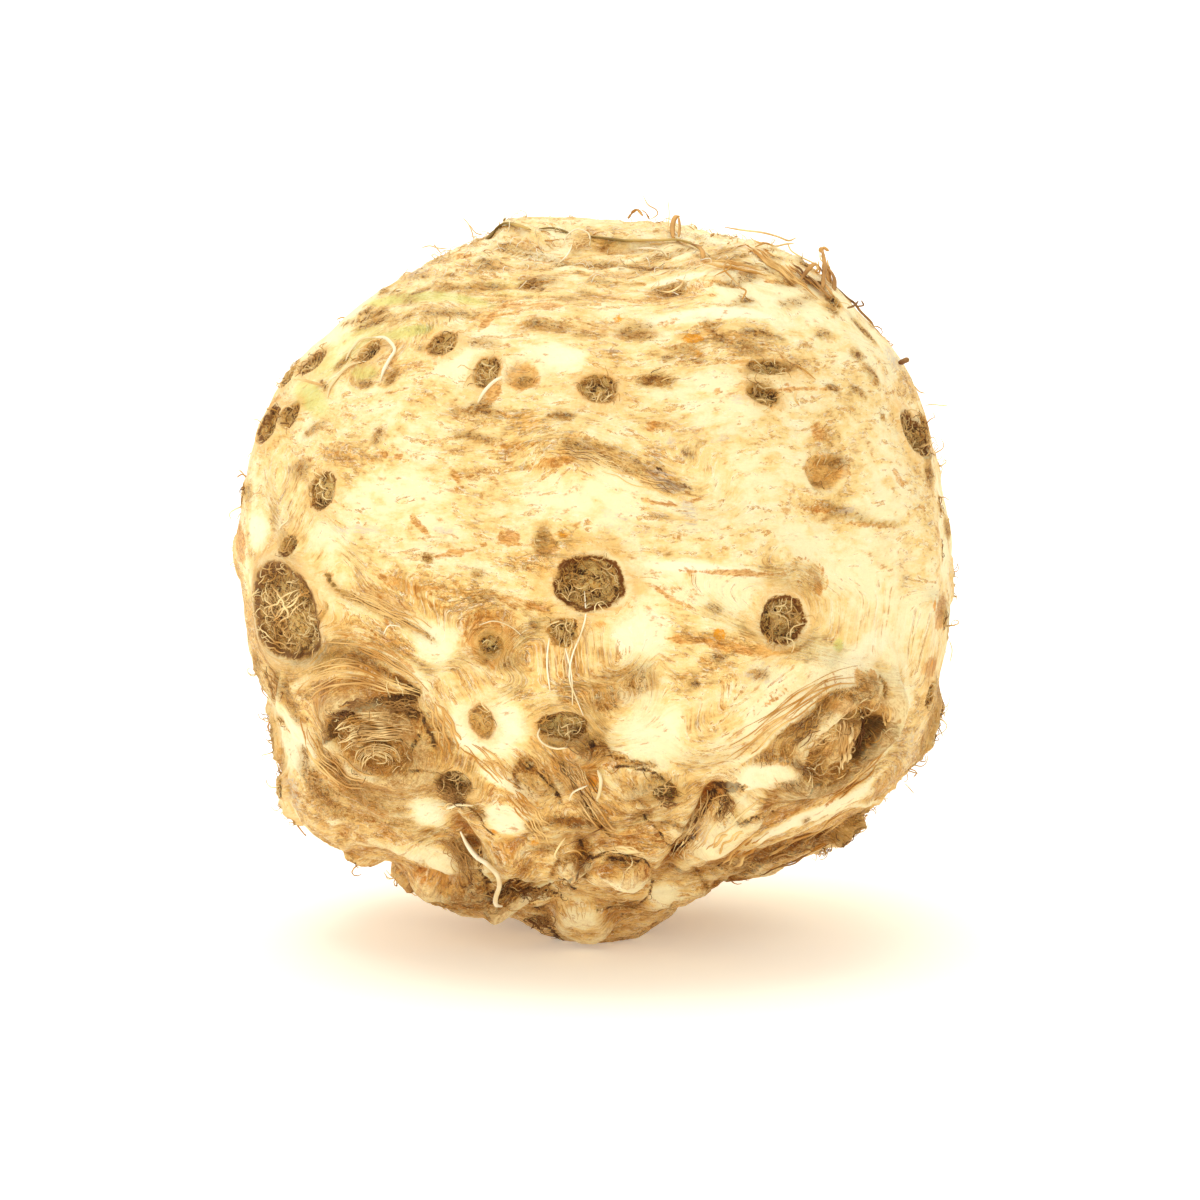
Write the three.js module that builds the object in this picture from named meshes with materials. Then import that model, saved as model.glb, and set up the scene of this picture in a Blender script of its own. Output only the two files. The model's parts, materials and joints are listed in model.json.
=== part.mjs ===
// A celeriac root: one solid globe that grew as one body, standing on the small flat spot under its weight.
// Millimetres, +Z up, front towards -Y, +X to the right, origin in the middle of the flat spot.
//
// The skin is a reach measured from the middle of the globe in every direction. Four side outlines give the
// globe, and every boss, scar, fold, crevice and stub adds to that reach or takes from it.
// A place on the skin is written [around, down] in degrees: around is 0 at the front and 90 at the right,
// down is 0 at the crown, 90 at the girth and 180 at the flat spot.

import * as THREE from 'three';

// ---------------------------------------------------------------------------------------------------------
// Driving dimensions
// ---------------------------------------------------------------------------------------------------------

const MIDDLE_HEIGHT = 58; // height of the globe's middle above the flat spot
const GLOBE_REACH = 60; // usual distance from the middle to the skin, which sizes on the skin are laid out at
const SIDES_PER_FACE = 30; // quads along each edge of the six faces of the net
const FRONT_CROWDING = 0.22; // how far the net is drawn towards the knobbly lower front
const CROWDED_SIDE = new THREE.Vector3(0, -0.93, -0.37);
// Places that the net is gathered round, within some degrees, so that its quads are small there
const GATHERED = [
  { at: [-38, 107], within: 17, share: 0.42 },
  { at: [44, 107], within: 17, share: 0.42 },
  { at: [-58, 89], within: 12, share: 0.3 },
  { at: [-4, 132], within: 22, share: 0.32 },
  { at: [0, 2], within: 24, share: 0.3 },
  { at: [124, 101], within: 15, share: 0.35 },
  { at: [-121, 110], within: 15, share: 0.35 },
  { at: [176, 118], within: 15, share: 0.35 },
];

const SKIN_COLOUR = 0xe9cf98;
const SKIN_ROUGHNESS = 0.75;

// Side outlines as [reach from the stem axis, height above the flat spot], crown first
const OUTLINES = {
  front: [
    [0, 118.2], [13, 117.8], [17, 115.2], [29, 111], [41, 102.6], [50.5, 91.5], [57, 78], [59.6, 66], [60, 55],
    [57.6, 43], [53, 32.5], [46.5, 24], [39, 17.5], [31, 12], [23, 7], [16, 1.8], [11, -1], [0, -1],
  ],
  right: [
    [0, 118.2], [12, 117.8], [20, 115.8], [30, 114.6], [38.8, 109], [45.2, 102], [52, 93], [56, 82.5],
    [59, 70.5], [59.7, 58], [59.2, 46], [56.6, 34.5], [54, 29.5], [48, 24], [40, 17], [32, 13], [23, 10],
    [15, 6], [7, 1.5], [0, -1],
  ],
  back: [
    [0, 118.2], [12, 117.8], [20, 115], [32, 111], [43, 103], [52, 91], [57, 77], [59, 64], [58.5, 50],
    [56, 38], [51, 27], [43, 17.5], [34, 9.5], [25, 3], [19, -1], [0, -1],
  ],
  left: [
    [0, 118.2], [13.5, 117.6], [17, 114.8], [29, 110.6], [41, 102.6], [51, 93.6], [55.2, 83], [58.2, 72],
    [59, 65], [57, 56], [56.2, 45.5], [52.8, 35], [51.4, 24.5], [46.6, 17], [34, 12.5], [26, 7.6], [16, 3.6],
    [8, 1], [0, -1],
  ],
};

// Swellings: a dome of the given width and height on the skin; folds are the rings that run round it
const BOSSES = [
  { at: [-38, 108], width: 36, height: 30, turn: 0, lift: 4.2, folds: 3, foldLift: 0.4 },
  { at: [43, 107], width: 36, height: 30, turn: 25, lift: 4, folds: 3, foldLift: 0.4 },
  { at: [-57.5, 89.5], width: 27, height: 23, turn: 0, lift: 2, folds: 0, foldLift: 0 },
  { at: [-15, 91.5], width: 14, height: 14, turn: 0, lift: 1.1, folds: 1.5, foldLift: 0.3 },
  { at: [4.5, 98.5], width: 14, height: 17, turn: 0, lift: 0.9, folds: 1.5, foldLift: 0.2 },
  { at: [8, 114.5], width: 17, height: 15, turn: 0, lift: 1.5, folds: 1.5, foldLift: 0.25 },
  { at: [33, 81.8], width: 13, height: 10, turn: 0, lift: 0.8, folds: 0, foldLift: 0 },
  { at: [-4.5, 110], width: 13, height: 19, turn: 0, lift: 1.3, folds: 0, foldLift: 0 },
  { at: [-52.7, 47.2], width: 13, height: 11, turn: 0, lift: 0.8, folds: 1.5, foldLift: 0.3 },
  { at: [124, 101], width: 34, height: 28, turn: -20, lift: 3.9, folds: 3, foldLift: 0.4 },
  { at: [-121, 110], width: 32, height: 27, turn: 15, lift: 3.7, folds: 3, foldLift: 0.4 },
  { at: [176, 118], width: 33, height: 24, turn: 0, lift: 3.4, folds: 3, foldLift: 0.4 },
  { at: [-168, 82], width: 17, height: 15, turn: 0, lift: 1.4, folds: 1.5, foldLift: 0.3 },
  { at: [86, 112], width: 20, height: 17, turn: 0, lift: 1.4, folds: 1.5, foldLift: 0.3 },
  { at: [-84, 114], width: 19, height: 16, turn: 0, lift: 1.2, folds: 1.5, foldLift: 0.3 },
];

// Scars of trimmed side roots: a raised rim round a sunk floor, with what is left of the root as a core
const SCARS = [
  { at: [-0.3, 81.9], width: 11.4, height: 9.2, turn: 0, rim: 0.7, sink: 1.4, core: 0.6 },
  { at: [29.5, 88.3], width: 8.8, height: 8, turn: 0, rim: 0.6, sink: 1.3, core: 0.5 },
  { at: [-55.8, 89.8], width: 21.5, height: 16.5, turn: 0, rim: 1, sink: 1.8, core: 1 },
  { at: [-37.5, 108.2], width: 19, height: 13, turn: -4, rim: 1.5, sink: 3.2, core: 3 },
  { at: [43, 108], width: 19, height: 13.5, turn: 42, rim: 1.5, sink: 3.2, core: 2.2 },
  { at: [-48.6, 70.4], width: 6.8, height: 6.4, turn: 0, rim: 0.4, sink: 0.9, core: 0.7 },
  { at: [1.3, 51.8], width: 6.4, height: 5.4, turn: -15, rim: 0.4, sink: 1, core: 0.3 },
  { at: [-32.7, 44.9], width: 5.2, height: 5.2, turn: 0, rim: 0.4, sink: 0.9, core: 0.3 },
  { at: [-20.7, 49.5], width: 4.4, height: 6, turn: 0, rim: 0.4, sink: 0.9, core: 0.3 },
  { at: [-13.4, 49.8], width: 6, height: 6, turn: 0, rim: 0.3, sink: 0.5, core: 0.2 },
  { at: [-52.7, 47.2], width: 4.4, height: 4.4, turn: 0, rim: 0.4, sink: 0.9, core: 0.3 },
  { at: [-72.9, 51], width: 8, height: 5, turn: 20, rim: 0.4, sink: 0.8, core: 0.3 },
  { at: [-68.3, 59.9], width: 5, height: 5, turn: 0, rim: 0.3, sink: 0.8, core: 0.2 },
  { at: [-54.4, 79.5], width: 4.4, height: 3.6, turn: 0, rim: 0.4, sink: 0.9, core: 0.2 },
  { at: [41.6, 66.6], width: 8.4, height: 6.4, turn: 0, rim: 0.5, sink: 0.8, core: 0.3 },
  { at: [32.4, 54.4], width: 6, height: 3.4, turn: -25, rim: 0.3, sink: 0.7, core: 0.2 },
  { at: [36.2, 49.9], width: 9, height: 3, turn: -6, rim: 0.3, sink: 0.6, core: 0.2 },
  { at: [72.5, 63.7], width: 9, height: 7, turn: -50, rim: 0.5, sink: 1, core: 0.3 },
  { at: [-15, 91.2], width: 4, height: 3.4, turn: 0, rim: 0.3, sink: 0.8, core: 0 },
  { at: [-4.3, 89.1], width: 4.8, height: 4.6, turn: 0, rim: 0.3, sink: 1, core: 0.2 },
  { at: [-17, 103.3], width: 4.4, height: 6, turn: 10, rim: 0.3, sink: 0.8, core: 0.2 },
  { at: [-4.2, 103.8], width: 8.6, height: 5, turn: 0, rim: 0.4, sink: 1.1, core: 0.4 },
  { at: [-23.4, 114.5], width: 6.4, height: 5.4, turn: 0, rim: 0.4, sink: 1.8, core: 0.2 },
  { at: [12.6, 115.5], width: 5.4, height: 3.6, turn: -30, rim: 0.3, sink: 0.8, core: 0.2 },
  { at: [-7.1, 76.2], width: 4.4, height: 4.4, turn: 0, rim: 0.2, sink: 0.4, core: 0.1 },
  { at: [124, 101], width: 17, height: 12, turn: -20, rim: 1.4, sink: 3, core: 2.6 },
  { at: [-121, 110], width: 16, height: 12, turn: 15, rim: 1.4, sink: 3, core: 2.2 },
  { at: [176, 118], width: 15, height: 11, turn: 0, rim: 1.3, sink: 2.8, core: 2.2 },
  { at: [86, 112], width: 9, height: 7, turn: 0, rim: 0.6, sink: 1.3, core: 0.5 },
  { at: [-84, 114], width: 8, height: 7, turn: 0, rim: 0.6, sink: 1.3, core: 0.5 },
  { at: [-152, 88], width: 10, height: 9, turn: 0, rim: 0.7, sink: 1.4, core: 0.5 },
  { at: [152, 76], width: 9, height: 8, turn: 0, rim: 0.6, sink: 1.3, core: 0.4 },
];

// Stubs and lobes of the underside: flat-topped swellings with steep flanks
const STUBS = [
  { at: [27, 126.3], width: 19, height: 8, turn: 38, lift: 2.6 },
  { at: [5.5, 135], width: 12, height: 8, turn: 0, lift: 2.8 },
  { at: [-3.4, 130.6], width: 7, height: 4.6, turn: 12, lift: 1.8 },
  { at: [-4, 157], width: 13, height: 12, turn: 0, lift: 3 },
  { at: [-40, 145], width: 24, height: 17, turn: -20, lift: 5 },
  { at: [-24, 150], width: 13, height: 11, turn: 0, lift: 1.6 },
  { at: [30, 149], width: 14, height: 10, turn: 20, lift: 1.2 },
  { at: [72, 148], width: 15, height: 12, turn: 10, lift: 1 },
  { at: [108, 142], width: 13, height: 10, turn: -15, lift: 2.4 },
  { at: [139, 148], width: 18, height: 13, turn: 0, lift: 2.4 },
  { at: [168, 142], width: 12, height: 10, turn: 25, lift: 3 },
  { at: [-157, 148], width: 16, height: 12, turn: -10, lift: 2.6 },
  { at: [-126, 141], width: 13, height: 9, turn: 15, lift: 2.8 },
  { at: [-96, 148], width: 16, height: 12, turn: 0, lift: 1.6 },
  { at: [145, 161], width: 13, height: 11, turn: 0, lift: 3.4 },
  { at: [-146, 161], width: 13, height: 11, turn: 0, lift: 3.4 },
];

// Folds, grooves and crevices, each along a short run of places; lift is below 0 where the skin is drawn in
const CREASES = [
  { along: [[-45.7, 82.4], [-34, 86.4], [-22.5, 91.6]], width: 5, lift: -1 },
  { along: [[-50, 87], [-42.3, 92.6], [-33, 95.2], [-26.4, 99.6], [-22, 106]], width: 4.4, lift: 1 },
  { along: [[-44, 97], [-34, 98.8], [-27.5, 104]], width: 3.4, lift: -0.9 },
  { along: [[-46, 103], [-38, 101.4], [-30, 101.4]], width: 3.6, lift: 1.6 },
  { along: [[-46.5, 104.5], [-46, 109], [-43, 113]], width: 3, lift: -1.1 },
  { along: [[-30, 37], [2, 35.6], [26.6, 38.1], [50.5, 42.7]], width: 7, lift: 0.7 },
  { along: [[-25, 41.5], [2, 40], [24, 42]], width: 5, lift: -0.5 },
  { along: [[66, 72], [64, 90], [66, 108]], width: 9, lift: 0.8 },
  { along: [[56, 74], [57, 90], [58, 97]], width: 5, lift: -0.5 },
  { along: [[53, 93], [52, 99], [53.5, 105], [50, 112]], width: 4.2, lift: 1.5 },
  { along: [[49.5, 98], [50, 105], [47, 111]], width: 3, lift: -1.8 },
  { along: [[36, 98], [31, 105], [33, 113], [42, 117]], width: 4, lift: 0.9 },
  { along: [[30.4, 133], [42, 126.5], [52.4, 121], [62, 118]], width: 7, lift: 1.2 },
  { along: [[22, 141], [36, 137], [54, 133], [72, 131]], width: 5.5, lift: -1.8 },
  { along: [[22.4, 113.2], [22, 120], [19.5, 129.4], [17, 138]], width: 3.8, lift: -2.8 },
  { along: [[28, 118.5], [36, 117.5]], width: 2.6, lift: -1.2 },
  { along: [[-30, 119], [-27, 125], [-25.5, 131], [-24, 137]], width: 4.2, lift: -2.4 },
  { along: [[-52, 128], [-40, 132], [-31, 139]], width: 4, lift: 1 },
  { along: [[12, 126.6], [1, 126.8], [-8, 124.6]], width: 4.4, lift: -1 },
  { along: [[9, 117], [2, 112], [-3, 106]], width: 3.2, lift: 0.7 },
  { along: [[-12, 62], [3, 66], [17, 73]], width: 6, lift: 0.5 },
  { along: [[36, 73], [44, 74.4], [56, 75.5]], width: 3.4, lift: -0.6 },
  { along: [[112, 92], [124, 88], [138, 93], [143, 104]], width: 4.4, lift: 1 },
  { along: [[104, 99], [107, 110], [118, 117]], width: 4, lift: -1.1 },
  { along: [[-137, 101], [-122, 97], [-107, 101], [-101, 111]], width: 4.4, lift: 1 },
  { along: [[-138, 111], [-128, 120], [-112, 122]], width: 4, lift: -1.2 },
  { along: [[158, 110], [175, 106], [-166, 110]], width: 4.4, lift: 1 },
  { along: [[-176, 96], [-160, 98], [-146, 104]], width: 5, lift: -0.9 },
  { along: [[92, 78], [100, 92], [98, 104]], width: 7, lift: 0.7 },
  { along: [[-98, 80], [-92, 96], [-96, 108]], width: 7, lift: 0.7 },
];

// Ledges: the skin swells towards the line and then drops away on its left, seen from outside along the run
const LEDGES = [
  { along: [[13, 138], [4, 133], [-5, 134.2], [-15, 135.4], [-22, 134], [-24, 128]], reach: 9, drop: 1.8, lift: 2.8 },
  { along: [[122, 135], [108, 133], [92, 136]], reach: 8, drop: 2, lift: 1.8 },
  { along: [[-98, 135], [-114, 132], [-130, 136]], reach: 8, drop: 2, lift: 1.8 },
  { along: [[-160, 136], [-176, 133], [166, 136]], reach: 8, drop: 2, lift: 1.6 },
];

// Crown: the stump of the leaf stalks, with rings of old leaf bases round it and below it
const CROWN_EDGE_DOWN = 14; // degrees down to the stump's edge
const STALK_RINGS = { spacing: 4.2, lift: 0.35, end: 13.5 };
const LEAF_BASES = { rows: [17.5, 22, 26.5, 31], apart: 9, width: 8, height: 3, lift: 0.45 };
const HEART_PIT = { at: [20, 1.5], width: 7, height: 6, turn: 0, rim: 0.3, sink: 1.1, core: 0 };
const STALK_NOTCHES = [
  { along: [[-70, 13], [-40, 15.5], [-12, 14.4]], width: 2.4, lift: -1 },
  { along: [[-4, 14.6], [22, 16], [46, 17.5]], width: 2.4, lift: -1.1 },
  { along: [[118, 13], [150, 14.5], [-170, 13.5]], width: 2.6, lift: -1 },
  { along: [[-60, 6], [-10, 7], [40, 6.5]], width: 2, lift: -0.6 },
  { along: [[90, 8], [140, 9], [-170, 8]], width: 2, lift: -0.6 },
];

// Crevices that run out from the flat spot between the trimmed roots
const ROOT_CREVICES = {
  arounds: [-78, -108, -141, -172, 154, 121, 86, 50],
  downs: [164, 150, 134],
  sway: 6,
  width: 3.6,
  lift: -1.9,
};

// Small scars strewn over the sides and back by rule, clear of the front ones above
const STREWN = { count: 96, seed: 7, upper: 36, lower: 128, clearOfFront: 66, smallest: 3, largest: 7.5 };

// Stumps of trimmed roots round the underside by rule, each with its cut end, clear of the front ones
const STUMPS = {
  count: 26, seed: 11, upper: 120, lower: 152, clearOfFront: 62, smallest: 5.5, largest: 10,
  liftShare: 0.3, endShare: 0.62,
};

// Slow unevenness of the whole skin: waves across evenly spread axes
const WAVES = { count: 12, seed: 3, shortest: 17, longest: 46, lift: 0.22 };

// ---------------------------------------------------------------------------------------------------------
// Directions, distances on the skin and smooth steps
// ---------------------------------------------------------------------------------------------------------

const GOLDEN_TURN = 180 * (3 - Math.sqrt(5));
const LEGS_PER_SPAN = 3; // straight legs that a crease takes between two of its places

function directionAt([around, down]) {
  const a = THREE.MathUtils.degToRad(around);
  const d = THREE.MathUtils.degToRad(down);
  return new THREE.Vector3(Math.sin(a) * Math.sin(d), -Math.cos(a) * Math.sin(d), Math.cos(d));
}

function smoothStep(low, high, value) {
  const t = THREE.MathUtils.clamp((value - low) / (high - low), 0, 1);
  return t * t * (3 - 2 * t);
}

function dome(q) {
  return q < 1 ? (1 - q * q) ** 2 : 0;
}

function bell(value, width) {
  return Math.exp(-((value / width) ** 2));
}

// A steady number from 0 to 1 for each index and seed
function scatter(index, seed) {
  const value = Math.sin(index * 12.9898 + seed * 78.233) * 43758.5453;
  return value - Math.floor(value);
}

// The upright and level directions on the skin at a place, turned counter-clockwise seen from outside
function frameAt(place, turn) {
  const out = directionAt(place);
  const level = new THREE.Vector3(-out.y, out.x, 0).normalize();
  const upright = new THREE.Vector3().crossVectors(out, level);
  const angle = THREE.MathUtils.degToRad(turn);
  return {
    out,
    across: level.clone().multiplyScalar(Math.cos(angle)).addScaledVector(upright, Math.sin(angle)),
    up: upright.clone().multiplyScalar(Math.cos(angle)).addScaledVector(level, -Math.sin(angle)),
  };
}

// Where a direction lies in a form's own ellipse: 0 at its middle, 1 on its edge, with the bearing round it
function placeInForm(direction, { frame, width, height }) {
  const x = direction.dot(frame.across);
  const y = direction.dot(frame.up);
  const angle = Math.atan2(Math.hypot(x, y), direction.dot(frame.out));
  const scale = (GLOBE_REACH * angle) / Math.max(Math.hypot(x, y), 1e-9);
  const u = (x * scale) / (width / 2);
  const v = (y * scale) / (height / 2);
  return { q: Math.hypot(u, v), bearing: Math.atan2(v, u) };
}

function withFrames(forms) {
  return forms.map((form) => ({ ...form, frame: frameAt(form.at, form.turn) }));
}

function withRuns(creases) {
  return creases.map((crease) => {
    const curve = new THREE.CatmullRomCurve3(crease.along.map(directionAt), false, 'catmullrom');
    const run = curve.getPoints((crease.along.length - 1) * LEGS_PER_SPAN).map((place) => place.normalize());
    return { ...crease, run };
  });
}

// Nearest point of a run of places: its distance, on which side it passes, and how far along the run it is
function nearestOnRun(direction, run) {
  const nearest = { distance: Infinity, side: 0, share: 0 };
  for (let i = 0; i < run.length - 1; i += 1) {
    const leg = new THREE.Vector3().subVectors(run[i + 1], run[i]);
    const t = THREE.MathUtils.clamp(
      new THREE.Vector3().subVectors(direction, run[i]).dot(leg) / leg.lengthSq(), 0, 1);
    const foot = run[i].clone().addScaledVector(leg, t).normalize();
    const distance = GLOBE_REACH * foot.distanceTo(direction);
    if (distance < nearest.distance) {
      nearest.distance = distance;
      nearest.side = Math.sign(new THREE.Vector3().crossVectors(run[i], run[i + 1]).dot(direction));
      nearest.share = (i + t) / (run.length - 1);
    }
  }
  return nearest;
}

// ---------------------------------------------------------------------------------------------------------
// Forms
// ---------------------------------------------------------------------------------------------------------

// A side outline as [down, reach from the globe's middle], so that it can be read at any angle
function stationsOf(outline) {
  return outline.map(([reach, height]) => [
    THREE.MathUtils.radToDeg(Math.atan2(reach, height - MIDDLE_HEIGHT)),
    Math.hypot(reach, height - MIDDLE_HEIGHT),
  ]);
}

const STATIONS = Object.fromEntries(
  Object.entries(OUTLINES).map(([side, outline]) => [side, stationsOf(outline)]));

function slopeAt(stations, i) {
  const before = stations[Math.max(i - 1, 0)];
  const after = stations[Math.min(i + 1, stations.length - 1)];
  return (after[1] - before[1]) / (after[0] - before[0]);
}

function reachAlong(stations, down) {
  const found = stations.findIndex(([angle]) => angle > down);
  const right = found === -1 ? stations.length - 1 : Math.max(found, 1);
  const left = right - 1;
  const span = stations[right][0] - stations[left][0];
  const t = (down - stations[left][0]) / span;
  const bendLeft = slopeAt(stations, left) * span;
  const bendRight = slopeAt(stations, right) * span;
  return (2 * t ** 3 - 3 * t ** 2 + 1) * stations[left][1] + (t ** 3 - 2 * t ** 2 + t) * bendLeft
    + (3 * t ** 2 - 2 * t ** 3) * stations[right][1] + (t ** 3 - t ** 2) * bendRight;
}

function globeReach(around, down) {
  const forward = Math.cos(THREE.MathUtils.degToRad(around));
  const sideways = Math.sin(THREE.MathUtils.degToRad(around));
  const facing = forward > 0 ? STATIONS.front : STATIONS.back;
  const flank = sideways > 0 ? STATIONS.right : STATIONS.left;
  return forward ** 2 * reachAlong(facing, down) + sideways ** 2 * reachAlong(flank, down);
}

function bossLift(direction, boss) {
  const { q, bearing } = placeInForm(direction, boss);
  const wavy = q * (1 + 0.05 * Math.sin(3 * bearing + boss.at[0]));
  return dome(wavy) * (boss.lift + boss.foldLift * Math.cos(2 * Math.PI * boss.folds * wavy));
}

function scarLift(direction, scar) {
  const { q, bearing } = placeInForm(direction, scar);
  if (q > 2) return 0;
  const wavy = q * (1 + 0.03 * Math.sin(3 * bearing + scar.at[0]) + 0.02 * Math.sin(5 * bearing + scar.at[1]));
  const floor = 1 - smoothStep(0.55, 1, wavy);
  return scar.rim * bell(wavy - 1.1, 0.26) - scar.sink * floor + scar.core * dome(wavy / 0.9);
}

function stubLift(direction, stub) {
  const { q, bearing } = placeInForm(direction, stub);
  const wavy = q * (1 + 0.08 * Math.sin(2 * bearing + stub.at[0]) + 0.05 * Math.sin(5 * bearing));
  return stub.lift * (1 - smoothStep(0.5, 1.05, wavy));
}

function creaseLift(direction, crease) {
  const { distance, share } = nearestOnRun(direction, crease.run);
  const fade = smoothStep(0, 0.22, share) * smoothStep(0, 0.22, 1 - share);
  return crease.lift * fade * bell(distance, crease.width / 2);
}

function ledgeLift(direction, ledge) {
  const { distance, side, share } = nearestOnRun(direction, ledge.run);
  const fade = smoothStep(0, 0.15, share) * smoothStep(0, 0.15, 1 - share);
  const swell = side < 0 ? bell(distance, ledge.reach) : 1 - smoothStep(0, ledge.drop, distance);
  return ledge.lift * fade * swell;
}

function crownRingLift(around, down) {
  const ring = Math.cos((2 * Math.PI * down) / STALK_RINGS.spacing + Math.sin(THREE.MathUtils.degToRad(2 * around)));
  return STALK_RINGS.lift * ring * (1 - smoothStep(STALK_RINGS.end - 3, STALK_RINGS.end, down));
}

// The rule for the rows of old leaf bases: staggered shallow swellings, spaced evenly along each row
function leafBases() {
  return LEAF_BASES.rows.flatMap((down, row) => {
    const round = 2 * Math.PI * GLOBE_REACH * Math.sin(THREE.MathUtils.degToRad(down));
    const count = Math.round(round / LEAF_BASES.apart);
    return Array.from({ length: count }, (_, i) => ({
      at: [((i + row / 2 + 0.4 * scatter(i, row)) * 360) / count, down + 2 * (scatter(i, row + 9) - 0.5)],
      width: LEAF_BASES.width,
      height: LEAF_BASES.height,
      turn: 12 * (scatter(i, row + 5) - 0.5),
      lift: LEAF_BASES.lift,
      folds: 0,
      foldLift: 0,
    }));
  });
}

// The rule for the strewn scars: a golden spiral down the globe, thinned out over the front
function strewnScars() {
  const top = Math.cos(THREE.MathUtils.degToRad(STREWN.upper));
  const bottom = Math.cos(THREE.MathUtils.degToRad(STREWN.lower));
  return Array.from({ length: STREWN.count }, (_, i) => {
    const level = top + ((bottom - top) * (i + 0.5)) / STREWN.count;
    const around = ((i * GOLDEN_TURN + 30 * scatter(i, STREWN.seed) + 180) % 360) - 180;
    const size = STREWN.smallest + (STREWN.largest - STREWN.smallest) * scatter(i, STREWN.seed + 1) ** 2.5;
    return {
      at: [around, THREE.MathUtils.radToDeg(Math.acos(level))],
      width: size * 1.15,
      height: size,
      turn: 40 * (scatter(i, STREWN.seed + 2) - 0.5),
      rim: 0.1 * size,
      sink: 0.2 * size,
      core: 0.05 * size,
    };
  }).filter((scar) => Math.abs(scar.at[0]) > STREWN.clearOfFront);
}

// The rule for the stumps: a golden spiral round the underside
function stumps() {
  return Array.from({ length: STUMPS.count }, (_, i) => {
    const around = ((i * GOLDEN_TURN + 180) % 360) - 180;
    const down = STUMPS.upper + (STUMPS.lower - STUMPS.upper) * scatter(i, STUMPS.seed);
    const size = STUMPS.smallest + (STUMPS.largest - STUMPS.smallest) * scatter(i, STUMPS.seed + 1) ** 1.5;
    const turn = 60 * (scatter(i, STUMPS.seed + 2) - 0.5);
    return { at: [around, down], width: size * 1.2, height: size, turn, lift: STUMPS.liftShare * size };
  }).filter((stump) => Math.abs(stump.at[0]) > STUMPS.clearOfFront);
}

function cutEnd(stump) {
  const [width, height] = [stump.width * STUMPS.endShare, stump.height * STUMPS.endShare];
  return { ...stump, width, height, rim: 0.05 * width, sink: 0.14 * width, core: 0.06 * width };
}

function rootCrevices() {
  return ROOT_CREVICES.arounds.map((around, i) => ({
    along: ROOT_CREVICES.downs.map((down, j) => [around + ROOT_CREVICES.sway * Math.sin(2 * j + i), down]),
    width: ROOT_CREVICES.width,
    lift: ROOT_CREVICES.lift,
  }));
}

function unevenness(direction) {
  let lift = 0;
  for (let i = 0; i < WAVES.count; i += 1) {
    const down = THREE.MathUtils.radToDeg(Math.acos(1 - (2 * (i + 0.5)) / WAVES.count));
    const length = WAVES.shortest + (WAVES.longest - WAVES.shortest) * scatter(i, WAVES.seed);
    const along = directionAt([i * GOLDEN_TURN, down]).dot(direction) * GLOBE_REACH;
    lift += WAVES.lift * Math.sin((2 * Math.PI * along) / length + 2 * Math.PI * scatter(i, WAVES.seed + 1));
  }
  return lift;
}

const ALL_BOSSES = withFrames([...BOSSES, ...leafBases()]);
const ALL_SCARS = withFrames([...SCARS, ...strewnScars(), ...stumps().map(cutEnd), HEART_PIT]);
const ALL_STUBS = withFrames([...STUBS, ...stumps()]);
const ALL_CREASES = withRuns([...CREASES, ...STALK_NOTCHES, ...rootCrevices()]);
const ALL_LEDGES = withRuns(LEDGES);

// ---------------------------------------------------------------------------------------------------------
// The root
// ---------------------------------------------------------------------------------------------------------

function total(forms, lift, direction) {
  return forms.reduce((sum, form) => sum + lift(direction, form), 0);
}

// The skin's place in a direction from the globe's middle, cut off level at the flat spot
function skinPoint(direction) {
  const around = THREE.MathUtils.radToDeg(Math.atan2(direction.x, -direction.y));
  const down = THREE.MathUtils.radToDeg(Math.acos(THREE.MathUtils.clamp(direction.z, -1, 1)));
  const reach = globeReach(around, down)
    + unevenness(direction) * smoothStep(0, CROWN_EDGE_DOWN, down)
    + crownRingLift(around, down)
    + total(ALL_BOSSES, bossLift, direction)
    + total(ALL_SCARS, scarLift, direction)
    + total(ALL_STUBS, stubLift, direction)
    + total(ALL_CREASES, creaseLift, direction)
    + total(ALL_LEDGES, ledgeLift, direction);
  const toFlatSpot = direction.z < 0 ? -MIDDLE_HEIGHT / direction.z : Infinity;
  const point = direction.clone().multiplyScalar(Math.min(reach, toFlatSpot));
  point.z += MIDDLE_HEIGHT;
  return point;
}

// A box's net blown up to a ball, evened out by the tangent rule and drawn towards the lower front
function netDirection(corner) {
  const direction = new THREE.Vector3(...corner.toArray().map((c) => Math.tan((c * Math.PI) / 4))).normalize();
  direction.addScaledVector(CROWDED_SIDE, FRONT_CROWDING).normalize();
  for (const { at, within, share } of GATHERED) {
    const middle = directionAt(at);
    const away = THREE.MathUtils.radToDeg(direction.angleTo(middle));
    direction.lerp(middle, share * bell(away, within)).normalize();
  }
  return direction;
}

function celeriacGeometry() {
  const n = SIDES_PER_FACE;
  const geometry = new THREE.BoxGeometry(2, 2, 2, n, n, n);
  geometry.deleteAttribute('normal');
  geometry.deleteAttribute('uv');
  const net = geometry.attributes.position;
  const corner = new THREE.Vector3();
  for (let i = 0; i < net.count; i += 1) {
    corner.fromBufferAttribute(net, i);
    net.setXYZ(i, ...skinPoint(netDirection(corner)).toArray());
  }
  geometry.computeVertexNormals();
  return geometry;
}

const celeriac = new THREE.Mesh(
  celeriacGeometry(),
  new THREE.MeshStandardMaterial({ color: SKIN_COLOUR, roughness: SKIN_ROUGHNESS, metalness: 0 }));
celeriac.name = 'celeriac_root';

const group = new THREE.Group();
group.add(celeriac);

export default group;
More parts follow.
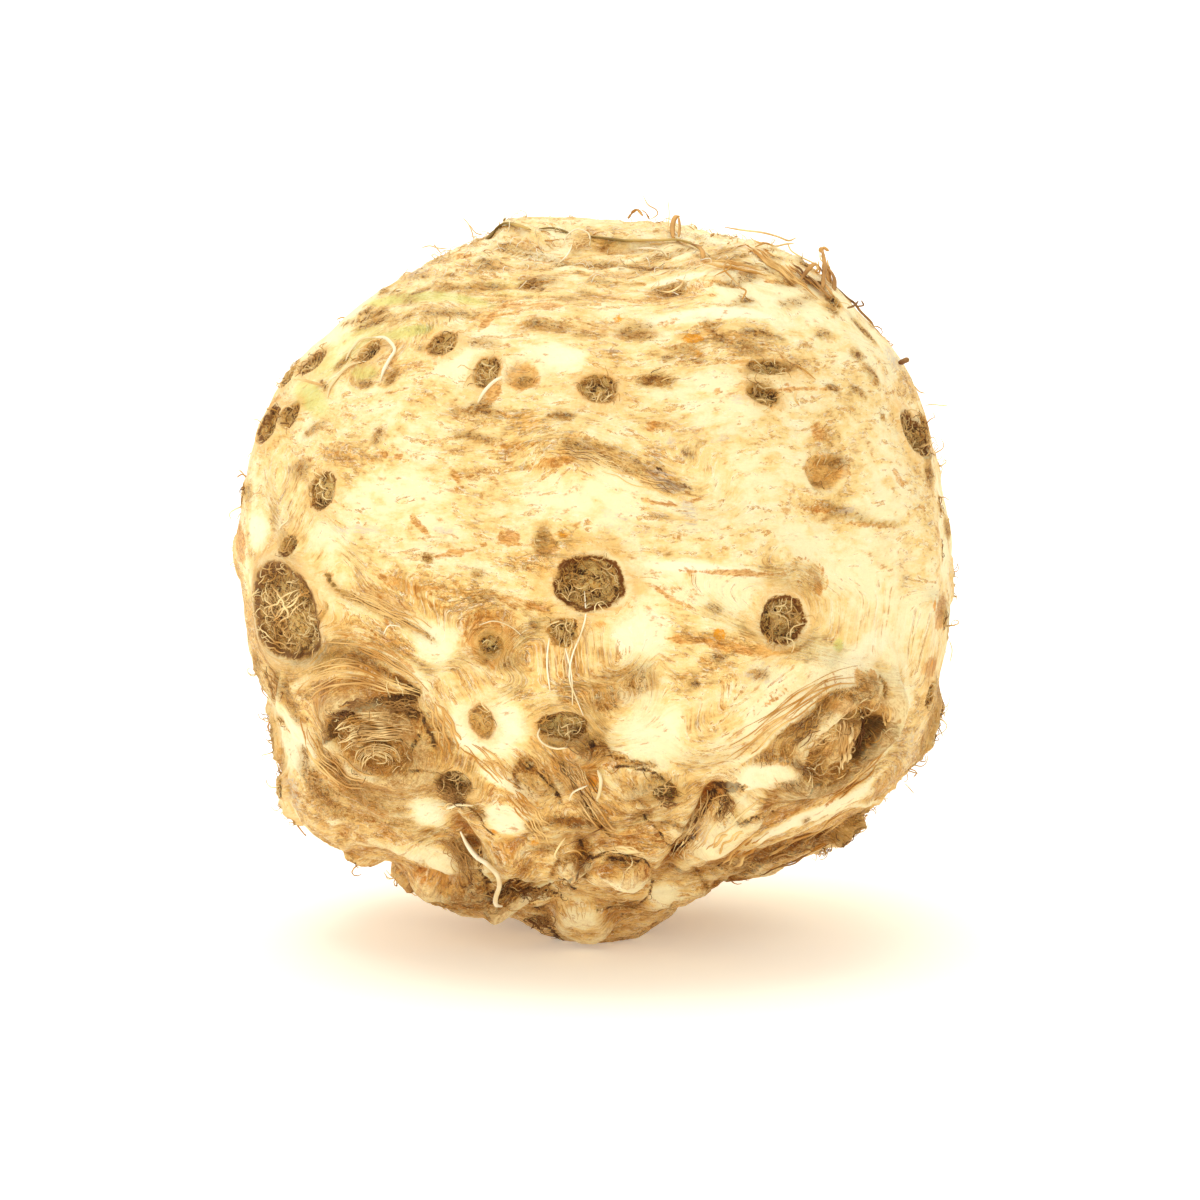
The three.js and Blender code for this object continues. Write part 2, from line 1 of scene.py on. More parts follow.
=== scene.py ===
"""A celeriac root, dressed: its skin, scar fibres, hair roots, crown rags and a plain pale studio.

Lengths are millimetres in the values below and become metres when a mesh is made. A place on the skin is
(around, down) in degrees, seen from the middle of the globe: around is 0 at the front and 90 at the right,
down is 0 at the crown, 90 at the girth and 180 at the flat spot.
"""
import itertools
import json
import logging
import math
from dataclasses import dataclass, field
from enum import Enum

import bpy
import numpy as np
from mathutils import Matrix, Vector

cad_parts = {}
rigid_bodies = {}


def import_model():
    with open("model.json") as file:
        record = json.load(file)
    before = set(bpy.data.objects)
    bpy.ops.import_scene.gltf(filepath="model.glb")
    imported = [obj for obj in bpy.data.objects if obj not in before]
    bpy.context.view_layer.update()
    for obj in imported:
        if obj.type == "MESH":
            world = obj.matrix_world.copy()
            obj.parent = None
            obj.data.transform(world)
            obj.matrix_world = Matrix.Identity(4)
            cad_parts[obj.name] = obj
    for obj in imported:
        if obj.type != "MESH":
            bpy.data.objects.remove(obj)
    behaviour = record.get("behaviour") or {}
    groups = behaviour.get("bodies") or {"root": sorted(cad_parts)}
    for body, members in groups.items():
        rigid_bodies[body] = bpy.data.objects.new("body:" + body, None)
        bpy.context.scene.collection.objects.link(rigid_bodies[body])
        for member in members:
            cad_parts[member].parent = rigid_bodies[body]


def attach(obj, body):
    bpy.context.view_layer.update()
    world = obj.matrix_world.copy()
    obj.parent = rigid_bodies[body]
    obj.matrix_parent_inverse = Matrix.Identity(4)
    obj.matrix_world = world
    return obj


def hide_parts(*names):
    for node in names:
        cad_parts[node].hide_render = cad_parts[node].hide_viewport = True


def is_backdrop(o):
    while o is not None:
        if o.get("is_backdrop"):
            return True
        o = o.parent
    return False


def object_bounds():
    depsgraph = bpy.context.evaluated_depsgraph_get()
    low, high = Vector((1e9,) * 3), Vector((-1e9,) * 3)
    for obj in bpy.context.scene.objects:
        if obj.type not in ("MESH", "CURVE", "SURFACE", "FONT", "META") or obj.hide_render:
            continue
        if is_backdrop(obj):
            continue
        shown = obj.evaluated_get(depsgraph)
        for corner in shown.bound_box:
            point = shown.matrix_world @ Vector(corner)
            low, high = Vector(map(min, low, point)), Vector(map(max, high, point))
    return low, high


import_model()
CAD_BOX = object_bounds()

log = logging.getLogger("celeriac")

Array = np.ndarray
Place = tuple[float, float]
Pixels = list[tuple[float, float]]
Faces = list[tuple[int, ...]]
Colour = tuple[float, float, float]

MM = 0.001
BODY = "root"
NODE = "celeriac_root"

MIDDLE_HEIGHT = 58.0  # height of the globe's middle above the flat spot
GLOBE_REACH = 60.0  # usual distance from the middle to the skin
GOLDEN_TURN = 180.0 * (3.0 - math.sqrt(5.0))
STEEPEST = 1.2  # millimetres that a strand goes deeper for each that it shows
LEGS_PER_SPAN = 3  # straight legs that a crease takes between two of its places
STEPS_PER_SPAN = 5  # straight pieces that a strand takes between two of its points
GRAINED_BOSS = 12.0  # width from which the grain of the skin bends round a boss
FIBROUS_BOSS = 20.0  # width from which a boss is fibrous all over
FACING = 0.12  # how far a vertex may turn from the front view and still be found by its pixel
NEIGHBOURS = 6  # vertices that the depth at a pixel is taken from


# ----------------------------------------------------------------------------------------------------------
# Directions, distances on the skin and smooth steps
# ----------------------------------------------------------------------------------------------------------


def unit(vectors: Array) -> Array:
    """The same vectors at length 1."""
    return vectors / np.maximum(np.linalg.norm(vectors, axis=1, keepdims=True), 1e-12)


def directions_at(places: list[Place] | Array) -> Array:
    """Unit directions of several places.

    Args:
        places: Rows of (around, down) in degrees.

    Returns:
        One unit vector a row.
    """
    around, down = np.radians(np.asarray(places, float).reshape(-1, 2)).T
    return np.stack([np.sin(around) * np.sin(down), -np.cos(around) * np.sin(down), np.cos(down)], axis=1)


def smooth_step(low: float, high: float, value: Array) -> Array:
    """0 below low, 1 above high and an even ramp between."""
    t = np.clip((value - low) / (high - low), 0.0, 1.0)
    return t * t * (3.0 - 2.0 * t)


def dome(q: Array) -> Array:
    """1 in the middle of a form, falling evenly to 0 at its edge, where q is 1."""
    return np.where(q < 1.0, (1.0 - q * q) ** 2, 0.0)


def bell(value: Array, width: float | Array) -> Array:
    """1 where value is 0, falling away on both sides over width."""
    return np.exp(-((value / width) ** 2))


def scatter(index: int, seed: float) -> float:
    """A steady number from 0 to 1 for each index and seed."""
    value = math.sin(index * 12.9898 + seed * 78.233) * 43758.5453
    return value - math.floor(value)


def smooth_path(points: Array, steps: int) -> Array:
    """A smooth path through points.

    Args:
        points: The points, one a row.
        steps: How many pieces each span is cut into.

    Returns:
        The path's points, ends included.
    """
    ends = np.vstack([2 * points[0] - points[1], points, 2 * points[-1] - points[-2]])
    path = []
    for i in range(len(points) - 1):
        before, start, end, after = ends[i : i + 4]
        leave, arrive = (end - before) / 2, (after - start) / 2
        bend = 3 * (end - start) - 2 * leave - arrive
        for w in np.arange(steps) / steps:
            path.append(start + leave * w + bend * w**2 + (2 * (start - end) + leave + arrive) * w**3)
    return np.array([*path, points[-1]])


def smooth_run(along: list[Place]) -> Array:
    """Unit directions along the smooth curve through some places."""
    return unit(smooth_path(directions_at(along), LEGS_PER_SPAN))


@dataclass
class Nearest:
    """Where directions lie beside a run: how far off, on which side and how far along, from 0 to 1."""

    distance: Array
    side: Array
    share: Array


def nearest_on_run(directions: Array, run: Array) -> Nearest:
    """The nearest point of a run to each direction.

    Args:
        directions: Unit directions, one a row.
        run: Unit directions along the run.

    Returns:
        Distances in millimetres on the skin, the side (-1 or 1) and the share along the run.
    """
    found = Nearest(np.full(len(directions), np.inf), np.zeros(len(directions)), np.zeros(len(directions)))
    for i in range(len(run) - 1):
        leg = run[i + 1] - run[i]
        t = np.clip((directions - run[i]) @ leg / (leg @ leg), 0.0, 1.0)
        foot = run[i] + t[:, None] * leg
        foot /= np.linalg.norm(foot, axis=1, keepdims=True)
        distance = GLOBE_REACH * np.linalg.norm(foot - directions, axis=1)
        nearer = distance < found.distance
        side = np.sign(directions @ np.cross(run[i], run[i + 1]))
        found.distance[nearer] = distance[nearer]
        found.side[nearer] = side[nearer]
        found.share[nearer] = ((i + t) / (len(run) - 1))[nearer]
    return found


def rows_by_run(directions: Array, run: Array, margin: float) -> Array:
    """Indices of the directions that may lie within a margin, in millimetres, of a run.

    Args:
        directions: Unit directions, one a row.
        run: Unit directions along the run.
        margin: Millimetres on the skin.

    Returns:
        Row numbers.
    """
    middle = unit(run.mean(axis=0, keepdims=True))[0]
    reach = np.arccos(np.clip((run @ middle).min(), -1, 1)) + margin / GLOBE_REACH
    return np.nonzero(directions @ middle > math.cos(min(reach, math.pi)))[0]


class LatticeNoise:
    """Soft, even randomness in space, about -1 to 1, the same for the same seed."""

    def __init__(self, seed: int) -> None:
        """Draws the lattice's slopes once from the seed.

        Args:
            seed: What the slopes are drawn from.
        """
        rng = np.random.default_rng(seed)
        self.order = np.tile(rng.permutation(256), 3)
        slopes = rng.normal(size=(256, 3))
        self.slopes = slopes / np.linalg.norm(slopes, axis=1, keepdims=True)

    def at(self, points: Array) -> Array:
        """Noise at points whose lattice spacing is 1.

        Args:
            points: Points, one a row.

        Returns:
            One value a point.
        """
        cell = np.floor(points).astype(int)
        inside = points - cell
        ease = inside**3 * (inside * (inside * 6 - 15) + 10)
        total = np.zeros(len(points))
        for corner in itertools.product((0, 1), repeat=3):
            x, y, z = ((cell + corner) & 255).T
            slope = self.slopes[self.order[self.order[self.order[x] + y] + z]]
            weight = np.prod(np.where(corner, ease, 1 - ease), axis=1)
            total += weight * np.einsum("ij,ij->i", slope, inside - corner)
        return total * 1.6

    def layered(self, points: Array, octaves: int = 3) -> Array:
        """Noise with finer layers added, each half as wide and half as high."""
        return sum(self.at(points * 2.0**k + 17.0 * k) / 2.0**k for k in range(octaves))


# ----------------------------------------------------------------------------------------------------------
# Forms of the globe, the same as in the solid
# ----------------------------------------------------------------------------------------------------------


@dataclass(frozen=True)
class Oval:
    """An oval on the skin: its middle, size in millimetres and turn in degrees."""

    at: Place
    width: float
    height: float
    turn: float

    def near(self, directions: Array, reach: float = 1.1) -> Array:
        """Indices of the directions that lie within reach times the oval's longer side."""
        span = min(max(self.width, self.height) * reach / GLOBE_REACH, math.pi)
        return np.nonzero(directions @ directions_at([self.at])[0] > math.cos(span))[0]

    def axes(self) -> tuple[Array, Array, Array]:
        """The directions out of, across and up the oval.

        Returns:
            Three unit vectors.
        """
        out = directions_at([self.at])[0]
        level = np.array([-out[1], out[0], 0.0])
        level /= np.linalg.norm(level)
        upright = np.cross(out, level)
        angle = math.radians(self.turn)
        across = math.cos(angle) * level + math.sin(angle) * upright
        return out, across, math.cos(angle) * upright - math.sin(angle) * level

    def offsets(self, directions: Array) -> tuple[Array, Array]:
        """Millimetres across and up from the oval's middle.

        Args:
            directions: Unit directions, one a row.

        Returns:
            The two distances of each direction.
        """
        out, across, up = self.axes()
        x, y = directions @ across, directions @ up
        sine = np.hypot(x, y)
        scale = GLOBE_REACH * np.arctan2(sine, directions @ out) / np.maximum(sine, 1e-9)
        return x * scale, y * scale

    def locate(self, directions: Array) -> tuple[Array, Array]:
        """How far out each direction lies, 1 being the oval's edge, and its bearing round the oval.

        Args:
            directions: Unit directions, one a row.

        Returns:
            The two values of each direction.
        """
        x, y = self.offsets(directions)
        u, v = x / (self.width / 2), y / (self.height / 2)
        return np.hypot(u, v), np.arctan2(v, u)

    def lift_at(self, q: Array, bearing: Array) -> Array:
        """What the form adds to the reach."""
        raise NotImplementedError

    def add_to(self, reach: Array, directions: Array) -> None:
        """Adds the form to a reach in place.

        Args:
            reach: Reach in each direction, changed in place.
            directions: Unit directions, one a row.
        """
        rows = self.near(directions)
        if len(rows):
            reach[rows] += self.lift_at(*self.locate(directions[rows]))


@dataclass(frozen=True)
class Boss(Oval):
    """A swelling, with folds that ring it."""

    lift: float
    folds: float = 0.0
    fold_lift: float = 0.0

    def lift_at(self, q: Array, bearing: Array) -> Array:
        """A dome with rings of folds on it."""
        wavy = q * (1 + 0.05 * np.sin(3 * bearing + self.at[0]))
        return dome(wavy) * (self.lift + self.fold_lift * np.cos(2 * np.pi * self.folds * wavy))


@dataclass(frozen=True)
class Scar(Oval):
    """The scar of a trimmed root; tone is how dark its fibres are, from 0 to 1."""

    rim: float
    sink: float
    core: float
    tone: float = 0.8

    def wavy(self, q: Array, bearing: Array) -> Array:
        """q with the scar's own uneven outline."""
        return q * (1 + 0.03 * np.sin(3 * bearing + self.at[0]) + 0.02 * np.sin(5 * bearing + self.at[1]))

    def lift_at(self, q: Array, bearing: Array) -> Array:
        """A raised rim round a sunk floor with a low core.

        Args:
            q: How far out each direction lies, 1 being the form's edge.
            bearing: Bearing round the form, in radians.

        Returns:
            Millimetres for each direction.
        """
        wavy = self.wavy(q, bearing)
        floor = 1 - smooth_step(0.55, 1.0, wavy)
        return self.rim * bell(wavy - 1.1, 0.26) - self.sink * floor + self.core * dome(wavy / 0.9)


@dataclass(frozen=True)
class Stub(Oval):
    """A flat-topped stump or lobe with steep flanks."""

    lift: float

    def lift_at(self, q: Array, bearing: Array) -> Array:
        """A level top inside a steep edge."""
        wavy = q * (1 + 0.08 * np.sin(2 * bearing + self.at[0]) + 0.05 * np.sin(5 * bearing))
        return self.lift * (1 - smooth_step(0.5, 1.05, wavy))


@dataclass(frozen=True)
class Crease:
    """A fold, or where lift is below 0 a groove, along a run of places."""

    along: list[Place]
    width: float
    lift: float

    def add_to(self, reach: Array, directions: Array) -> None:
        """Adds the crease to a reach in place.

        Args:
            reach: Reach in each direction, changed in place.
            directions: Unit directions, one a row.
        """
        run = smooth_run(self.along)
        rows = rows_by_run(directions, run, 2 * self.width)
        near = nearest_on_run(directions[rows], run)
        fade = smooth_step(0, 0.22, near.share) * smooth_step(0, 0.22, 1 - near.share)
        reach[rows] += self.lift * fade * bell(near.distance, self.width / 2)


@dataclass(frozen=True)
class Ledge:
    """The skin swells towards a line and then drops away beyond it."""

    along: list[Place]
    reach: float
    drop: float
    lift: float

    def add_to(self, reach: Array, directions: Array) -> None:
        """Adds the ledge to a reach in place.

        Args:
            reach: Reach in each direction, changed in place.
            directions: Unit directions, one a row.
        """
        near = nearest_on_run(directions, smooth_run(self.along))
        fade = smooth_step(0, 0.15, near.share) * smooth_step(0, 0.15, 1 - near.share)
        beyond = 1 - smooth_step(0, self.drop, near.distance)
        reach += self.lift * fade * np.where(near.side < 0, bell(near.distance, self.reach), beyond)


@dataclass(frozen=True)
class SideOutline:
    """One side of the globe as points of (reach from the stem axis, height above the flat spot)."""

    points: list[tuple[float, float]]

    def reach_at(self, down: Array) -> Array:
        """Distance from the globe's middle to the outline at each angle down from the crown.

        Args:
            down: Degrees down from the crown.

        Returns:
            Millimetres for each angle.
        """
        reach, height = np.array(self.points, float).T
        angles = np.degrees(np.arctan2(reach, height - MIDDLE_HEIGHT))
        radii = np.hypot(reach, height - MIDDLE_HEIGHT)
        before = np.maximum(np.arange(len(angles)) - 1, 0)
        after = np.minimum(np.arange(len(angles)) + 1, len(angles) - 1)
        slopes = (radii[after] - radii[before]) / (angles[after] - angles[before])
        right = np.clip(np.searchsorted(angles, down, side="right"), 1, len(angles) - 1)
        left = right - 1
        span = angles[right] - angles[left]
        t = (down - angles[left]) / span
        flat = (2 * t**3 - 3 * t**2 + 1) * radii[left] + (3 * t**2 - 2 * t**3) * radii[right]
        return flat + span * ((t**3 - 2 * t**2 + t) * slopes[left] + (t**3 - t**2) * slopes[right])


FRONT = SideOutline([
    (0, 118.2), (13, 117.8), (17, 115.2), (29, 111), (41, 102.6), (50.5, 91.5), (57, 78), (59.6, 66), (60, 55),
    (57.6, 43), (53, 32.5), (46.5, 24), (39, 17.5), (31, 12), (23, 7), (16, 1.8), (11, -1), (0, -1),
])
RIGHT = SideOutline([
    (0, 118.2), (12, 117.8), (20, 115.8), (30, 114.6), (38.8, 109), (45.2, 102), (52, 93), (56, 82.5),
    (59, 70.5), (59.7, 58), (59.2, 46), (56.6, 34.5), (54, 29.5), (48, 24), (40, 17), (32, 13), (23, 10),
    (15, 6), (7, 1.5), (0, -1),
])
BACK = SideOutline([
    (0, 118.2), (12, 117.8), (20, 115), (32, 111), (43, 103), (52, 91), (57, 77), (59, 64), (58.5, 50),
    (56, 38), (51, 27), (43, 17.5), (34, 9.5), (25, 3), (19, -1), (0, -1),
])
LEFT = SideOutline([
    (0, 118.2), (13.5, 117.6), (17, 114.8), (29, 110.6), (41, 102.6), (51, 93.6), (55.2, 83), (58.2, 72),
    (59, 65), (57, 56), (56.2, 45.5), (52.8, 35), (51.4, 24.5), (46.6, 17), (34, 12.5), (26, 7.6), (16, 3.6),
    (8, 1), (0, -1),
])

BOSSES = [
    Boss((-38, 108), 36, 30, 0, 4.2, 3, 0.4),
    Boss((43, 107), 36, 30, 25, 4, 3, 0.4),
    Boss((-57.5, 89.5), 27, 23, 0, 2),
    Boss((-15, 91.5), 14, 14, 0, 1.1, 1.5, 0.3),
    Boss((4.5, 98.5), 14, 17, 0, 0.9, 1.5, 0.2),
    Boss((8, 114.5), 17, 15, 0, 1.5, 1.5, 0.25),
    Boss((33, 81.8), 13, 10, 0, 0.8),
    Boss((-4.5, 110), 13, 19, 0, 1.3),
    Boss((-52.7, 47.2), 13, 11, 0, 0.8, 1.5, 0.3),
    Boss((124, 101), 34, 28, -20, 3.9, 3, 0.4),
    Boss((-121, 110), 32, 27, 15, 3.7, 3, 0.4),
    Boss((176, 118), 33, 24, 0, 3.4, 3, 0.4),
    Boss((-168, 82), 17, 15, 0, 1.4, 1.5, 0.3),
    Boss((86, 112), 20, 17, 0, 1.4, 1.5, 0.3),
    Boss((-84, 114), 19, 16, 0, 1.2, 1.5, 0.3),
]

SCARS = [
    Scar((-0.3, 81.9), 11.4, 9.2, 0, 0.7, 1.4, 0.6, 0.75),
    Scar((29.5, 88.3), 8.8, 8, 0, 0.6, 1.3, 0.5, 0.75),
    Scar((-55.8, 89.8), 21.5, 16.5, 0, 1, 1.8, 1, 0.6),
    Scar((-37.5, 108.2), 19, 13, -4, 1.5, 3.2, 3, 0.1),
    Scar((43, 108), 19, 13.5, 42, 1.5, 3.2, 2.2, 0.15),
    Scar((-48.6, 70.4), 6.8, 6.4, 0, 0.4, 0.9, 0.7, 0.85),
    Scar((1.3, 51.8), 6.4, 5.4, -15, 0.4, 1, 0.3, 0.95),
    Scar((-32.7, 44.9), 5.2, 5.2, 0, 0.4, 0.9, 0.3, 0.9),
    Scar((-20.7, 49.5), 4.4, 6, 0, 0.4, 0.9, 0.3, 0.9),
    Scar((-13.4, 49.8), 6, 6, 0, 0.3, 0.5, 0.2, 0.2),
    Scar((-52.7, 47.2), 4.4, 4.4, 0, 0.4, 0.9, 0.3, 0.9),
    Scar((-72.9, 51), 8, 5, 20, 0.4, 0.8, 0.3, 0.7),
    Scar((-68.3, 59.9), 5, 5, 0, 0.3, 0.8, 0.2, 0.8),
    Scar((-54.4, 79.5), 4.4, 3.6, 0, 0.4, 0.9, 0.2, 0.9),
    Scar((41.6, 66.6), 8.4, 6.4, 0, 0.5, 0.8, 0.3, 0.1),
    Scar((32.4, 54.4), 6, 3.4, -25, 0.3, 0.7, 0.2, 0.85),
    Scar((36.2, 49.9), 9, 3, -6, 0.3, 0.6, 0.2, 0.6),
    Scar((72.5, 63.7), 9, 7, -50, 0.5, 1, 0.3, 0.85),
    Scar((-15, 91.2), 4, 3.4, 0, 0.3, 0.8, 0, 0.7),
    Scar((-4.3, 89.1), 4.8, 4.6, 0, 0.3, 1, 0.2, 0.95),
    Scar((-17, 103.3), 4.4, 6, 10, 0.3, 0.8, 0.2, 0.56),
    Scar((-4.2, 103.8), 8.6, 5, 0, 0.4, 1.1, 0.4, 0.7),
    Scar((-23.4, 114.5), 6.4, 5.4, 0, 0.4, 1.8, 0.2, 0.95),
    Scar((12.6, 115.5), 5.4, 3.6, -30, 0.3, 0.8, 0.2, 0.8),
    Scar((-7.1, 76.2), 4.4, 4.4, 0, 0.2, 0.4, 0.1, 0.2),
    Scar((124, 101), 17, 12, -20, 1.4, 3, 2.6, 0.55),
    Scar((-121, 110), 16, 12, 15, 1.4, 3, 2.2, 0.6),
    Scar((176, 118), 15, 11, 0, 1.3, 2.8, 2.2, 0.6),
    Scar((86, 112), 9, 7, 0, 0.6, 1.3, 0.5, 0.85),
    Scar((-84, 114), 8, 7, 0, 0.6, 1.3, 0.5, 0.85),
    Scar((-152, 88), 10, 9, 0, 0.7, 1.4, 0.5, 0.9),
    Scar((152, 76), 9, 8, 0, 0.6, 1.3, 0.4, 0.9),
]

STUBS = [
    Stub((27, 126.3), 19, 8, 38, 2.6),
    Stub((5.5, 135), 12, 8, 0, 2.8),
    Stub((-3.4, 130.6), 7, 4.6, 12, 1.8),
    Stub((-4, 157), 13, 12, 0, 3),
    Stub((-40, 145), 24, 17, -20, 5),
    Stub((-24, 150), 13, 11, 0, 1.6),
    Stub((30, 149), 14, 10, 20, 1.2),
    Stub((72, 148), 15, 12, 10, 1),
    Stub((108, 142), 13, 10, -15, 2.4),
    Stub((139, 148), 18, 13, 0, 2.4),
    Stub((168, 142), 12, 10, 25, 3),
    Stub((-157, 148), 16, 12, -10, 2.6),
    Stub((-126, 141), 13, 9, 15, 2.8),
    Stub((-96, 148), 16, 12, 0, 1.6),
    Stub((145, 161), 13, 11, 0, 3.4),
    Stub((-146, 161), 13, 11, 0, 3.4),
]

CREASES = [
    Crease([(-45.7, 82.4), (-34, 86.4), (-22.5, 91.6)], 5, -1),
    Crease([(-50, 87), (-42.3, 92.6), (-33, 95.2), (-26.4, 99.6), (-22, 106)], 4.4, 1),
    Crease([(-44, 97), (-34, 98.8), (-27.5, 104)], 3.4, -0.9),
    Crease([(-46, 103), (-38, 101.4), (-30, 101.4)], 3.6, 1.6),
    Crease([(-46.5, 104.5), (-46, 109), (-43, 113)], 3, -1.1),
    Crease([(-30, 37), (2, 35.6), (26.6, 38.1), (50.5, 42.7)], 7, 0.7),
    Crease([(-25, 41.5), (2, 40), (24, 42)], 5, -0.5),
    Crease([(66, 72), (64, 90), (66, 108)], 9, 0.8),
    Crease([(56, 74), (57, 90), (58, 97)], 5, -0.5),
    Crease([(53, 93), (52, 99), (53.5, 105), (50, 112)], 4.2, 1.5),
    Crease([(49.5, 98), (50, 105), (47, 111)], 3, -1.8),
    Crease([(36, 98), (31, 105), (33, 113), (42, 117)], 4, 0.9),
    Crease([(30.4, 133), (42, 126.5), (52.4, 121), (62, 118)], 7, 1.2),
    Crease([(22, 141), (36, 137), (54, 133), (72, 131)], 5.5, -1.8),
    Crease([(22.4, 113.2), (22, 120), (19.5, 129.4), (17, 138)], 3.8, -2.8),
    Crease([(28, 118.5), (36, 117.5)], 2.6, -1.2),
    Crease([(-30, 119), (-27, 125), (-25.5, 131), (-24, 137)], 4.2, -2.4),
    Crease([(-52, 128), (-40, 132), (-31, 139)], 4, 1),
    Crease([(12, 126.6), (1, 126.8), (-8, 124.6)], 4.4, -1),
    Crease([(9, 117), (2, 112), (-3, 106)], 3.2, 0.7),
    Crease([(-12, 62), (3, 66), (17, 73)], 6, 0.5),
    Crease([(36, 73), (44, 74.4), (56, 75.5)], 3.4, -0.6),
    Crease([(112, 92), (124, 88), (138, 93), (143, 104)], 4.4, 1),
    Crease([(104, 99), (107, 110), (118, 117)], 4, -1.1),
    Crease([(-137, 101), (-122, 97), (-107, 101), (-101, 111)], 4.4, 1),
    Crease([(-138, 111), (-128, 120), (-112, 122)], 4, -1.2),
    Crease([(158, 110), (175, 106), (-166, 110)], 4.4, 1),
    Crease([(-176, 96), (-160, 98), (-146, 104)], 5, -0.9),
    Crease([(92, 78), (100, 92), (98, 104)], 7, 0.7),
    Crease([(-98, 80), (-92, 96), (-96, 108)], 7, 0.7),
]

LEDGES = [
    Ledge([(13, 138), (4, 133), (-5, 134.2), (-15, 135.4), (-22, 134), (-24, 128)], 9, 1.8, 2.8),
    Ledge([(122, 135), (108, 133), (92, 136)], 8, 2, 1.8),
    Ledge([(-98, 135), (-114, 132), (-130, 136)], 8, 2, 1.8),
    Ledge([(-160, 136), (-176, 133), (166, 136)], 8, 2, 1.6),
]

STALK_NOTCHES = [
    Crease([(-70, 13), (-40, 15.5), (-12, 14.4)], 2.4, -1),
    Crease([(-4, 14.6), (22, 16), (46, 17.5)], 2.4, -1.1),
    Crease([(118, 13), (150, 14.5), (-170, 13.5)], 2.6, -1),
    Crease([(-60, 6), (-10, 7), (40, 6.5)], 2, -0.6),
    Crease([(90, 8), (140, 9), (-170, 8)], 2, -0.6),
]
HEART_PIT = Scar((20, 1.5), 7, 6, 0, 0.3, 1.1, 0, 0.4)


@dataclass(frozen=True)
class Crown:
    """The stump of the leaf stalks and the rows of old leaf bases below it."""

    edge_down: float = 14.0
    ring_spacing: float = 4.2
    ring_lift: float = 0.35
    ring_end: float = 13.5
    base_rows: tuple[float, ...] = (17.5, 22, 26.5, 31)
    base_apart: float = 9.0
    base_size: tuple[float, float] = (8.0, 3.0)
    base_lift: float = 0.45

    def ring_reach(self, around: Array, down: Array) -> Array:
        """The low rings round the stump's top."""
        ring = np.cos(2 * np.pi * down / self.ring_spacing + np.sin(np.radians(2 * around)))
        return self.ring_lift * ring * (1 - smooth_step(self.ring_end - 3, self.ring_end, down))

    def leaf_bases(self) -> list[Boss]:
        """Staggered shallow swellings, spaced evenly along each row.

        Returns:
            The swellings of all rows.
        """
        bases = []
        for row, down in enumerate(self.base_rows):
            girth = 2 * math.pi * GLOBE_REACH * math.sin(math.radians(down))
            count = math.floor(girth / self.base_apart + 0.5)
            for i in range(count):
                around = (i + row / 2 + 0.4 * scatter(i, row)) * 360 / count
                at = (around, down + 2 * (scatter(i, row + 9) - 0.5))
                bases.append(Boss(at, *self.base_size, 12 * (scatter(i, row + 5) - 0.5), self.base_lift))
        return bases


@dataclass(frozen=True)
class StrewnScars:
    """Small scars strewn over the sides and back along a golden spiral, clear of the front ones."""

    count: int = 96
    seed: float = 7
    upper: float = 36
    lower: float = 128
    clear_of_front: float = 66
    smallest: float = 3
    largest: float = 7.5

    def scars(self) -> list[Scar]:
        """The scars, from the crown down.

        Returns:
            The scars that lie clear of the front.
        """
        top, bottom = math.cos(math.radians(self.upper)), math.cos(math.radians(self.lower))
        found = []
        for i in range(self.count):
            level = top + (bottom - top) * (i + 0.5) / self.count
            around = (i * GOLDEN_TURN + 30 * scatter(i, self.seed) + 180) % 360 - 180
            size = self.smallest + (self.largest - self.smallest) * scatter(i, self.seed + 1) ** 2.5
            turn = 40 * (scatter(i, self.seed + 2) - 0.5)
            tone = 0.55 + 0.4 * scatter(i, self.seed + 3)
            at = (around, math.degrees(math.acos(level)))
            found.append(Scar(at, size * 1.15, size, turn, 0.1 * size, 0.2 * size, 0.05 * size, tone))
        return [scar for scar in found if abs(scar.at[0]) > self.clear_of_front]


@dataclass(frozen=True)
class Stumps:
    """Stumps of trimmed roots round the underside, each with its cut end."""

    count: int = 26
    seed: float = 11
    upper: float = 120
    lower: float = 152
    clear_of_front: float = 62
    smallest: float = 5.5
    largest: float = 10
    lift_share: float = 0.3
    end_share: float = 0.62

    def stubs(self) -> list[Stub]:
        """The stumps along a golden spiral round the underside.

        Returns:
            The stumps that lie clear of the front.
        """
        found = []
        for i in range(self.count):
            around = (i * GOLDEN_TURN + 180) % 360 - 180
            down = self.upper + (self.lower - self.upper) * scatter(i, self.seed)
            size = self.smallest + (self.largest - self.smallest) * scatter(i, self.seed + 1) ** 1.5
            turn = 60 * (scatter(i, self.seed + 2) - 0.5)
            found.append(Stub((around, down), size * 1.2, size, turn, self.lift_share * size))
        return [stub for stub in found if abs(stub.at[0]) > self.clear_of_front]

    def cut_ends(self) -> list[Scar]:
        """A scar on the end of each stump.

        Returns:
            One scar for each stump.
        """
        return [
            Scar(stub.at, stub.width * self.end_share, stub.height * self.end_share, stub.turn,
                 0.05 * stub.width * self.end_share, 0.14 * stub.width * self.end_share,
                 0.06 * stub.width * self.end_share, 0.6)
            for stub in self.stubs()
        ]


@dataclass(frozen=True)
class RootCrevices:
    """Crevices that run out from the flat spot between the trimmed roots."""

    arounds: tuple[float, ...] = (-78, -108, -141, -172, 154, 121, 86, 50)
    downs: tuple[float, ...] = (164, 150, 134)
    sway: float = 6
    width: float = 3.6
    lift: float = -1.9

    def creases(self) -> list[Crease]:
        """The crevices, each swaying a little as it runs outwards.

        Returns:
            One crease for each crevice.
        """
        return [
            Crease([(around + self.sway * math.sin(2 * j + i), down) for j, down in enumerate(self.downs)],
                   self.width, self.lift)
            for i, around in enumerate(self.arounds)
        ]


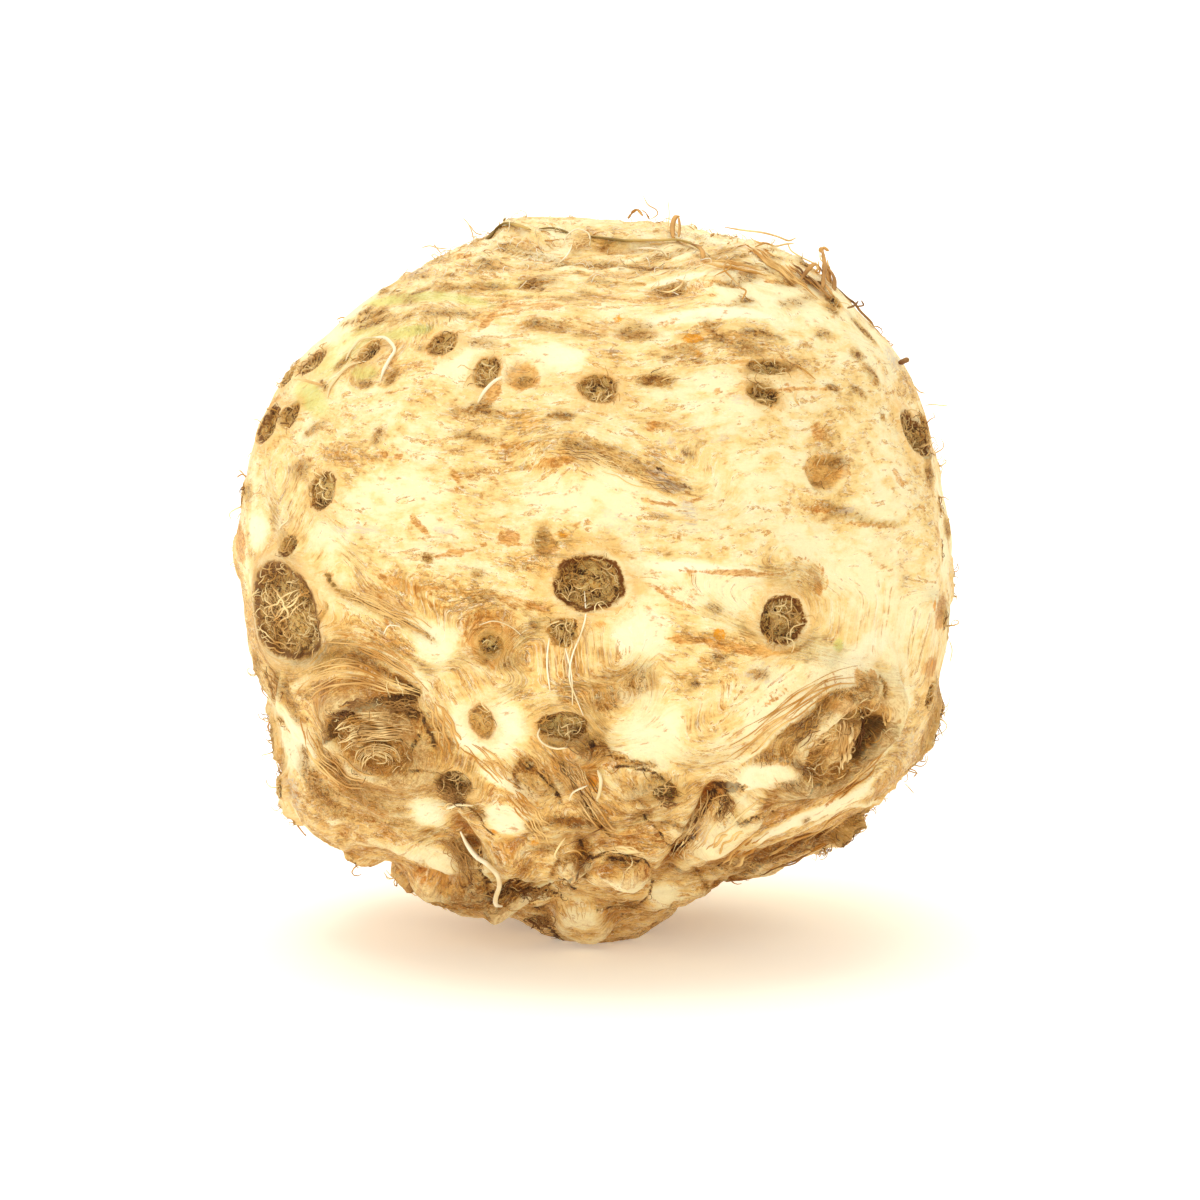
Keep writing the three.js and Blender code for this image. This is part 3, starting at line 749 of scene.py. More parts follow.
@dataclass(frozen=True)
class Unevenness:
    """Slow waves across evenly spread axes, over the whole skin."""

    count: int = 12
    seed: float = 3
    shortest: float = 17
    longest: float = 46
    lift: float = 0.22

    def reach(self, directions: Array) -> Array:
        """The waves' sum in each direction.

        Args:
            directions: Unit directions, one a row.

        Returns:
            Millimetres for each direction.
        """
        total = np.zeros(len(directions))
        for i in range(self.count):
            down = math.degrees(math.acos(1 - 2 * (i + 0.5) / self.count))
            length = self.shortest + (self.longest - self.shortest) * scatter(i, self.seed)
            along = directions @ directions_at([(i * GOLDEN_TURN, down)])[0] * GLOBE_REACH
            total += self.lift * np.sin(2 * math.pi * (along / length + scatter(i, self.seed + 1)))
        return total


@dataclass
class Globe:
    """The whole root's form, as a reach from its middle in every direction."""

    crown: Crown = field(default_factory=Crown)
    strewn: StrewnScars = field(default_factory=StrewnScars)
    stumps: Stumps = field(default_factory=Stumps)
    crevices: RootCrevices = field(default_factory=RootCrevices)
    unevenness: Unevenness = field(default_factory=Unevenness)

    def bosses(self) -> list[Boss]:
        """Every swelling."""
        return BOSSES + self.crown.leaf_bases()

    def scars(self) -> list[Scar]:
        """Every scar and cut end."""
        return SCARS + self.strewn.scars() + self.stumps.cut_ends() + [HEART_PIT]

    def creases(self) -> list[Crease]:
        """Every fold, groove and crevice."""
        return CREASES + STALK_NOTCHES + self.crevices.creases()

    def outline_reach(self, around: Array, down: Array) -> Array:
        """The four side outlines blended round the stem axis.

        Args:
            around: Degrees round from the front.
            down: Degrees down from the crown.

        Returns:
            Millimetres for each direction.
        """
        forward, sideways = np.cos(np.radians(around)), np.sin(np.radians(around))
        facing = np.where(forward > 0, FRONT.reach_at(down), BACK.reach_at(down))
        flank = np.where(sideways > 0, RIGHT.reach_at(down), LEFT.reach_at(down))
        return forward**2 * facing + sideways**2 * flank

    def reach(self, directions: Array) -> Array:
        """Distance from the globe's middle to the skin in each direction, before the flat spot is cut.

        Args:
            directions: Unit directions, one a row.

        Returns:
            Millimetres for each direction.
        """
        around = np.degrees(np.arctan2(directions[:, 0], -directions[:, 1]))
        down = np.degrees(np.arccos(np.clip(directions[:, 2], -1, 1)))
        reach = self.outline_reach(around, down)
        reach += self.unevenness.reach(directions) * smooth_step(0, self.crown.edge_down, down)
        reach += self.crown.ring_reach(around, down)
        for form in [*self.bosses(), *self.scars(), *STUBS, *self.stumps.stubs(), *self.creases(), *LEDGES]:
            form.add_to(reach, directions)
        return reach

    def points(self, directions: Array, reach: Array) -> Array:
        """Skin points in millimetres, cut off level at the flat spot.

        Args:
            directions: Unit directions, one a row.
            reach: Reach in each direction.

        Returns:
            One point for each direction.
        """
        below = np.minimum(directions[:, 2], -1e-9)
        to_flat = np.where(directions[:, 2] < 0, -MIDDLE_HEIGHT / below, np.inf)
        points = directions * np.minimum(reach, to_flat)[:, None]
        points[:, 2] += MIDDLE_HEIGHT
        return points


# ----------------------------------------------------------------------------------------------------------
# The front view, by which marks and strands are placed on the skin
# ----------------------------------------------------------------------------------------------------------


@dataclass(frozen=True)
class FrontView:
    """The front view as a square picture of 1200 pixels, seen from a little above the girth."""

    side: float = 1200.0
    middle: tuple[float, float] = (592.0, 585.0)  # pixel at which the globe's middle shows
    px_per_mm: float = 6.0
    elevation: float = 8.0
    distance: float = 900.0

    def axes(self) -> tuple[Array, Array, Array]:
        """The directions into the view, to its right and to its top.

        Returns:
            Three unit vectors.
        """
        tilt = math.radians(self.elevation)
        into = np.array([0.0, math.cos(tilt), -math.sin(tilt)])
        return into, np.array([1.0, 0.0, 0.0]), np.array([0.0, math.sin(tilt), math.cos(tilt)])

    def eye(self) -> Array:
        """Where the view is seen from, in millimetres."""
        return np.array([0.0, 0.0, MIDDLE_HEIGHT]) - self.axes()[0] * self.distance

    def pixels(self, points: Array) -> tuple[Array, Array]:
        """The pixel at which each point shows.

        Args:
            points: Points, one a row.

        Returns:
            Pixels from the left and from the top.
        """
        into, right, top = self.axes()
        rays = points - self.eye()
        scale = self.px_per_mm * self.distance / (rays @ into)
        return self.middle[0] + rays @ right * scale, self.middle[1] - rays @ top * scale

    def ray(self, px: float, py: float) -> Array:
        """The ray through a pixel, one step of it for each millimetre of depth.

        Args:
            px: Pixels from the left.
            py: Pixels from the top.

        Returns:
            The step as a vector.
        """
        into, right, top = self.axes()
        across = (px - self.middle[0]) / self.px_per_mm / self.distance
        up = (self.middle[1] - py) / self.px_per_mm / self.distance
        return into + across * right + up * top


VIEW = FrontView()


class Mark(Enum):
    """What a mark on the skin is; its value is the channel it is kept in."""

    SCAB = 0
    STAIN = 1
    TAN = 2
    # Dark dirt; in the clefts, the grooves and under the front lip it is partly painted shade.
    DIRT_AND_SHADE = 3
    GREEN = 4
    ORANGE = 5
    SCURF = 6
    PALE = 7


@dataclass(frozen=True)
class Patch(Oval):
    """A mark on the skin: its kind, how strong it is and how much of it is soft edge."""

    kind: Mark
    strength: float = 1.0
    soft: float = 0.5

    def add_mask(self, masks: Array, directions: Array) -> None:
        """Lays the patch into its channel of the masks.

        Args:
            masks: A row for each direction and a column for each kind, changed in place.
            directions: Unit directions, one a row.
        """
        rows = self.near(directions, 0.5 * (1.2 + self.soft))
        if len(rows) == 0:
            return
        q, _ = self.locate(directions[rows])
        value = self.strength * (1 - smooth_step(1 - self.soft, 1 + 0.7 * self.soft, q))
        masks[rows, self.kind.value] = np.maximum(masks[rows, self.kind.value], value)


@dataclass(frozen=True)
class SeenPatch:
    """A mark placed by where it shows in the front view, sized as it shows, in pixels."""

    kind: Mark
    px: float
    py: float
    wide: float
    high: float
    turn: float
    strength: float = 1.0
    soft: float = 0.5


@dataclass(frozen=True)
class SeenLine:
    """A line on the skin placed by the pixels it passes in the front view: its mark, and a ridge or groove."""

    kind: Mark
    wide: float
    strength: float
    lift: float
    along: Pixels


SCAB, STAIN, TAN, DIRT_AND_SHADE = Mark.SCAB, Mark.STAIN, Mark.TAN, Mark.DIRT_AND_SHADE
GREEN, ORANGE, SCURF, PALE = Mark.GREEN, Mark.ORANGE, Mark.SCURF, Mark.PALE

# Every mark of one kind in rows of (px, py, wide, high, turn, strength, soft edge); the last two may be left out.
PATCH_ROWS = {
    SCAB: [
        (486, 260, 12, 4, 5), (506, 246, 12, 6, 0, 0.8), (451, 288, 30, 9, 8, 0.7), (421, 292, 12, 4, 30),
        (417, 276, 22, 5, 15, 0.8), (533, 284, 26, 8, 0), (494, 287, 3, 10, -20, 0.8), (596, 267, 20, 5, 0),
        (560, 266, 18, 6, 5, 0.75), (633, 267, 14, 3, 0, 0.9), (600, 282, 30, 4, -4, 0.6),
        (584, 293, 20, 3, -15, 0.7), (672, 293, 24, 9, -5), (535, 324, 26, 10, 0, 0.75), (582, 334, 18, 6, 0, 0.8),
        (637, 337, 36, 7, -4, 0.8), (668, 357, 14, 4, -4, 0.9), (655, 380, 36, 11, -6), (409, 317, 11, 6, 10),
        (447, 313, 50, 8, 5, 0.65), (370, 325, 26, 6, 25, 0.9), (378, 313, 16, 4, 20, 0.9), (366, 311, 8, 6, 30),
        (419, 292, 14, 5, 30, 0.8), (720, 341, 9, 10, -40), (740, 343, 14, 7, 0, 0.7), (760, 333, 26, 8, -10, 0.7),
        (824, 336, 15, 8, 0, 0.8), (833, 311, 9, 6, -40), (866, 331, 18, 6, -45), (754, 372, 22, 8, 0, 0.9),
        (773, 371, 20, 8, 0), (791, 367, 16, 10, 0, 0.7), (762, 394, 26, 12, -25), (833, 389, 14, 6, -10),
        (858, 391, 16, 5, -35, 0.9), (873, 376, 10, 14, 50, 0.7), (884, 419, 4, 5, 0), (689, 455, 9, 5, -30, 0.9),
        (748, 300, 18, 7, 0), (728, 286, 20, 6, -25, 0.9), (781, 303, 8, 4, 0, 0.8), (805, 298, 14, 6, 0, 0.6),
        (787, 282, 24, 8, -5, 0.75), (742, 257, 12, 4, -10, 0.7), (771, 257, 14, 5, -20, 0.7),
        (925, 446, 12, 16, -50), (660, 258, 40, 6, 0, 0.6), (524, 381, 18, 12, 0, 0.8), (484, 406, 20, 7, 10, 0.9),
        (464, 411, 30, 6, 0, 0.6), (391, 378, 12, 16, -30, 0.85), (366, 384, 18, 9, 0, 0.7), (342, 362, 8, 16, -20),
        (323, 386, 16, 5, -15, 0.8), (315, 429, 24, 10, 25, 0.7), (380, 437, 12, 20, -20, 0.7),
        (299, 470, 24, 18, 0, 0.7), (476, 439, 50, 7, -8, 0.6), (562, 417, 30, 6, 0), (572, 445, 26, 6, -10, 0.8),
        (625, 462, 110, 20, -24, 0.14, 0.9), (668, 487, 40, 9, -8, 0.5), (430, 560, 12, 7, 0),
        (541, 541, 16, 26, 0, 0.6), (478, 575, 16, 9, 0, 0.7), (848, 518, 36, 6, -5, 0.6),
        (836, 464, 22, 12, 0, 0.9), (714, 610, 16, 9, -20, 0.8), (718, 660, 16, 8, 0, 0.9), (696, 686, 10, 6, -10),
        (758, 675, 22, 12, -5, 0.6), (812, 578, 26, 22, -25, 0.25), (490, 652, 22, 22, -40, 0.8),
        (510, 662, 30, 12, 30, 0.6), (534, 625, 6, 4, -20), (640, 680, 40, 30, 0, 0.5),
        (375, 745, 110, 60, -5, 0.55), (340, 770, 80, 40, -30, 0.6), (320, 722, 12, 18, 0, 0.9),
        (304, 755, 10, 16, 0, 0.9), (350, 655, 80, 12, 8, 0.7), (265, 690, 20, 50, 20, 0.6),
        (870, 690, 24, 30, 0, 0.9), (855, 690, 20, 8, 0, 0.7), (930, 730, 20, 60, 10, 0.5),
        (562, 733, 46, 26, 0, 0.9), (592, 750, 34, 26, -20), (528, 767, 24, 18, 0), (530, 790, 50, 26, -30, 0.55),
        (533, 825, 17, 17, 0, 0.9), (575, 822, 60, 16, -5), (583, 850, 20, 26, 0), (545, 850, 36, 10, -10, 0.6),
        (655, 795, 60, 34, -15, 0.6), (665, 797, 20, 14, -30, 1.1), (645, 815, 24, 12, -40, 0.8),
        (792, 790, 18, 26, 0), (805, 800, 24, 14, -20, 0.8), (805, 745, 60, 40, 35, 0.25),
        (812, 768, 30, 20, -20, 0.8), (625, 862, 44, 10, -12), (622, 906, 36, 10, 5), (795, 850, 110, 26, 22),
        (755, 868, 60, 14, 18), (693, 896, 22, 14, 15, 1.2), (722, 884, 34, 8, 5), (470, 905, 60, 24, -15, 0.8),
        (440, 905, 50, 26, -25, 0.7), (515, 890, 60, 10, -3), (478, 815, 14, 18, -40, 1.1),
        (470, 840, 50, 14, -15, 0.8), (873, 793, 26, 16, 25), (857, 822, 16, 14, 0, 0.9),
        (467, 865, 24, 50, -15, 0.6), (440, 735, 20, 60, 25, 0.5), (606, 700, 26, 34, -40, 0.7),
        (815, 718, 70, 14, 38, 0.7), (775, 756, 40, 16, 40, 0.8), (845, 775, 50, 14, 35, 0.8),
        (290, 700, 16, 60, 10, 0.6), (318, 790, 60, 22, -40, 0.7), (365, 800, 60, 16, -15, 0.5),
    ],
    STAIN: [
        (462, 257, 16, 5, 10), (641, 286, 8, 3, 0), (709, 329, 24, 4, -55), (719, 391, 5, 5, 0),
        (654, 427, 16, 11, 0, 0.8), (709, 296, 8, 4, 0), (815, 283, 22, 14, -45), (926, 445, 10, 16, 30),
        (700, 262, 26, 8, -12, 0.8), (620, 258, 44, 8, 4, 0.5), (540, 262, 40, 5, 0, 0.6),
        (440, 272, 40, 6, 20, 0.5), (488, 321, 9, 24, -12), (545, 304, 46, 8, -5, 0.7), (505, 313, 50, 12, 5, 0.6),
        (525, 380, 36, 30, 0, 0.7), (599, 388, 44, 30, 0, 0.6), (494, 395, 14, 26, -25, 0.9),
        (345, 416, 14, 30, 40, 0.5), (554, 462, 36, 9, 5), (510, 448, 60, 8, -5, 0.6), (456, 478, 26, 8, -50, 0.7),
        (399, 457, 5, 5, 0), (383, 455, 5, 5, 0), (420, 528, 34, 8, -40, 0.8), (455, 553, 50, 5, 14, 0.9),
        (510, 540, 26, 20, 0, 0.8), (562, 536, 16, 6, 0), (400, 585, 70, 12, -12, 0.7), (470, 595, 60, 10, 0, 0.5),
        (520, 605, 50, 14, -12, 0.7), (440, 520, 12, 8, 0, 0.6), (870, 525, 60, 4, -10, 0.8),
        (820, 508, 60, 3, -6, 0.8), (828, 470, 44, 28, 0, 0.8), (898, 478, 9, 24, 20, 0.7),
        (818, 433, 24, 20, 0, 0.7), (667, 505, 12, 6, 0), (740, 575, 120, 3, -5, 0.8), (700, 540, 110, 4, -8, 0.5),
        (680, 595, 60, 16, -15, 0.55), (740, 648, 90, 12, -12, 0.9), (776, 650, 60, 6, -8),
        (685, 640, 40, 9, -5, 0.9), (818, 590, 14, 12, -50), (492, 640, 66, 60, 0, 0.75), (600, 625, 8, 8, 0),
        (612, 688, 60, 60, 0, 0.5), (350, 790, 90, 20, -30, 0.8), (483, 722, 26, 36, 0, 0.8),
        (712, 790, 26, 24, 0, 0.9), (590, 775, 20, 30, 10, 0.8), (420, 875, 40, 8, -30), (650, 880, 30, 30, 0, 0.5),
        (772, 803, 24, 16, 0, 0.7), (838, 702, 46, 18, -10, 1), (866, 692, 14, 36, 10, 1.1),
        (800, 724, 50, 12, 38, 0.6), (788, 762, 40, 10, 40, 0.6), (812, 578, 30, 24, -25, 0.5),
    ],
    TAN: [
        (535, 470, 90, 6, -4, 0.6), (300, 690, 30, 60, 10, 0.8), (400, 370, 60, 20, 0, 0.6),
        (340, 455, 60, 26, 0, 0.5), (620, 470, 150, 40, -15, 0.5), (500, 420, 90, 24, 0, 0.6),
        (730, 350, 140, 30, -5, 0.7), (780, 330, 100, 30, 0, 0.5), (540, 560, 80, 40, 0, 0.8),
        (450, 600, 120, 50, -15, 0.9), (570, 690, 30, 120, 0, 0.9), (700, 640, 90, 40, -20, 0.35),
        (370, 640, 130, 60, 0, 0.8), (360, 740, 170, 130, -10, 0.9), (300, 750, 70, 130, 10, 1),
        (690, 735, 120, 60, 0, 0.45), (610, 560, 300, 40, -5, 0.35), (430, 460, 200, 60, 0, 0.3),
        (350, 830, 110, 60, -35, 0.7), (265, 560, 50, 160, 0, 0.35), (890, 600, 80, 240, 5, 0.35),
        (850, 450, 110, 50, 0, 0.3), (600, 610, 200, 20, 0, 0.4), (600, 300, 400, 20, 0, 0.45),
        (470, 300, 160, 50, 15, 0.45), (700, 290, 200, 30, -8, 0.45), (570, 775, 56, 50, -30),
        (640, 835, 90, 40, -20), (718, 842, 30, 74, -60, 0.5), (520, 860, 80, 36, -5, 0.8),
        (765, 808, 50, 30, 10, 0.9), (840, 740, 110, 100, 30, 0.3), (806, 574, 42, 26, -25, 1),
    ],
    # Dark marks: partly dirt, partly painted shade in the clefts and under the front lip.
    DIRT_AND_SHADE: [
        (455, 786, 36, 26, -15, 1.1), (722, 822, 16, 14, 40, 0.6), (728, 787, 26, 16, 20),
        (744, 790, 10, 12, 0, 0.8), (572, 886, 14, 10, 0), (537, 908, 30, 26, 0, 0.7), (660, 925, 80, 20, 10, 0.6),
        (500, 892, 40, 12, -5, 0.9),
    ],
    GREEN: [
        (420, 298, 130, 14, 8, 0.9), (520, 294, 70, 10, 0, 0.5), (400, 335, 60, 14, 10, 0.9),
        (345, 350, 60, 40, 30, 0.6), (310, 398, 50, 22, -10, 0.9), (365, 372, 30, 16, 0, 0.6),
        (505, 285, 60, 12, 5, 0.4), (838, 645, 12, 14, 40, 0.9), (660, 940, 30, 8, 0, 0.3),
    ],
    ORANGE: [
        (694, 341, 24, 10, 0, 1, 0.3), (697, 352, 10, 8, 0, 0.8), (619, 320, 12, 9, 0, 0.7),
        (718, 634, 12, 11, 20, 1.2, 0.25), (563, 536, 12, 6, 0, 0.6), (935, 606, 5, 12, -10, 1.1),
        (933, 665, 6, 12, 10, 0.9), (891, 597, 14, 6, 0, 0.4), (766, 608, 12, 10, 0, 0.4),
        (534, 845, 14, 8, 0, 0.7), (493, 830, 6, 8, 0, 0.9), (592, 787, 8, 18, 20, 0.7),
        (420, 876, 24, 8, -35, 0.5), (850, 698, 22, 8, 0, 0.7), (868, 684, 7, 22, 10, 0.7),
        (812, 714, 26, 6, 35, 0.5),
    ],
    SCURF: [
        (760, 676, 70, 30, 0, 0.6), (445, 530, 30, 10, 0, 0.8), (360, 530, 60, 10, 5), (665, 480, 20, 40, 40, 1.1),
        (690, 515, 14, 40, 10, 1.1), (745, 400, 50, 10, -5, 0.8), (690, 440, 90, 50, 0, 0.5),
        (920, 560, 50, 220, 5, 0.3), (640, 515, 90, 50, 0, 0.5), (600, 350, 50, 6, 0, 0.8),
        (850, 512, 26, 10, 0, 0.8), (640, 500, 14, 12, 0, 0.5), (300, 320, 80, 50, 40, 0.35),
        (724, 802, 10, 26, 0, 0.4), (697, 835, 22, 12, 0, 0.9), (740, 745, 90, 40, 0, 0.4),
    ],
    PALE: [
        (711, 314, 150, 13, -5), (680, 279, 80, 7, -2), (560, 355, 60, 30, 0, 0.8), (590, 500, 110, 50, 0, 0.6),
        (400, 500, 120, 60, 0, 0.45), (330, 560, 50, 70, 20, 0.5), (830, 560, 120, 70, -20, 0.6),
        (885, 590, 90, 220, 5, 0.6), (770, 300, 110, 60, -38, 0.7), (720, 600, 140, 60, -10, 0.5),
        (760, 470, 110, 60, 0, 0.45), (690, 570, 120, 14, -6), (640, 630, 70, 60, 20, 0.8),
        (430, 640, 60, 40, -30, 0.8), (470, 365, 50, 30, 0, 0.7), (720, 400, 70, 50, 0, 0.45),
        (870, 450, 60, 60, 0, 0.5), (620, 260, 60, 8, 0, 0.6), (487, 727, 86, 56, 10, 1, 0.4),
        (512, 785, 70, 16, -28), (505, 822, 44, 40, 0), (428, 812, 40, 30, 0, 1, 0.6),
        (438, 864, 76, 34, -30, 0.7, 0.6), (535, 900, 40, 14, 0, 0.5), (575, 908, 46, 16, -10, 0.5),
        (612, 884, 60, 22, -4, 0.7), (762, 778, 44, 40, 35, 1.1, 0.4), (748, 800, 30, 30, 0, 0.7),
        # The narrow pale patch at the end of this row is painted light that lifts the shade on the tongue lobe's
        # shaded flank.
        (815, 815, 120, 14, 32, 1, 0.4), (720, 845, 50, 40, 45, 0.6), (722, 842, 22, 70, -60, 0.35),
        (655, 735, 80, 70, 0, 0.8, 0.6), (790, 700, 130, 50, 36, 0.7), (896, 715, 30, 100, 0, 0.6),
        (663, 891, 36, 18, 0, 0.8), (570, 871, 26, 12, 20, 0.8, 0.4), (820, 738, 44, 36, 35, 0.8),
        # The first pale patch in this row is painted light that lifts the shade in the hollow above the right boss.
        (862, 660, 100, 34, 25, 0.9), (834, 760, 14, 24, 0, 0.6), (845, 735, 6, 40, 0, 0.7),
    ],
}
SEEN_PATCHES = [SeenPatch(kind, *row) for kind, rows in PATCH_ROWS.items() for row in rows]

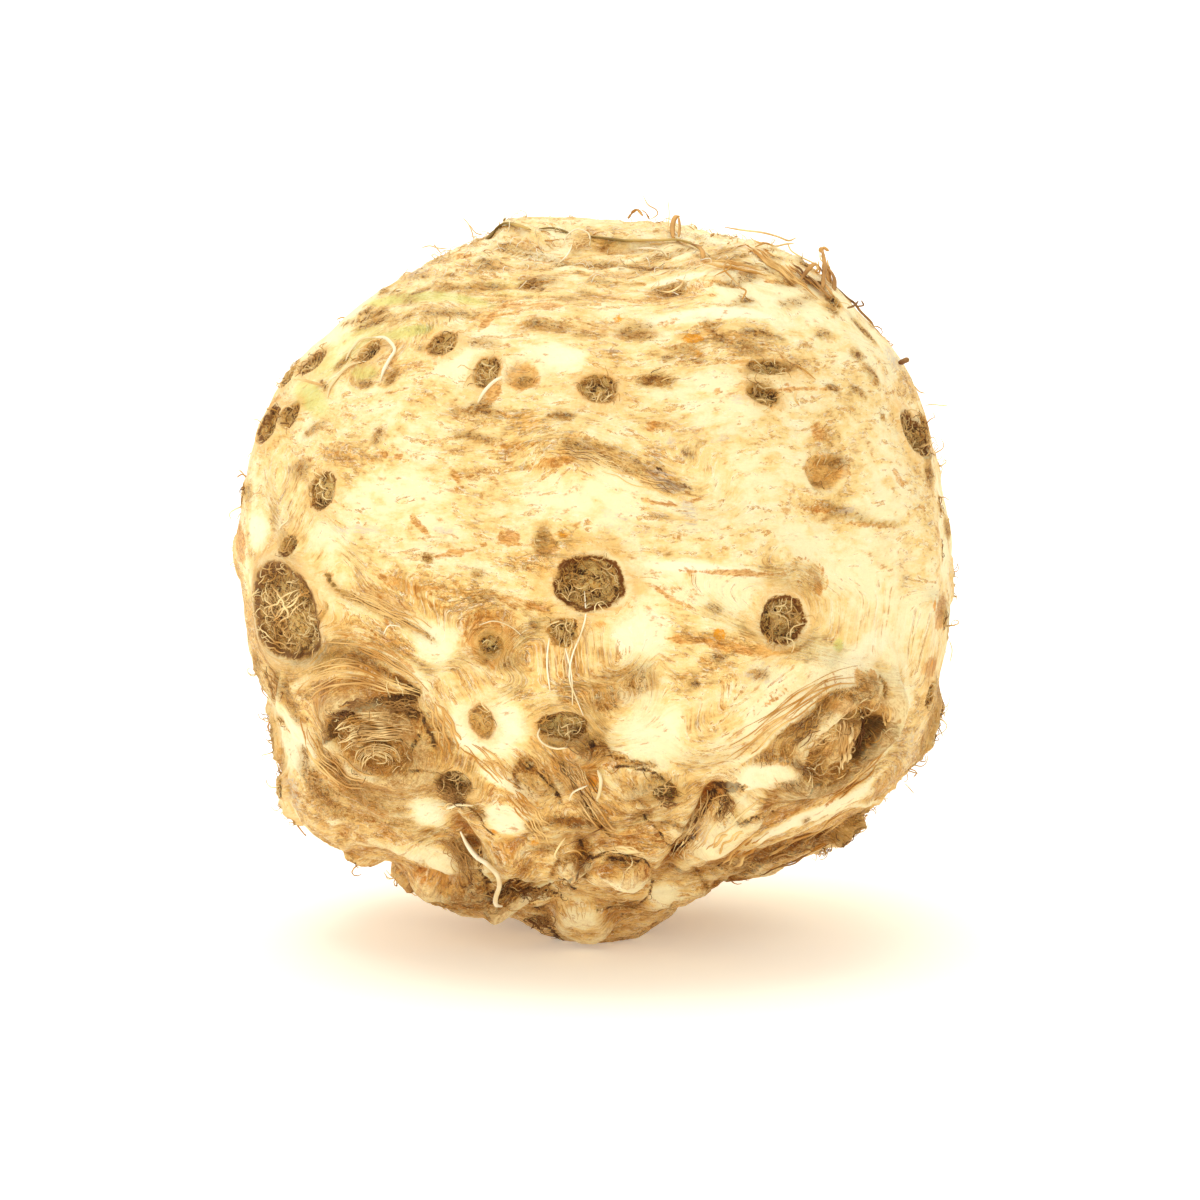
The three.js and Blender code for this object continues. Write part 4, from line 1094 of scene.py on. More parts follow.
# Every line of one kind in rows of (wide, strength, lift, pixels along it).
LINE_ROWS = {
    SCAB: [
        (9, 1, -0.5, [(284, 668), (310, 658), (343, 655), (370, 664), (394, 677), (410, 687), (422, 694)]),
        (4, 0.7, -0.3, [(300, 700), (325, 690), (350, 686), (372, 688)]),
        (5, 1, -0.3, [(435, 727), (445, 737), (457, 749)]),
        (16, 0.8, 0.3, [(338, 728), (352, 724), (372, 716), (400, 720), (416, 724)]),
        (9, 1.1, -0.4, [(313, 766), (335, 769), (350, 774)]), (5, 1, 0, [(318, 792), (328, 799), (336, 802)]),
        (7, 1.1, -0.4, [(264, 668), (271, 690), (276, 708)]),
        (4, 0.9, -0.5, [(325, 572), (337, 589), (364, 604), (389, 616), (417, 631), (441, 645)]),
        (4, 0.8, 0, [(310, 655), (330, 645), (352, 643)]),
        (8, 1.1, -0.5, [(769, 749), (786, 733), (807, 719), (821, 707), (831, 697), (842, 695), (853, 697),
          (863, 703)]),
        (4, 1.2, -0.3, [(879, 676), (886, 690), (889, 702)]),
        (8, 1.2, -0.5, [(790, 761), (800, 768), (814, 776), (825, 788)]),
        (6, 1.2, -0.5, [(825, 789), (837, 783), (852, 772), (865, 761), (879, 752)]),
        (6, 1, 0.2, [(820, 722), (800, 738), (795, 752)]), (10, 1.2, -0.2, [(790, 785), (797, 792), (803, 797)]),
        (7, 1.1, 0, [(800, 823), (812, 816)]), (7, 1, 0, [(520, 765), (515, 775), (518, 790)]),
        (4, 0.9, -0.3, [(560, 757), (568, 777), (578, 795)]),
        (3, 1.2, -0.3, [(579, 741), (599, 754), (619, 759), (645, 764), (660, 765)]),
        (8, 1.2, -0.3, [(555, 733), (565, 728), (577, 731)]), (4, 1, -0.2, [(645, 774), (668, 782), (683, 802)]),
        (7, 1.2, -0.3, [(655, 792), (665, 799), (672, 796)]), (5, 0.9, -0.3, [(614, 800), (634, 802), (655, 812)]),
        (14, 1.1, -0.3, [(548, 818), (566, 825), (586, 828)]), (6, 1.2, -0.4, [(609, 904), (625, 905), (641, 901)]),
        (5, 0.9, -0.3, [(660, 876), (680, 870), (700, 880)]),
        (8, 1.2, -0.4, [(716, 880), (757, 862), (798, 841), (830, 828)]),
        (7, 0.9, -0.3, [(655, 830), (672, 822), (690, 826)]), (8, 1.1, 0.2, [(455, 898), (480, 905), (500, 912)]),
        (5, 1, 0, [(610, 925), (640, 915), (680, 900)]),
        (3, 0.55, -0.3, [(560, 447), (585, 450), (606, 458), (622, 468), (640, 478)]),
        (3, 0.6, -0.2, [(575, 440), (600, 446), (625, 456), (650, 470), (665, 480)]),
        (4, 0.8, -0.3, [(655, 486), (675, 486), (695, 492)]),
        (5, 0.9, 0, [(480, 405), (470, 410), (490, 414), (503, 412)]),
        (4, 0.8, -0.2, [(452, 438), (470, 437), (495, 444)]),
        (3, 0.7, -0.3, [(820, 507), (845, 512), (870, 523), (905, 527)]),
        (3, 0.9, -0.3, [(487, 246), (520, 255), (560, 262), (600, 266), (650, 268), (700, 270)]),
        (5, 1.2, -0.3, [(516, 286), (532, 288), (546, 288)]), (5, 1.2, -0.3, [(655, 292), (668, 296), (682, 294)]),
        (4, 0.9, 0, [(587, 280), (612, 283)]), (4, 0.9, 0, [(700, 258), (730, 262), (765, 268), (790, 280)]),
        (5, 0.8, -0.3, [(640, 384), (658, 386), (675, 380)]), (4, 1, -0.2, [(700, 322), (712, 332), (720, 345)]),
        (5, 0.9, 0, [(742, 333), (765, 335), (785, 342)]),
        (4, 0.9, 0, [(380, 300), (400, 296), (425, 290), (440, 282)]),
        (4, 1, -0.2, [(340, 326), (362, 320), (392, 309)]), (4, 0.8, 0, [(420, 312), (450, 313), (480, 318)]),
        (4, 0.7, 0, [(280, 360), (293, 348), (310, 335)]),
        (4, 1, -0.3, [(552, 876), (556, 866), (566, 860), (580, 858), (588, 864)]),
        (4, 1, -0.3, [(556, 884), (568, 884), (580, 876), (588, 866)]),
        (5, 1, -0.4, [(690, 862), (700, 872), (712, 879), (730, 871), (760, 852)]),
        (4, 1, -0.2, [(735, 817), (742, 825)]), (3, 1, -0.2, [(575, 800), (590, 815), (602, 828), (612, 840)]),
        (4, 1.1, -0.4, [(540, 770), (548, 782), (556, 794), (562, 805)]),
        (4, 1, -0.2, [(600, 742), (610, 752), (622, 760)]),
    ],
    STAIN: [
        (4, 1, -0.2, [(354, 640), (394, 654), (423, 677)]),
        (4, 0.9, -0.2, [(375, 688), (387, 694), (401, 697), (416, 697)]), (6, 1, 0, [(308, 777), (330, 778)]),
        (8, 0.7, 0, [(272, 730), (277, 755), (290, 780), (310, 800)]),
        (3, 1, -0.2, [(370, 577), (390, 580), (410, 588), (432, 591), (455, 588)]),
        (3, 0.8, -0.15, [(380, 585), (405, 591), (430, 602), (448, 612)]),
        (4, 1, -0.2, [(455, 556), (470, 553), (485, 545), (480, 546)]),
        (4, 0.8, 0.2, [(318, 655), (345, 637), (375, 640), (400, 655)]),
        (4, 0.9, -0.3, [(460, 618), (470, 640), (482, 658), (500, 675)]),
        (3, 0.7, -0.25, [(790, 682), (776, 692), (758, 703), (755, 722)]),
        (3, 0.7, -0.25, [(790, 689), (778, 700), (760, 711)]), (9, 1.2, 0.3, [(875, 671), (871, 684), (868, 697)]),
        (6, 1, 0.2, [(831, 705), (845, 703), (856, 710)]),
        (3, 1, -0.2, [(820, 811), (842, 794), (863, 775), (882, 752), (889, 727)]),
        (5, 1, 0.3, [(572, 757), (583, 777), (590, 797)]), (5, 1.2, 0, [(412, 872), (424, 878), (436, 884)]),
        (4, 1.1, 0, [(540, 462), (558, 458), (580, 460)]), (3, 1, 0, [(640, 500), (660, 505), (680, 508)]),
        (2.5, 1.1, 0, [(700, 574), (740, 574), (770, 576)]),
        (6, 1.1, -0.1, [(735, 644), (755, 650), (780, 654), (800, 650)]),
        (5, 0.9, 0, [(650, 585), (672, 600), (700, 612)]), (6, 1, 0, [(672, 635), (690, 640), (712, 640)]),
        (3, 0.8, 0.2, [(775, 580), (795, 560), (815, 562), (826, 580), (823, 592)]),
        (2.5, 1, 0, [(507, 274), (530, 278), (552, 285)]), (3, 1, -0.2, [(695, 280), (720, 282), (745, 290)]),
        (4, 1.2, -0.2, [(760, 281), (785, 283), (800, 286)]), (3, 1.1, -0.2, [(725, 362), (760, 363), (790, 362)]),
        (2.5, 0.9, 0, [(772, 390), (810, 388), (850, 391)]),
    ],
    TAN: [
        (5, 1, 0.3, [(432, 691), (442, 713), (453, 731), (461, 746)]),
        (6, 1, 0.6, [(385, 780), (401, 773), (417, 766), (425, 752)]),
        (5, 1, 0.3, [(334, 577), (365, 586), (395, 597), (429, 616), (452, 636)]),
        (4, 1, 0.3, [(466, 615), (485, 610), (510, 622), (528, 645), (520, 668)]),
        (5, 1, 0.3, [(839, 722), (841, 745), (842, 775)]), (4, 1, 0.2, [(815, 806), (838, 789), (862, 768)]),
        (5, 1, 0.4, [(548, 757), (556, 777), (566, 797)]), (4, 1, 0.3, [(609, 790), (625, 776), (645, 772)]),
        (5, 1, 0.5, [(590, 846), (615, 848), (640, 855), (660, 860)]),
        (4, 1, 0.3, [(693, 860), (719, 838), (739, 822)]), (8, 1.2, 1, [(566, 880), (575, 868), (586, 860)]),
        (4, 1, 0.2, [(500, 448), (530, 445), (560, 446)]), (3, 1, 0.2, [(810, 503), (850, 507)]),
        (3, 1, 0, [(650, 562), (690, 565), (730, 572)]), (4, 1, 0.3, [(780, 565), (800, 572), (822, 590)]),
        (3, 1, 0.3, [(440, 270), (480, 272), (520, 276), (570, 278)]),
        (3, 0.9, 0, [(690, 306), (730, 306), (775, 309), (815, 310)]),
        (3, 1, 0.2, [(515, 338), (550, 346), (600, 344), (640, 344)]),
    ],
    # Dark lines along the clefts and under the front lip: partly dirt, partly painted shade where the lip and the
    # lobes overhang.
    DIRT_AND_SHADE: [
        (3, 1.1, -0.3, [(474, 843), (481, 860), (487, 877), (498, 884), (515, 887), (549, 885), (568, 876),
          (585, 864)]),
        (3, 1.1, -0.3, [(574, 881), (580, 866), (595, 856), (612, 853), (630, 856), (645, 862), (654, 872)]),
        (3, 1, -0.3, [(654, 872), (652, 888), (645, 902), (628, 909), (608, 909), (590, 903)]),
        (6, 1.1, -0.3, [(718, 784), (711, 802), (699, 822), (685, 843), (672, 861)]),
        (4, 1.2, 0, [(538, 917), (552, 926), (566, 935), (577, 940)]),
        (3, 1, -0.3, [(559, 758), (566, 772), (574, 786), (583, 800), (590, 815)]),
        (3, 0.9, -0.2, [(516, 758), (528, 770), (545, 776)]),
        (3, 1, -0.2, [(606, 772), (625, 768), (650, 772), (672, 786), (679, 803)]),
        (3, 1, -0.2, [(460, 800), (476, 815), (486, 828), (498, 838)]),
        (3, 0.9, -0.2, [(640, 815), (660, 835), (676, 846)]), (3, 1, -0.2, [(800, 800), (812, 790), (828, 786)]),
        (6, 1, -0.6, [(394, 679), (408, 687), (424, 695)]),
        (12, 1.2, -1.2, [(331, 727), (343, 716), (357, 709), (379, 703), (401, 703), (422, 697)]),
        (6, 1.2, -1, [(321, 722), (323, 731), (331, 741)]), (5, 1.1, -0.6, [(397, 711), (409, 714), (420, 716)]),
        (5, 0.95, -0.6, [(422, 708), (425, 722), (431, 737), (437, 753)]),
        (5, 1, -0.6, [(366, 765), (363, 754), (366, 746), (376, 742), (387, 746), (392, 754)]),
        (5, 0.95, -0.6, [(398, 763), (410, 755), (416, 743), (419, 733)]), (6, 0.9, -0.3, [(306, 716), (305, 726)]),
        (6, 0.9, -0.3, [(300, 744), (302, 756)]),
        (4, 0.85, -0.5, [(401, 774), (416, 771), (435, 773), (451, 783), (463, 792)]),
        (4, 0.7, -0.2, [(330, 580), (350, 597), (380, 613)]),
        (16, 1.3, -1.3, [(867, 706), (865, 724), (861, 738), (855, 752), (851, 762)]),
        (9, 1.2, -0.7, [(883, 712), (880, 728), (876, 741), (872, 750)]),
        (4, 1, -0.6, [(738, 824), (758, 818), (782, 815)]), (4, 0.7, -0.2, [(736, 786), (741, 795)]),
        (5, 0.9, -0.6, [(525, 759), (538, 774), (553, 789), (563, 805)]),
        (8, 1, -0.5, [(585, 733), (590, 744), (596, 752)]), (6, 0.9, -0.4, [(543, 742), (556, 748), (570, 747)]),
        (5, 1.1, -0.6, [(727, 790), (729, 808), (722, 820)]),
        (5, 1.1, -0.8, [(476, 862), (484, 884), (505, 892), (530, 892), (552, 892), (566, 905)]),
        (7, 1.1, -0.8, [(580, 838), (584, 850), (578, 860)]), (9, 0.9, -0.8, [(604, 860), (625, 862), (645, 866)]),
        (5, 0.9, -0.5, [(706, 876), (732, 858), (752, 848)]), (8, 0.8, -0.2, [(735, 878), (770, 862), (810, 846)]),
        (5, 0.7, -0.4, [(441, 828), (452, 836), (460, 850), (468, 876)]),
        (6, 0.8, 0, [(420, 895), (440, 908), (465, 915)]), (6, 0.9, 0, [(545, 918), (570, 932), (590, 938)]),
        (3, 0.8, -0.4, [(560, 872), (568, 862), (578, 856)]), (3, 0.6, -0.2, [(590, 455), (612, 466), (628, 474)]),
        (3, 0.7, -0.2, [(648, 463), (665, 474), (672, 484)]), (4, 0.8, -0.3, [(586, 265), (598, 268), (610, 266)]),
        (3, 0.8, -0.3, [(628, 268), (640, 268)]), (5, 0.8, -0.2, [(738, 296), (755, 302)]),
        (5, 0.7, 0, [(640, 336), (655, 340)]), (13, 1.3, -1.2, [(337, 720), (331, 728), (332, 741)]),
        (9, 1.3, -0.8, [(394, 712), (406, 712), (420, 719)]), (5, 1.2, -0.6, [(404, 688), (412, 693), (422, 697)]),
        (6, 1.2, -0.6, [(322, 598), (322, 618), (312, 640), (300, 656)]), (8, 1.3, -0.8, [(270, 576), (268, 592)]),
        (5, 1.2, -0.4, [(256, 598), (262, 588), (270, 580)]), (6, 1.1, -0.5, [(325, 572), (330, 582), (334, 591)]),
        (4, 0.7, -0.4, [(462, 836), (474, 850), (480, 865), (487, 882), (490, 892)]),
        (3, 1, -0.3, [(585, 804), (596, 818), (608, 834)]),
    ],
    ORANGE: [
        (4, 0.5, 0, [(360, 795), (370, 791), (380, 786)]), (4, 0.55, -0.2, [(589, 768), (591, 784), (586, 797)]),
    ],
    PALE: [
        (6, 0.55, 0.5, [(354, 643), (387, 652), (413, 669), (432, 690)]),
        (8, 0.55, 0.6, [(287, 694), (310, 680), (343, 674), (379, 677), (401, 688), (420, 694)]),
        (8, 0.5, 0.9, [(320, 734), (334, 746), (351, 765), (365, 773), (381, 781)]),
        (7, 0.25, 0.7, [(281, 669), (280, 699), (283, 722), (288, 743), (299, 766), (309, 781)]),
        (7, 0.55, 0.6, [(730, 769), (755, 753), (779, 731), (800, 711), (820, 694), (845, 686)]),
        (4, 0.55, 0.4, [(851, 722), (849, 745), (849, 764)]),
        (4, 0.61, 0.4, [(812, 733), (820, 727), (829, 731), (832, 739), (820, 738)]),
        (8, 0.55, 0.6, [(772, 842), (814, 822), (849, 806), (875, 790)]),
        (4, 0.5, 0.5, [(474, 845), (484, 871), (497, 883), (522, 885), (548, 883), (556, 876)]),
        (3, 0.55, 0.3, [(560, 270), (590, 272), (620, 270), (650, 272)]),
    ],
}
SEEN_LINES = [SeenLine(kind, *row) for kind, rows in LINE_ROWS.items() for row in rows]


# ----------------------------------------------------------------------------------------------------------
# The skin as a mesh
# ----------------------------------------------------------------------------------------------------------


@dataclass(frozen=True)
class Gathered:
    """A place that the net is gathered round, within some degrees."""

    at: Place
    within: float
    share: float


@dataclass
class SkinNet:
    """A box's net blown up to a ball, drawn towards the knobbly lower front and the bosses."""

    sides: int = 127
    crowding: float = 0.34
    crowded_side: tuple[float, float, float] = (0.0, -0.93, -0.37)
    gathered: tuple[Gathered, ...] = (
        Gathered((-38, 107), 17, 0.42), Gathered((44, 107), 17, 0.42), Gathered((-58, 89), 12, 0.3),
        Gathered((-4, 132), 22, 0.32), Gathered((0, 2), 24, 0.3), Gathered((124, 101), 15, 0.35),
        Gathered((-121, 110), 15, 0.35), Gathered((176, 118), 15, 0.35),
    )
    map_margin: float = 0.006

    def box_faces(self) -> list[tuple[Array, Array, Array]]:
        """The outward, level and upright axes of the box's six faces.

        Returns:
            Three whole-number vectors for each face.
        """
        axes = np.eye(3, dtype=int)
        faces = []
        for i in range(3):
            for sign in (1, -1):
                out, u = axes[i] * sign, axes[(i + 1) % 3]
                faces.append((out, u, np.cross(out, u)))
        return faces

    def lattice(self) -> tuple[Array, Array, Array]:
        """The box's points, its quads and the quads' corners on the unfolded map.

        Returns:
            Integer points, quads as rows of four point indices, and map corners, four rows to a quad.
        """
        n = self.sides
        i, j = np.meshgrid(np.arange(n + 1), np.arange(n + 1), indexing="ij")
        i, j = i.ravel(), j.ravel()
        points, quads, corners = [], [], []
        start = np.arange(n)[:, None] * (n + 1) + np.arange(n)[None, :]
        quad = np.stack([start, start + n + 1, start + n + 2, start + 1], axis=-1).reshape(-1, 4)
        for face, (out, u, v) in enumerate(self.box_faces()):
            points.append(out * n + np.outer(2 * i - n, u) + np.outer(2 * j - n, v))
            quads.append(quad + face * (n + 1) ** 2)
            across = (face % 3 + self.within_cell(i / n, 3)) / 3
            up = (face // 3 + self.within_cell(j / n, 2)) / 2
            corners.append(np.stack([across, up], axis=1)[quad].reshape(-1, 2))
        points, quads = np.vstack(points), np.vstack(quads)
        code = (points + n) @ np.array([1, 4 * n, 16 * n * n])
        _, first, merged = np.unique(code, return_index=True, return_inverse=True)
        return points[first], merged[quads], np.vstack(corners)

    def within_cell(self, share: Array, cells: int) -> Array:
        """A share of a map cell, kept off the cell's edges."""
        margin = self.map_margin * cells
        return margin + (1 - 2 * margin) * share

    def directions(self, points: Array) -> Array:
        """The direction of each box point from the globe's middle.

        Args:
            points: Points, one a row.

        Returns:
            One unit vector a point.
        """
        directions = unit(np.tan(points / self.sides * math.pi / 4))
        directions = unit(directions + self.crowding * np.array(self.crowded_side))
        for spot in self.gathered:
            middle = directions_at([spot.at])[0]
            away = np.degrees(np.arccos(np.clip(directions @ middle, -1, 1)))
            share = spot.share * bell(away, spot.within)[:, None]
            directions = unit(directions * (1 - share) + middle * share)
        return directions


class Neighbours:
    """Evens values out over a mesh, each vertex with the ones it shares an edge with."""

    def __init__(self, quads: Array, count: int) -> None:
        """Lists the edges of the quads from both ends.

        Args:
            quads: Rows of four vertex numbers.
            count: How many vertices there are.
        """
        edges = np.vstack([np.stack([quads[:, k], quads[:, (k + 1) % 4]], axis=1) for k in range(4)])
        self.ends = np.vstack([edges, edges[:, ::-1]])
        self.count = count
        self.shares = np.bincount(self.ends[:, 0], minlength=count)

    def evened(self, values: Array, rounds: int) -> Array:
        """The values after some rounds of averaging.

        Args:
            values: One value a vertex.
            rounds: How often they are averaged.

        Returns:
            One value a vertex.
        """
        for _ in range(rounds):
            values = np.bincount(self.ends[:, 0], values[self.ends[:, 1]], self.count) / self.shares
        return values


@dataclass
class Finder:
    """Finds places and points of the finished skin by where they show in the front view."""

    points: Array
    directions: Array
    view: FrontView = VIEW

    def __post_init__(self) -> None:
        """Keeps the points that face the view, with the pixels they show at."""
        into = unit(self.points - self.view.eye())
        self.rows = np.nonzero(np.einsum("ij,ij->i", self.directions, into) < FACING)[0]
        self.px, self.py = self.view.pixels(self.points[self.rows])

    def row(self, px: float, py: float) -> int:
        """The vertex that shows nearest to a pixel."""
        return int(self.rows[np.argmin((self.px - px) ** 2 + (self.py - py) ** 2)])

    def place(self, px: float, py: float) -> Place:
        """The place on the skin that shows at a pixel."""
        x, y, z = self.directions[self.row(px, py)]
        return math.degrees(math.atan2(x, -y)), math.degrees(math.acos(z))

    def point(self, px: float, py: float, lift: float) -> Array:
        """The point in space at a pixel, as deep as the skin there and lifted off it, in millimetres.

        Args:
            px: Pixels from the left.
            py: Pixels from the top.
            lift: Millimetres off the skin.

        Returns:
            The point, in millimetres.
        """
        off = (self.px - px) ** 2 + (self.py - py) ** 2
        near = np.argpartition(off, NEIGHBOURS)[:NEIGHBOURS]
        weights = 1 / (off[near] + 2)
        rows = self.rows[near]
        depth = weights @ ((self.points[rows] - self.view.eye()) @ self.view.axes()[0]) / weights.sum()
        return self.view.eye() + self.view.ray(px, py) * depth + self.directions[rows[0]] * lift

    def run(self, along: Pixels) -> Array:
        """The smooth run on the skin that shows along pixels."""
        return smooth_run([self.place(px, py) for px, py in along])

    def patch(self, seen: SeenPatch) -> Patch:
        """The patch on the skin that shows as seen.

        Args:
            seen: The mark as it shows.

        Returns:
            The patch with its real size.
        """
        place = self.place(seen.px, seen.py)
        out = directions_at([place])[0]
        level = unit(np.array([[-out[1], out[0], 0.0]]))[0]
        upright = np.cross(out, level)
        _, right, top = self.view.axes()
        across = max(abs(level @ right), 0.3) * self.view.px_per_mm
        up = max(abs(upright @ top), 0.3) * self.view.px_per_mm
        turn = math.radians(seen.turn)
        wide = seen.wide * math.hypot(math.cos(turn) / across, math.sin(turn) / up)
        high = seen.high * math.hypot(math.sin(turn) / across, math.cos(turn) / up)
        return Patch(place, max(wide, 2.0), max(high, 1.3), seen.turn, seen.kind, seen.strength, seen.soft)


@dataclass(frozen=True)
class GrainBend:
    """A part of the front, as seen in pixels, where the grain runs along its own turn."""

    px: float
    py: float
    wide: float
    high: float
    turn: float


GRAIN_BENDS = [GrainBend(*row) for row in (
    (630, 468, 190, 80, -20), (385, 610, 170, 70, -28), (452, 700, 60, 130, -58), (575, 655, 60, 130, -85),
    (540, 790, 130, 90, -45), (600, 800, 80, 90, -48), (480, 850, 70, 100, -62), (770, 700, 170, 70, 35),
    (700, 600, 150, 60, -12), (770, 835, 220, 80, 27), (910, 640, 80, 260, 75), (300, 520, 50, 120, 60),
    (640, 850, 120, 40, -8), (845, 745, 40, 90, 86), (800, 290, 120, 50, -38), (350, 350, 120, 60, 38),
)]


@dataclass
class Relief:
    """Fine relief on top of the forms, and what the skin's look is drawn from."""

    grain_stretch: float = 0.14
    ridge_lift: float = 0.16
    lump_lift: float = 0.22
    scab_lift: float = 0.5
    floor_lift: float = 0.275
    knot_lift: float = 0.36
    seed: int = 5


@dataclass
class Skin:
    """The root's skin: its mesh, the values kept on its vertices and its map."""

    globe: Globe = field(default_factory=Globe)
    net: SkinNet = field(default_factory=SkinNet)
    relief: Relief = field(default_factory=Relief)

    def __post_init__(self) -> None:
        """Works out every vertex and every value kept on it."""
        lattice, self.quads, self.map_corners = self.net.lattice()
        self.directions = self.net.directions(lattice)
        self.neighbours = Neighbours(self.quads, len(lattice))
        self.noise = LatticeNoise(self.relief.seed)
        reach = self.globe.reach(self.directions)
        self.finder = Finder(self.globe.points(self.directions, reach), self.directions)
        self.scars = self.scar_values()
        self.grooves = self.groove_values()
        self.grain = self.grain_values()
        self.masks = self.mark_masks()
        self.fibrous = self.fibrous_values()
        reach += self.fine_relief()
        # Hollows: how far each vertex lies below its evened neighbours, weaker near the crown and clipped; the
        # material paints shade into them and highlight onto the ridges, where the value is below 0.
        self.hollows = self.neighbours.evened(reach, 10) - reach
        self.hollows *= 0.35 + 0.65 * smooth_step(17, 24, self.angles()[1])
        self.hollows = np.clip(self.hollows, -0.8, 0.2)
        self.points = self.globe.points(self.directions, reach)
        self.finder = Finder(self.points, self.directions)

    def angles(self) -> tuple[Array, Array]:
        """Around and down of every vertex, in degrees."""
        around = np.degrees(np.arctan2(self.directions[:, 0], -self.directions[:, 1]))
        return around, np.degrees(np.arccos(np.clip(self.directions[:, 2], -1, 1)))

    def scar_values(self) -> Array:
        """Of the nearest scar: how far out in it each vertex lies, the scar's tone and half its size.

        Returns:
            Three values a vertex.
        """
        values = np.tile([3.0, 0.8, 3.0], (len(self.directions), 1))
        for scar in self.globe.scars():
            rows = scar.near(self.directions, 1.6)
            q = scar.wavy(*scar.locate(self.directions[rows]))
            nearer = q < values[rows, 0]
            values[rows[nearer], 0] = q[nearer]
            values[rows[nearer], 1:] = scar.tone, (scar.width + scar.height) / 4
        return values

    def groove_values(self) -> Array:
        """How deep each vertex lies in grooves, in millimetres.

        Returns:
            One value a vertex.
        """
        groove = np.zeros(len(self.directions))
        for crease in self.globe.creases():
            if crease.lift < 0:
                crease.add_to(groove, self.directions)
        return -groove

    def grain_values(self) -> Array:
        """Where each vertex lies along and across the grain, which runs level and bends round scars.

        Returns:
            Three values a vertex, the last of them across the grain.
        """
        _, down = self.angles()
        level = GLOBE_REACH * np.radians(down)
        level += 2.4 * self.noise.at(self.directions * GLOBE_REACH / 19)
        for boss in self.globe.bosses():
            if boss.width < GRAINED_BOSS:
                continue
            rows = boss.near(self.directions)
            q, _ = boss.locate(self.directions[rows])
            share = 1 - smooth_step(0.55, 1.35, q)
            ring = (q - 1) * (boss.width + boss.height) / 4 + GLOBE_REACH * math.radians(boss.at[1])
            level[rows] += share * (ring - level[rows])
        for bend in GRAIN_BENDS:
            oval = self.finder.patch(SeenPatch(TAN, bend.px, bend.py, bend.wide, bend.high, bend.turn))
            rows = oval.near(self.directions, 0.8)
            share = 1 - smooth_step(0.6, 1.3, oval.locate(self.directions[rows])[0])
            _, up = oval.offsets(self.directions[rows])
            level[rows] += share * (GLOBE_REACH * math.radians(oval.at[1]) - up - level[rows])
        along = self.directions[:, :2] * GLOBE_REACH * self.relief.grain_stretch
        return np.column_stack([along, level])

    def mark_masks(self) -> Array:
        """Every mark's strength on every vertex, a column for each kind.

        Returns:
            A row for each vertex.
        """
        masks = np.zeros((len(self.directions), len(Mark)))
        for seen in SEEN_PATCHES:
            self.finder.patch(seen).add_mask(masks, self.directions)
        for patch in [*ring_patches(), *strewn_patches(), *halo_patches(self.globe)]:
            patch.add_mask(masks, self.directions)
        for line in SEEN_LINES:
            rows, shape = self.line_shape(line)
            masks[rows, line.kind.value] = np.maximum(masks[rows, line.kind.value], line.strength * shape)
        around, down = self.angles()
        tan = masks[:, TAN.value]
        broken = np.maximum(masks[:, SCAB.value], masks[:, DIRT_AND_SHADE.value])
        np.maximum(tan, 0.9 * self.neighbours.evened(np.clip(broken, 0, 1), 8), out=tan)
        np.maximum(tan, 0.08 + 0.5 * smooth_step(88, 125, down), out=tan)
        tan *= 1 - 0.8 * np.clip(masks[:, PALE.value], 0, 1)
        dirt_and_shade = masks[:, DIRT_AND_SHADE.value]
        # Grooves darken with their depth, partly dirt and partly painted shade; the skin also darkens towards the
        # flat spot.
        np.maximum(dirt_and_shade, 0.4 * smooth_step(1.2, 3.2, self.grooves), out=dirt_and_shade)
        np.maximum(dirt_and_shade, 0.6 * smooth_step(150, 170, down), out=dirt_and_shade)
        return np.clip(masks, 0, 1.3)

    def grain_way(self) -> Array:
        """The way that the grain runs at every vertex.

        Returns:
            One unit vector a vertex.
        """
        level = self.grain[:, 2]
        turn = np.zeros_like(self.directions)
        for a, b in ((0, 1), (1, 2), (2, 3), (3, 0), (0, 2), (1, 3)):
            one, two = self.quads[:, a], self.quads[:, b]
            step = self.directions[two] - self.directions[one]
            rise = (level[two] - level[one])[:, None] * step / np.maximum((step**2).sum(axis=1), 1e-9)[:, None]
            for column in range(3):
                turn[:, column] += np.bincount(one, rise[:, column], len(level))
                turn[:, column] += np.bincount(two, rise[:, column], len(level))
        return unit(np.cross(self.directions, turn) + 1e-9)

    def fibrous_values(self) -> Array:
        """How fibrous the skin is at each vertex: low down, on the big bosses and by broken skin.

        Returns:
            One value a vertex, from 0 to 1.
        """
        _, down = self.angles()
        fibrous = 0.1 + 0.28 * smooth_step(95, 128, down)
        for boss in self.globe.bosses():
            if boss.width >= GRAINED_BOSS:
                rows = boss.near(self.directions)
                inside = 1 - smooth_step(0.5, 1.2, boss.locate(self.directions[rows])[0])
                fibrous[rows] = np.maximum(fibrous[rows], (0.75 if boss.width >= FIBROUS_BOSS else 0.4) * inside)
        broken = self.neighbours.evened(np.clip(self.masks[:, SCAB.value], 0, 1), 4)
        fibrous *= 1 - 0.7 * np.clip(self.masks[:, PALE.value], 0, 1)
        return np.clip(np.maximum(fibrous, broken), 0, 1)

    def line_shape(self, line: SeenLine) -> tuple[Array, Array]:
        """The vertices by a line, and how far each lies inside it, from 0 to 1.

        Args:
            line: The line as it shows.

        Returns:
            The row numbers of the vertices, and their values.
        """
        run = self.finder.run(line.along)
        wide = max(line.wide / self.finder.view.px_per_mm, 0.75)
        rows = rows_by_run(self.directions, run, 2 * wide)
        near = nearest_on_run(self.directions[rows], run)
        fade = smooth_step(-0.02, 0.12, near.share) * smooth_step(-0.02, 0.12, 1 - near.share)
        return rows, fade * bell(near.distance, 0.55 * wide)

    def line_relief(self) -> Array:
        """The ridges and grooves of the lines, in millimetres.

        Returns:
            One value a vertex.
        """
        relief = np.zeros(len(self.directions))
        for line in SEEN_LINES:
            rows, shape = self.line_shape(line)
            relief[rows] += line.lift * shape * (1.0 if line.lift > 0 else 0.65)
        return relief

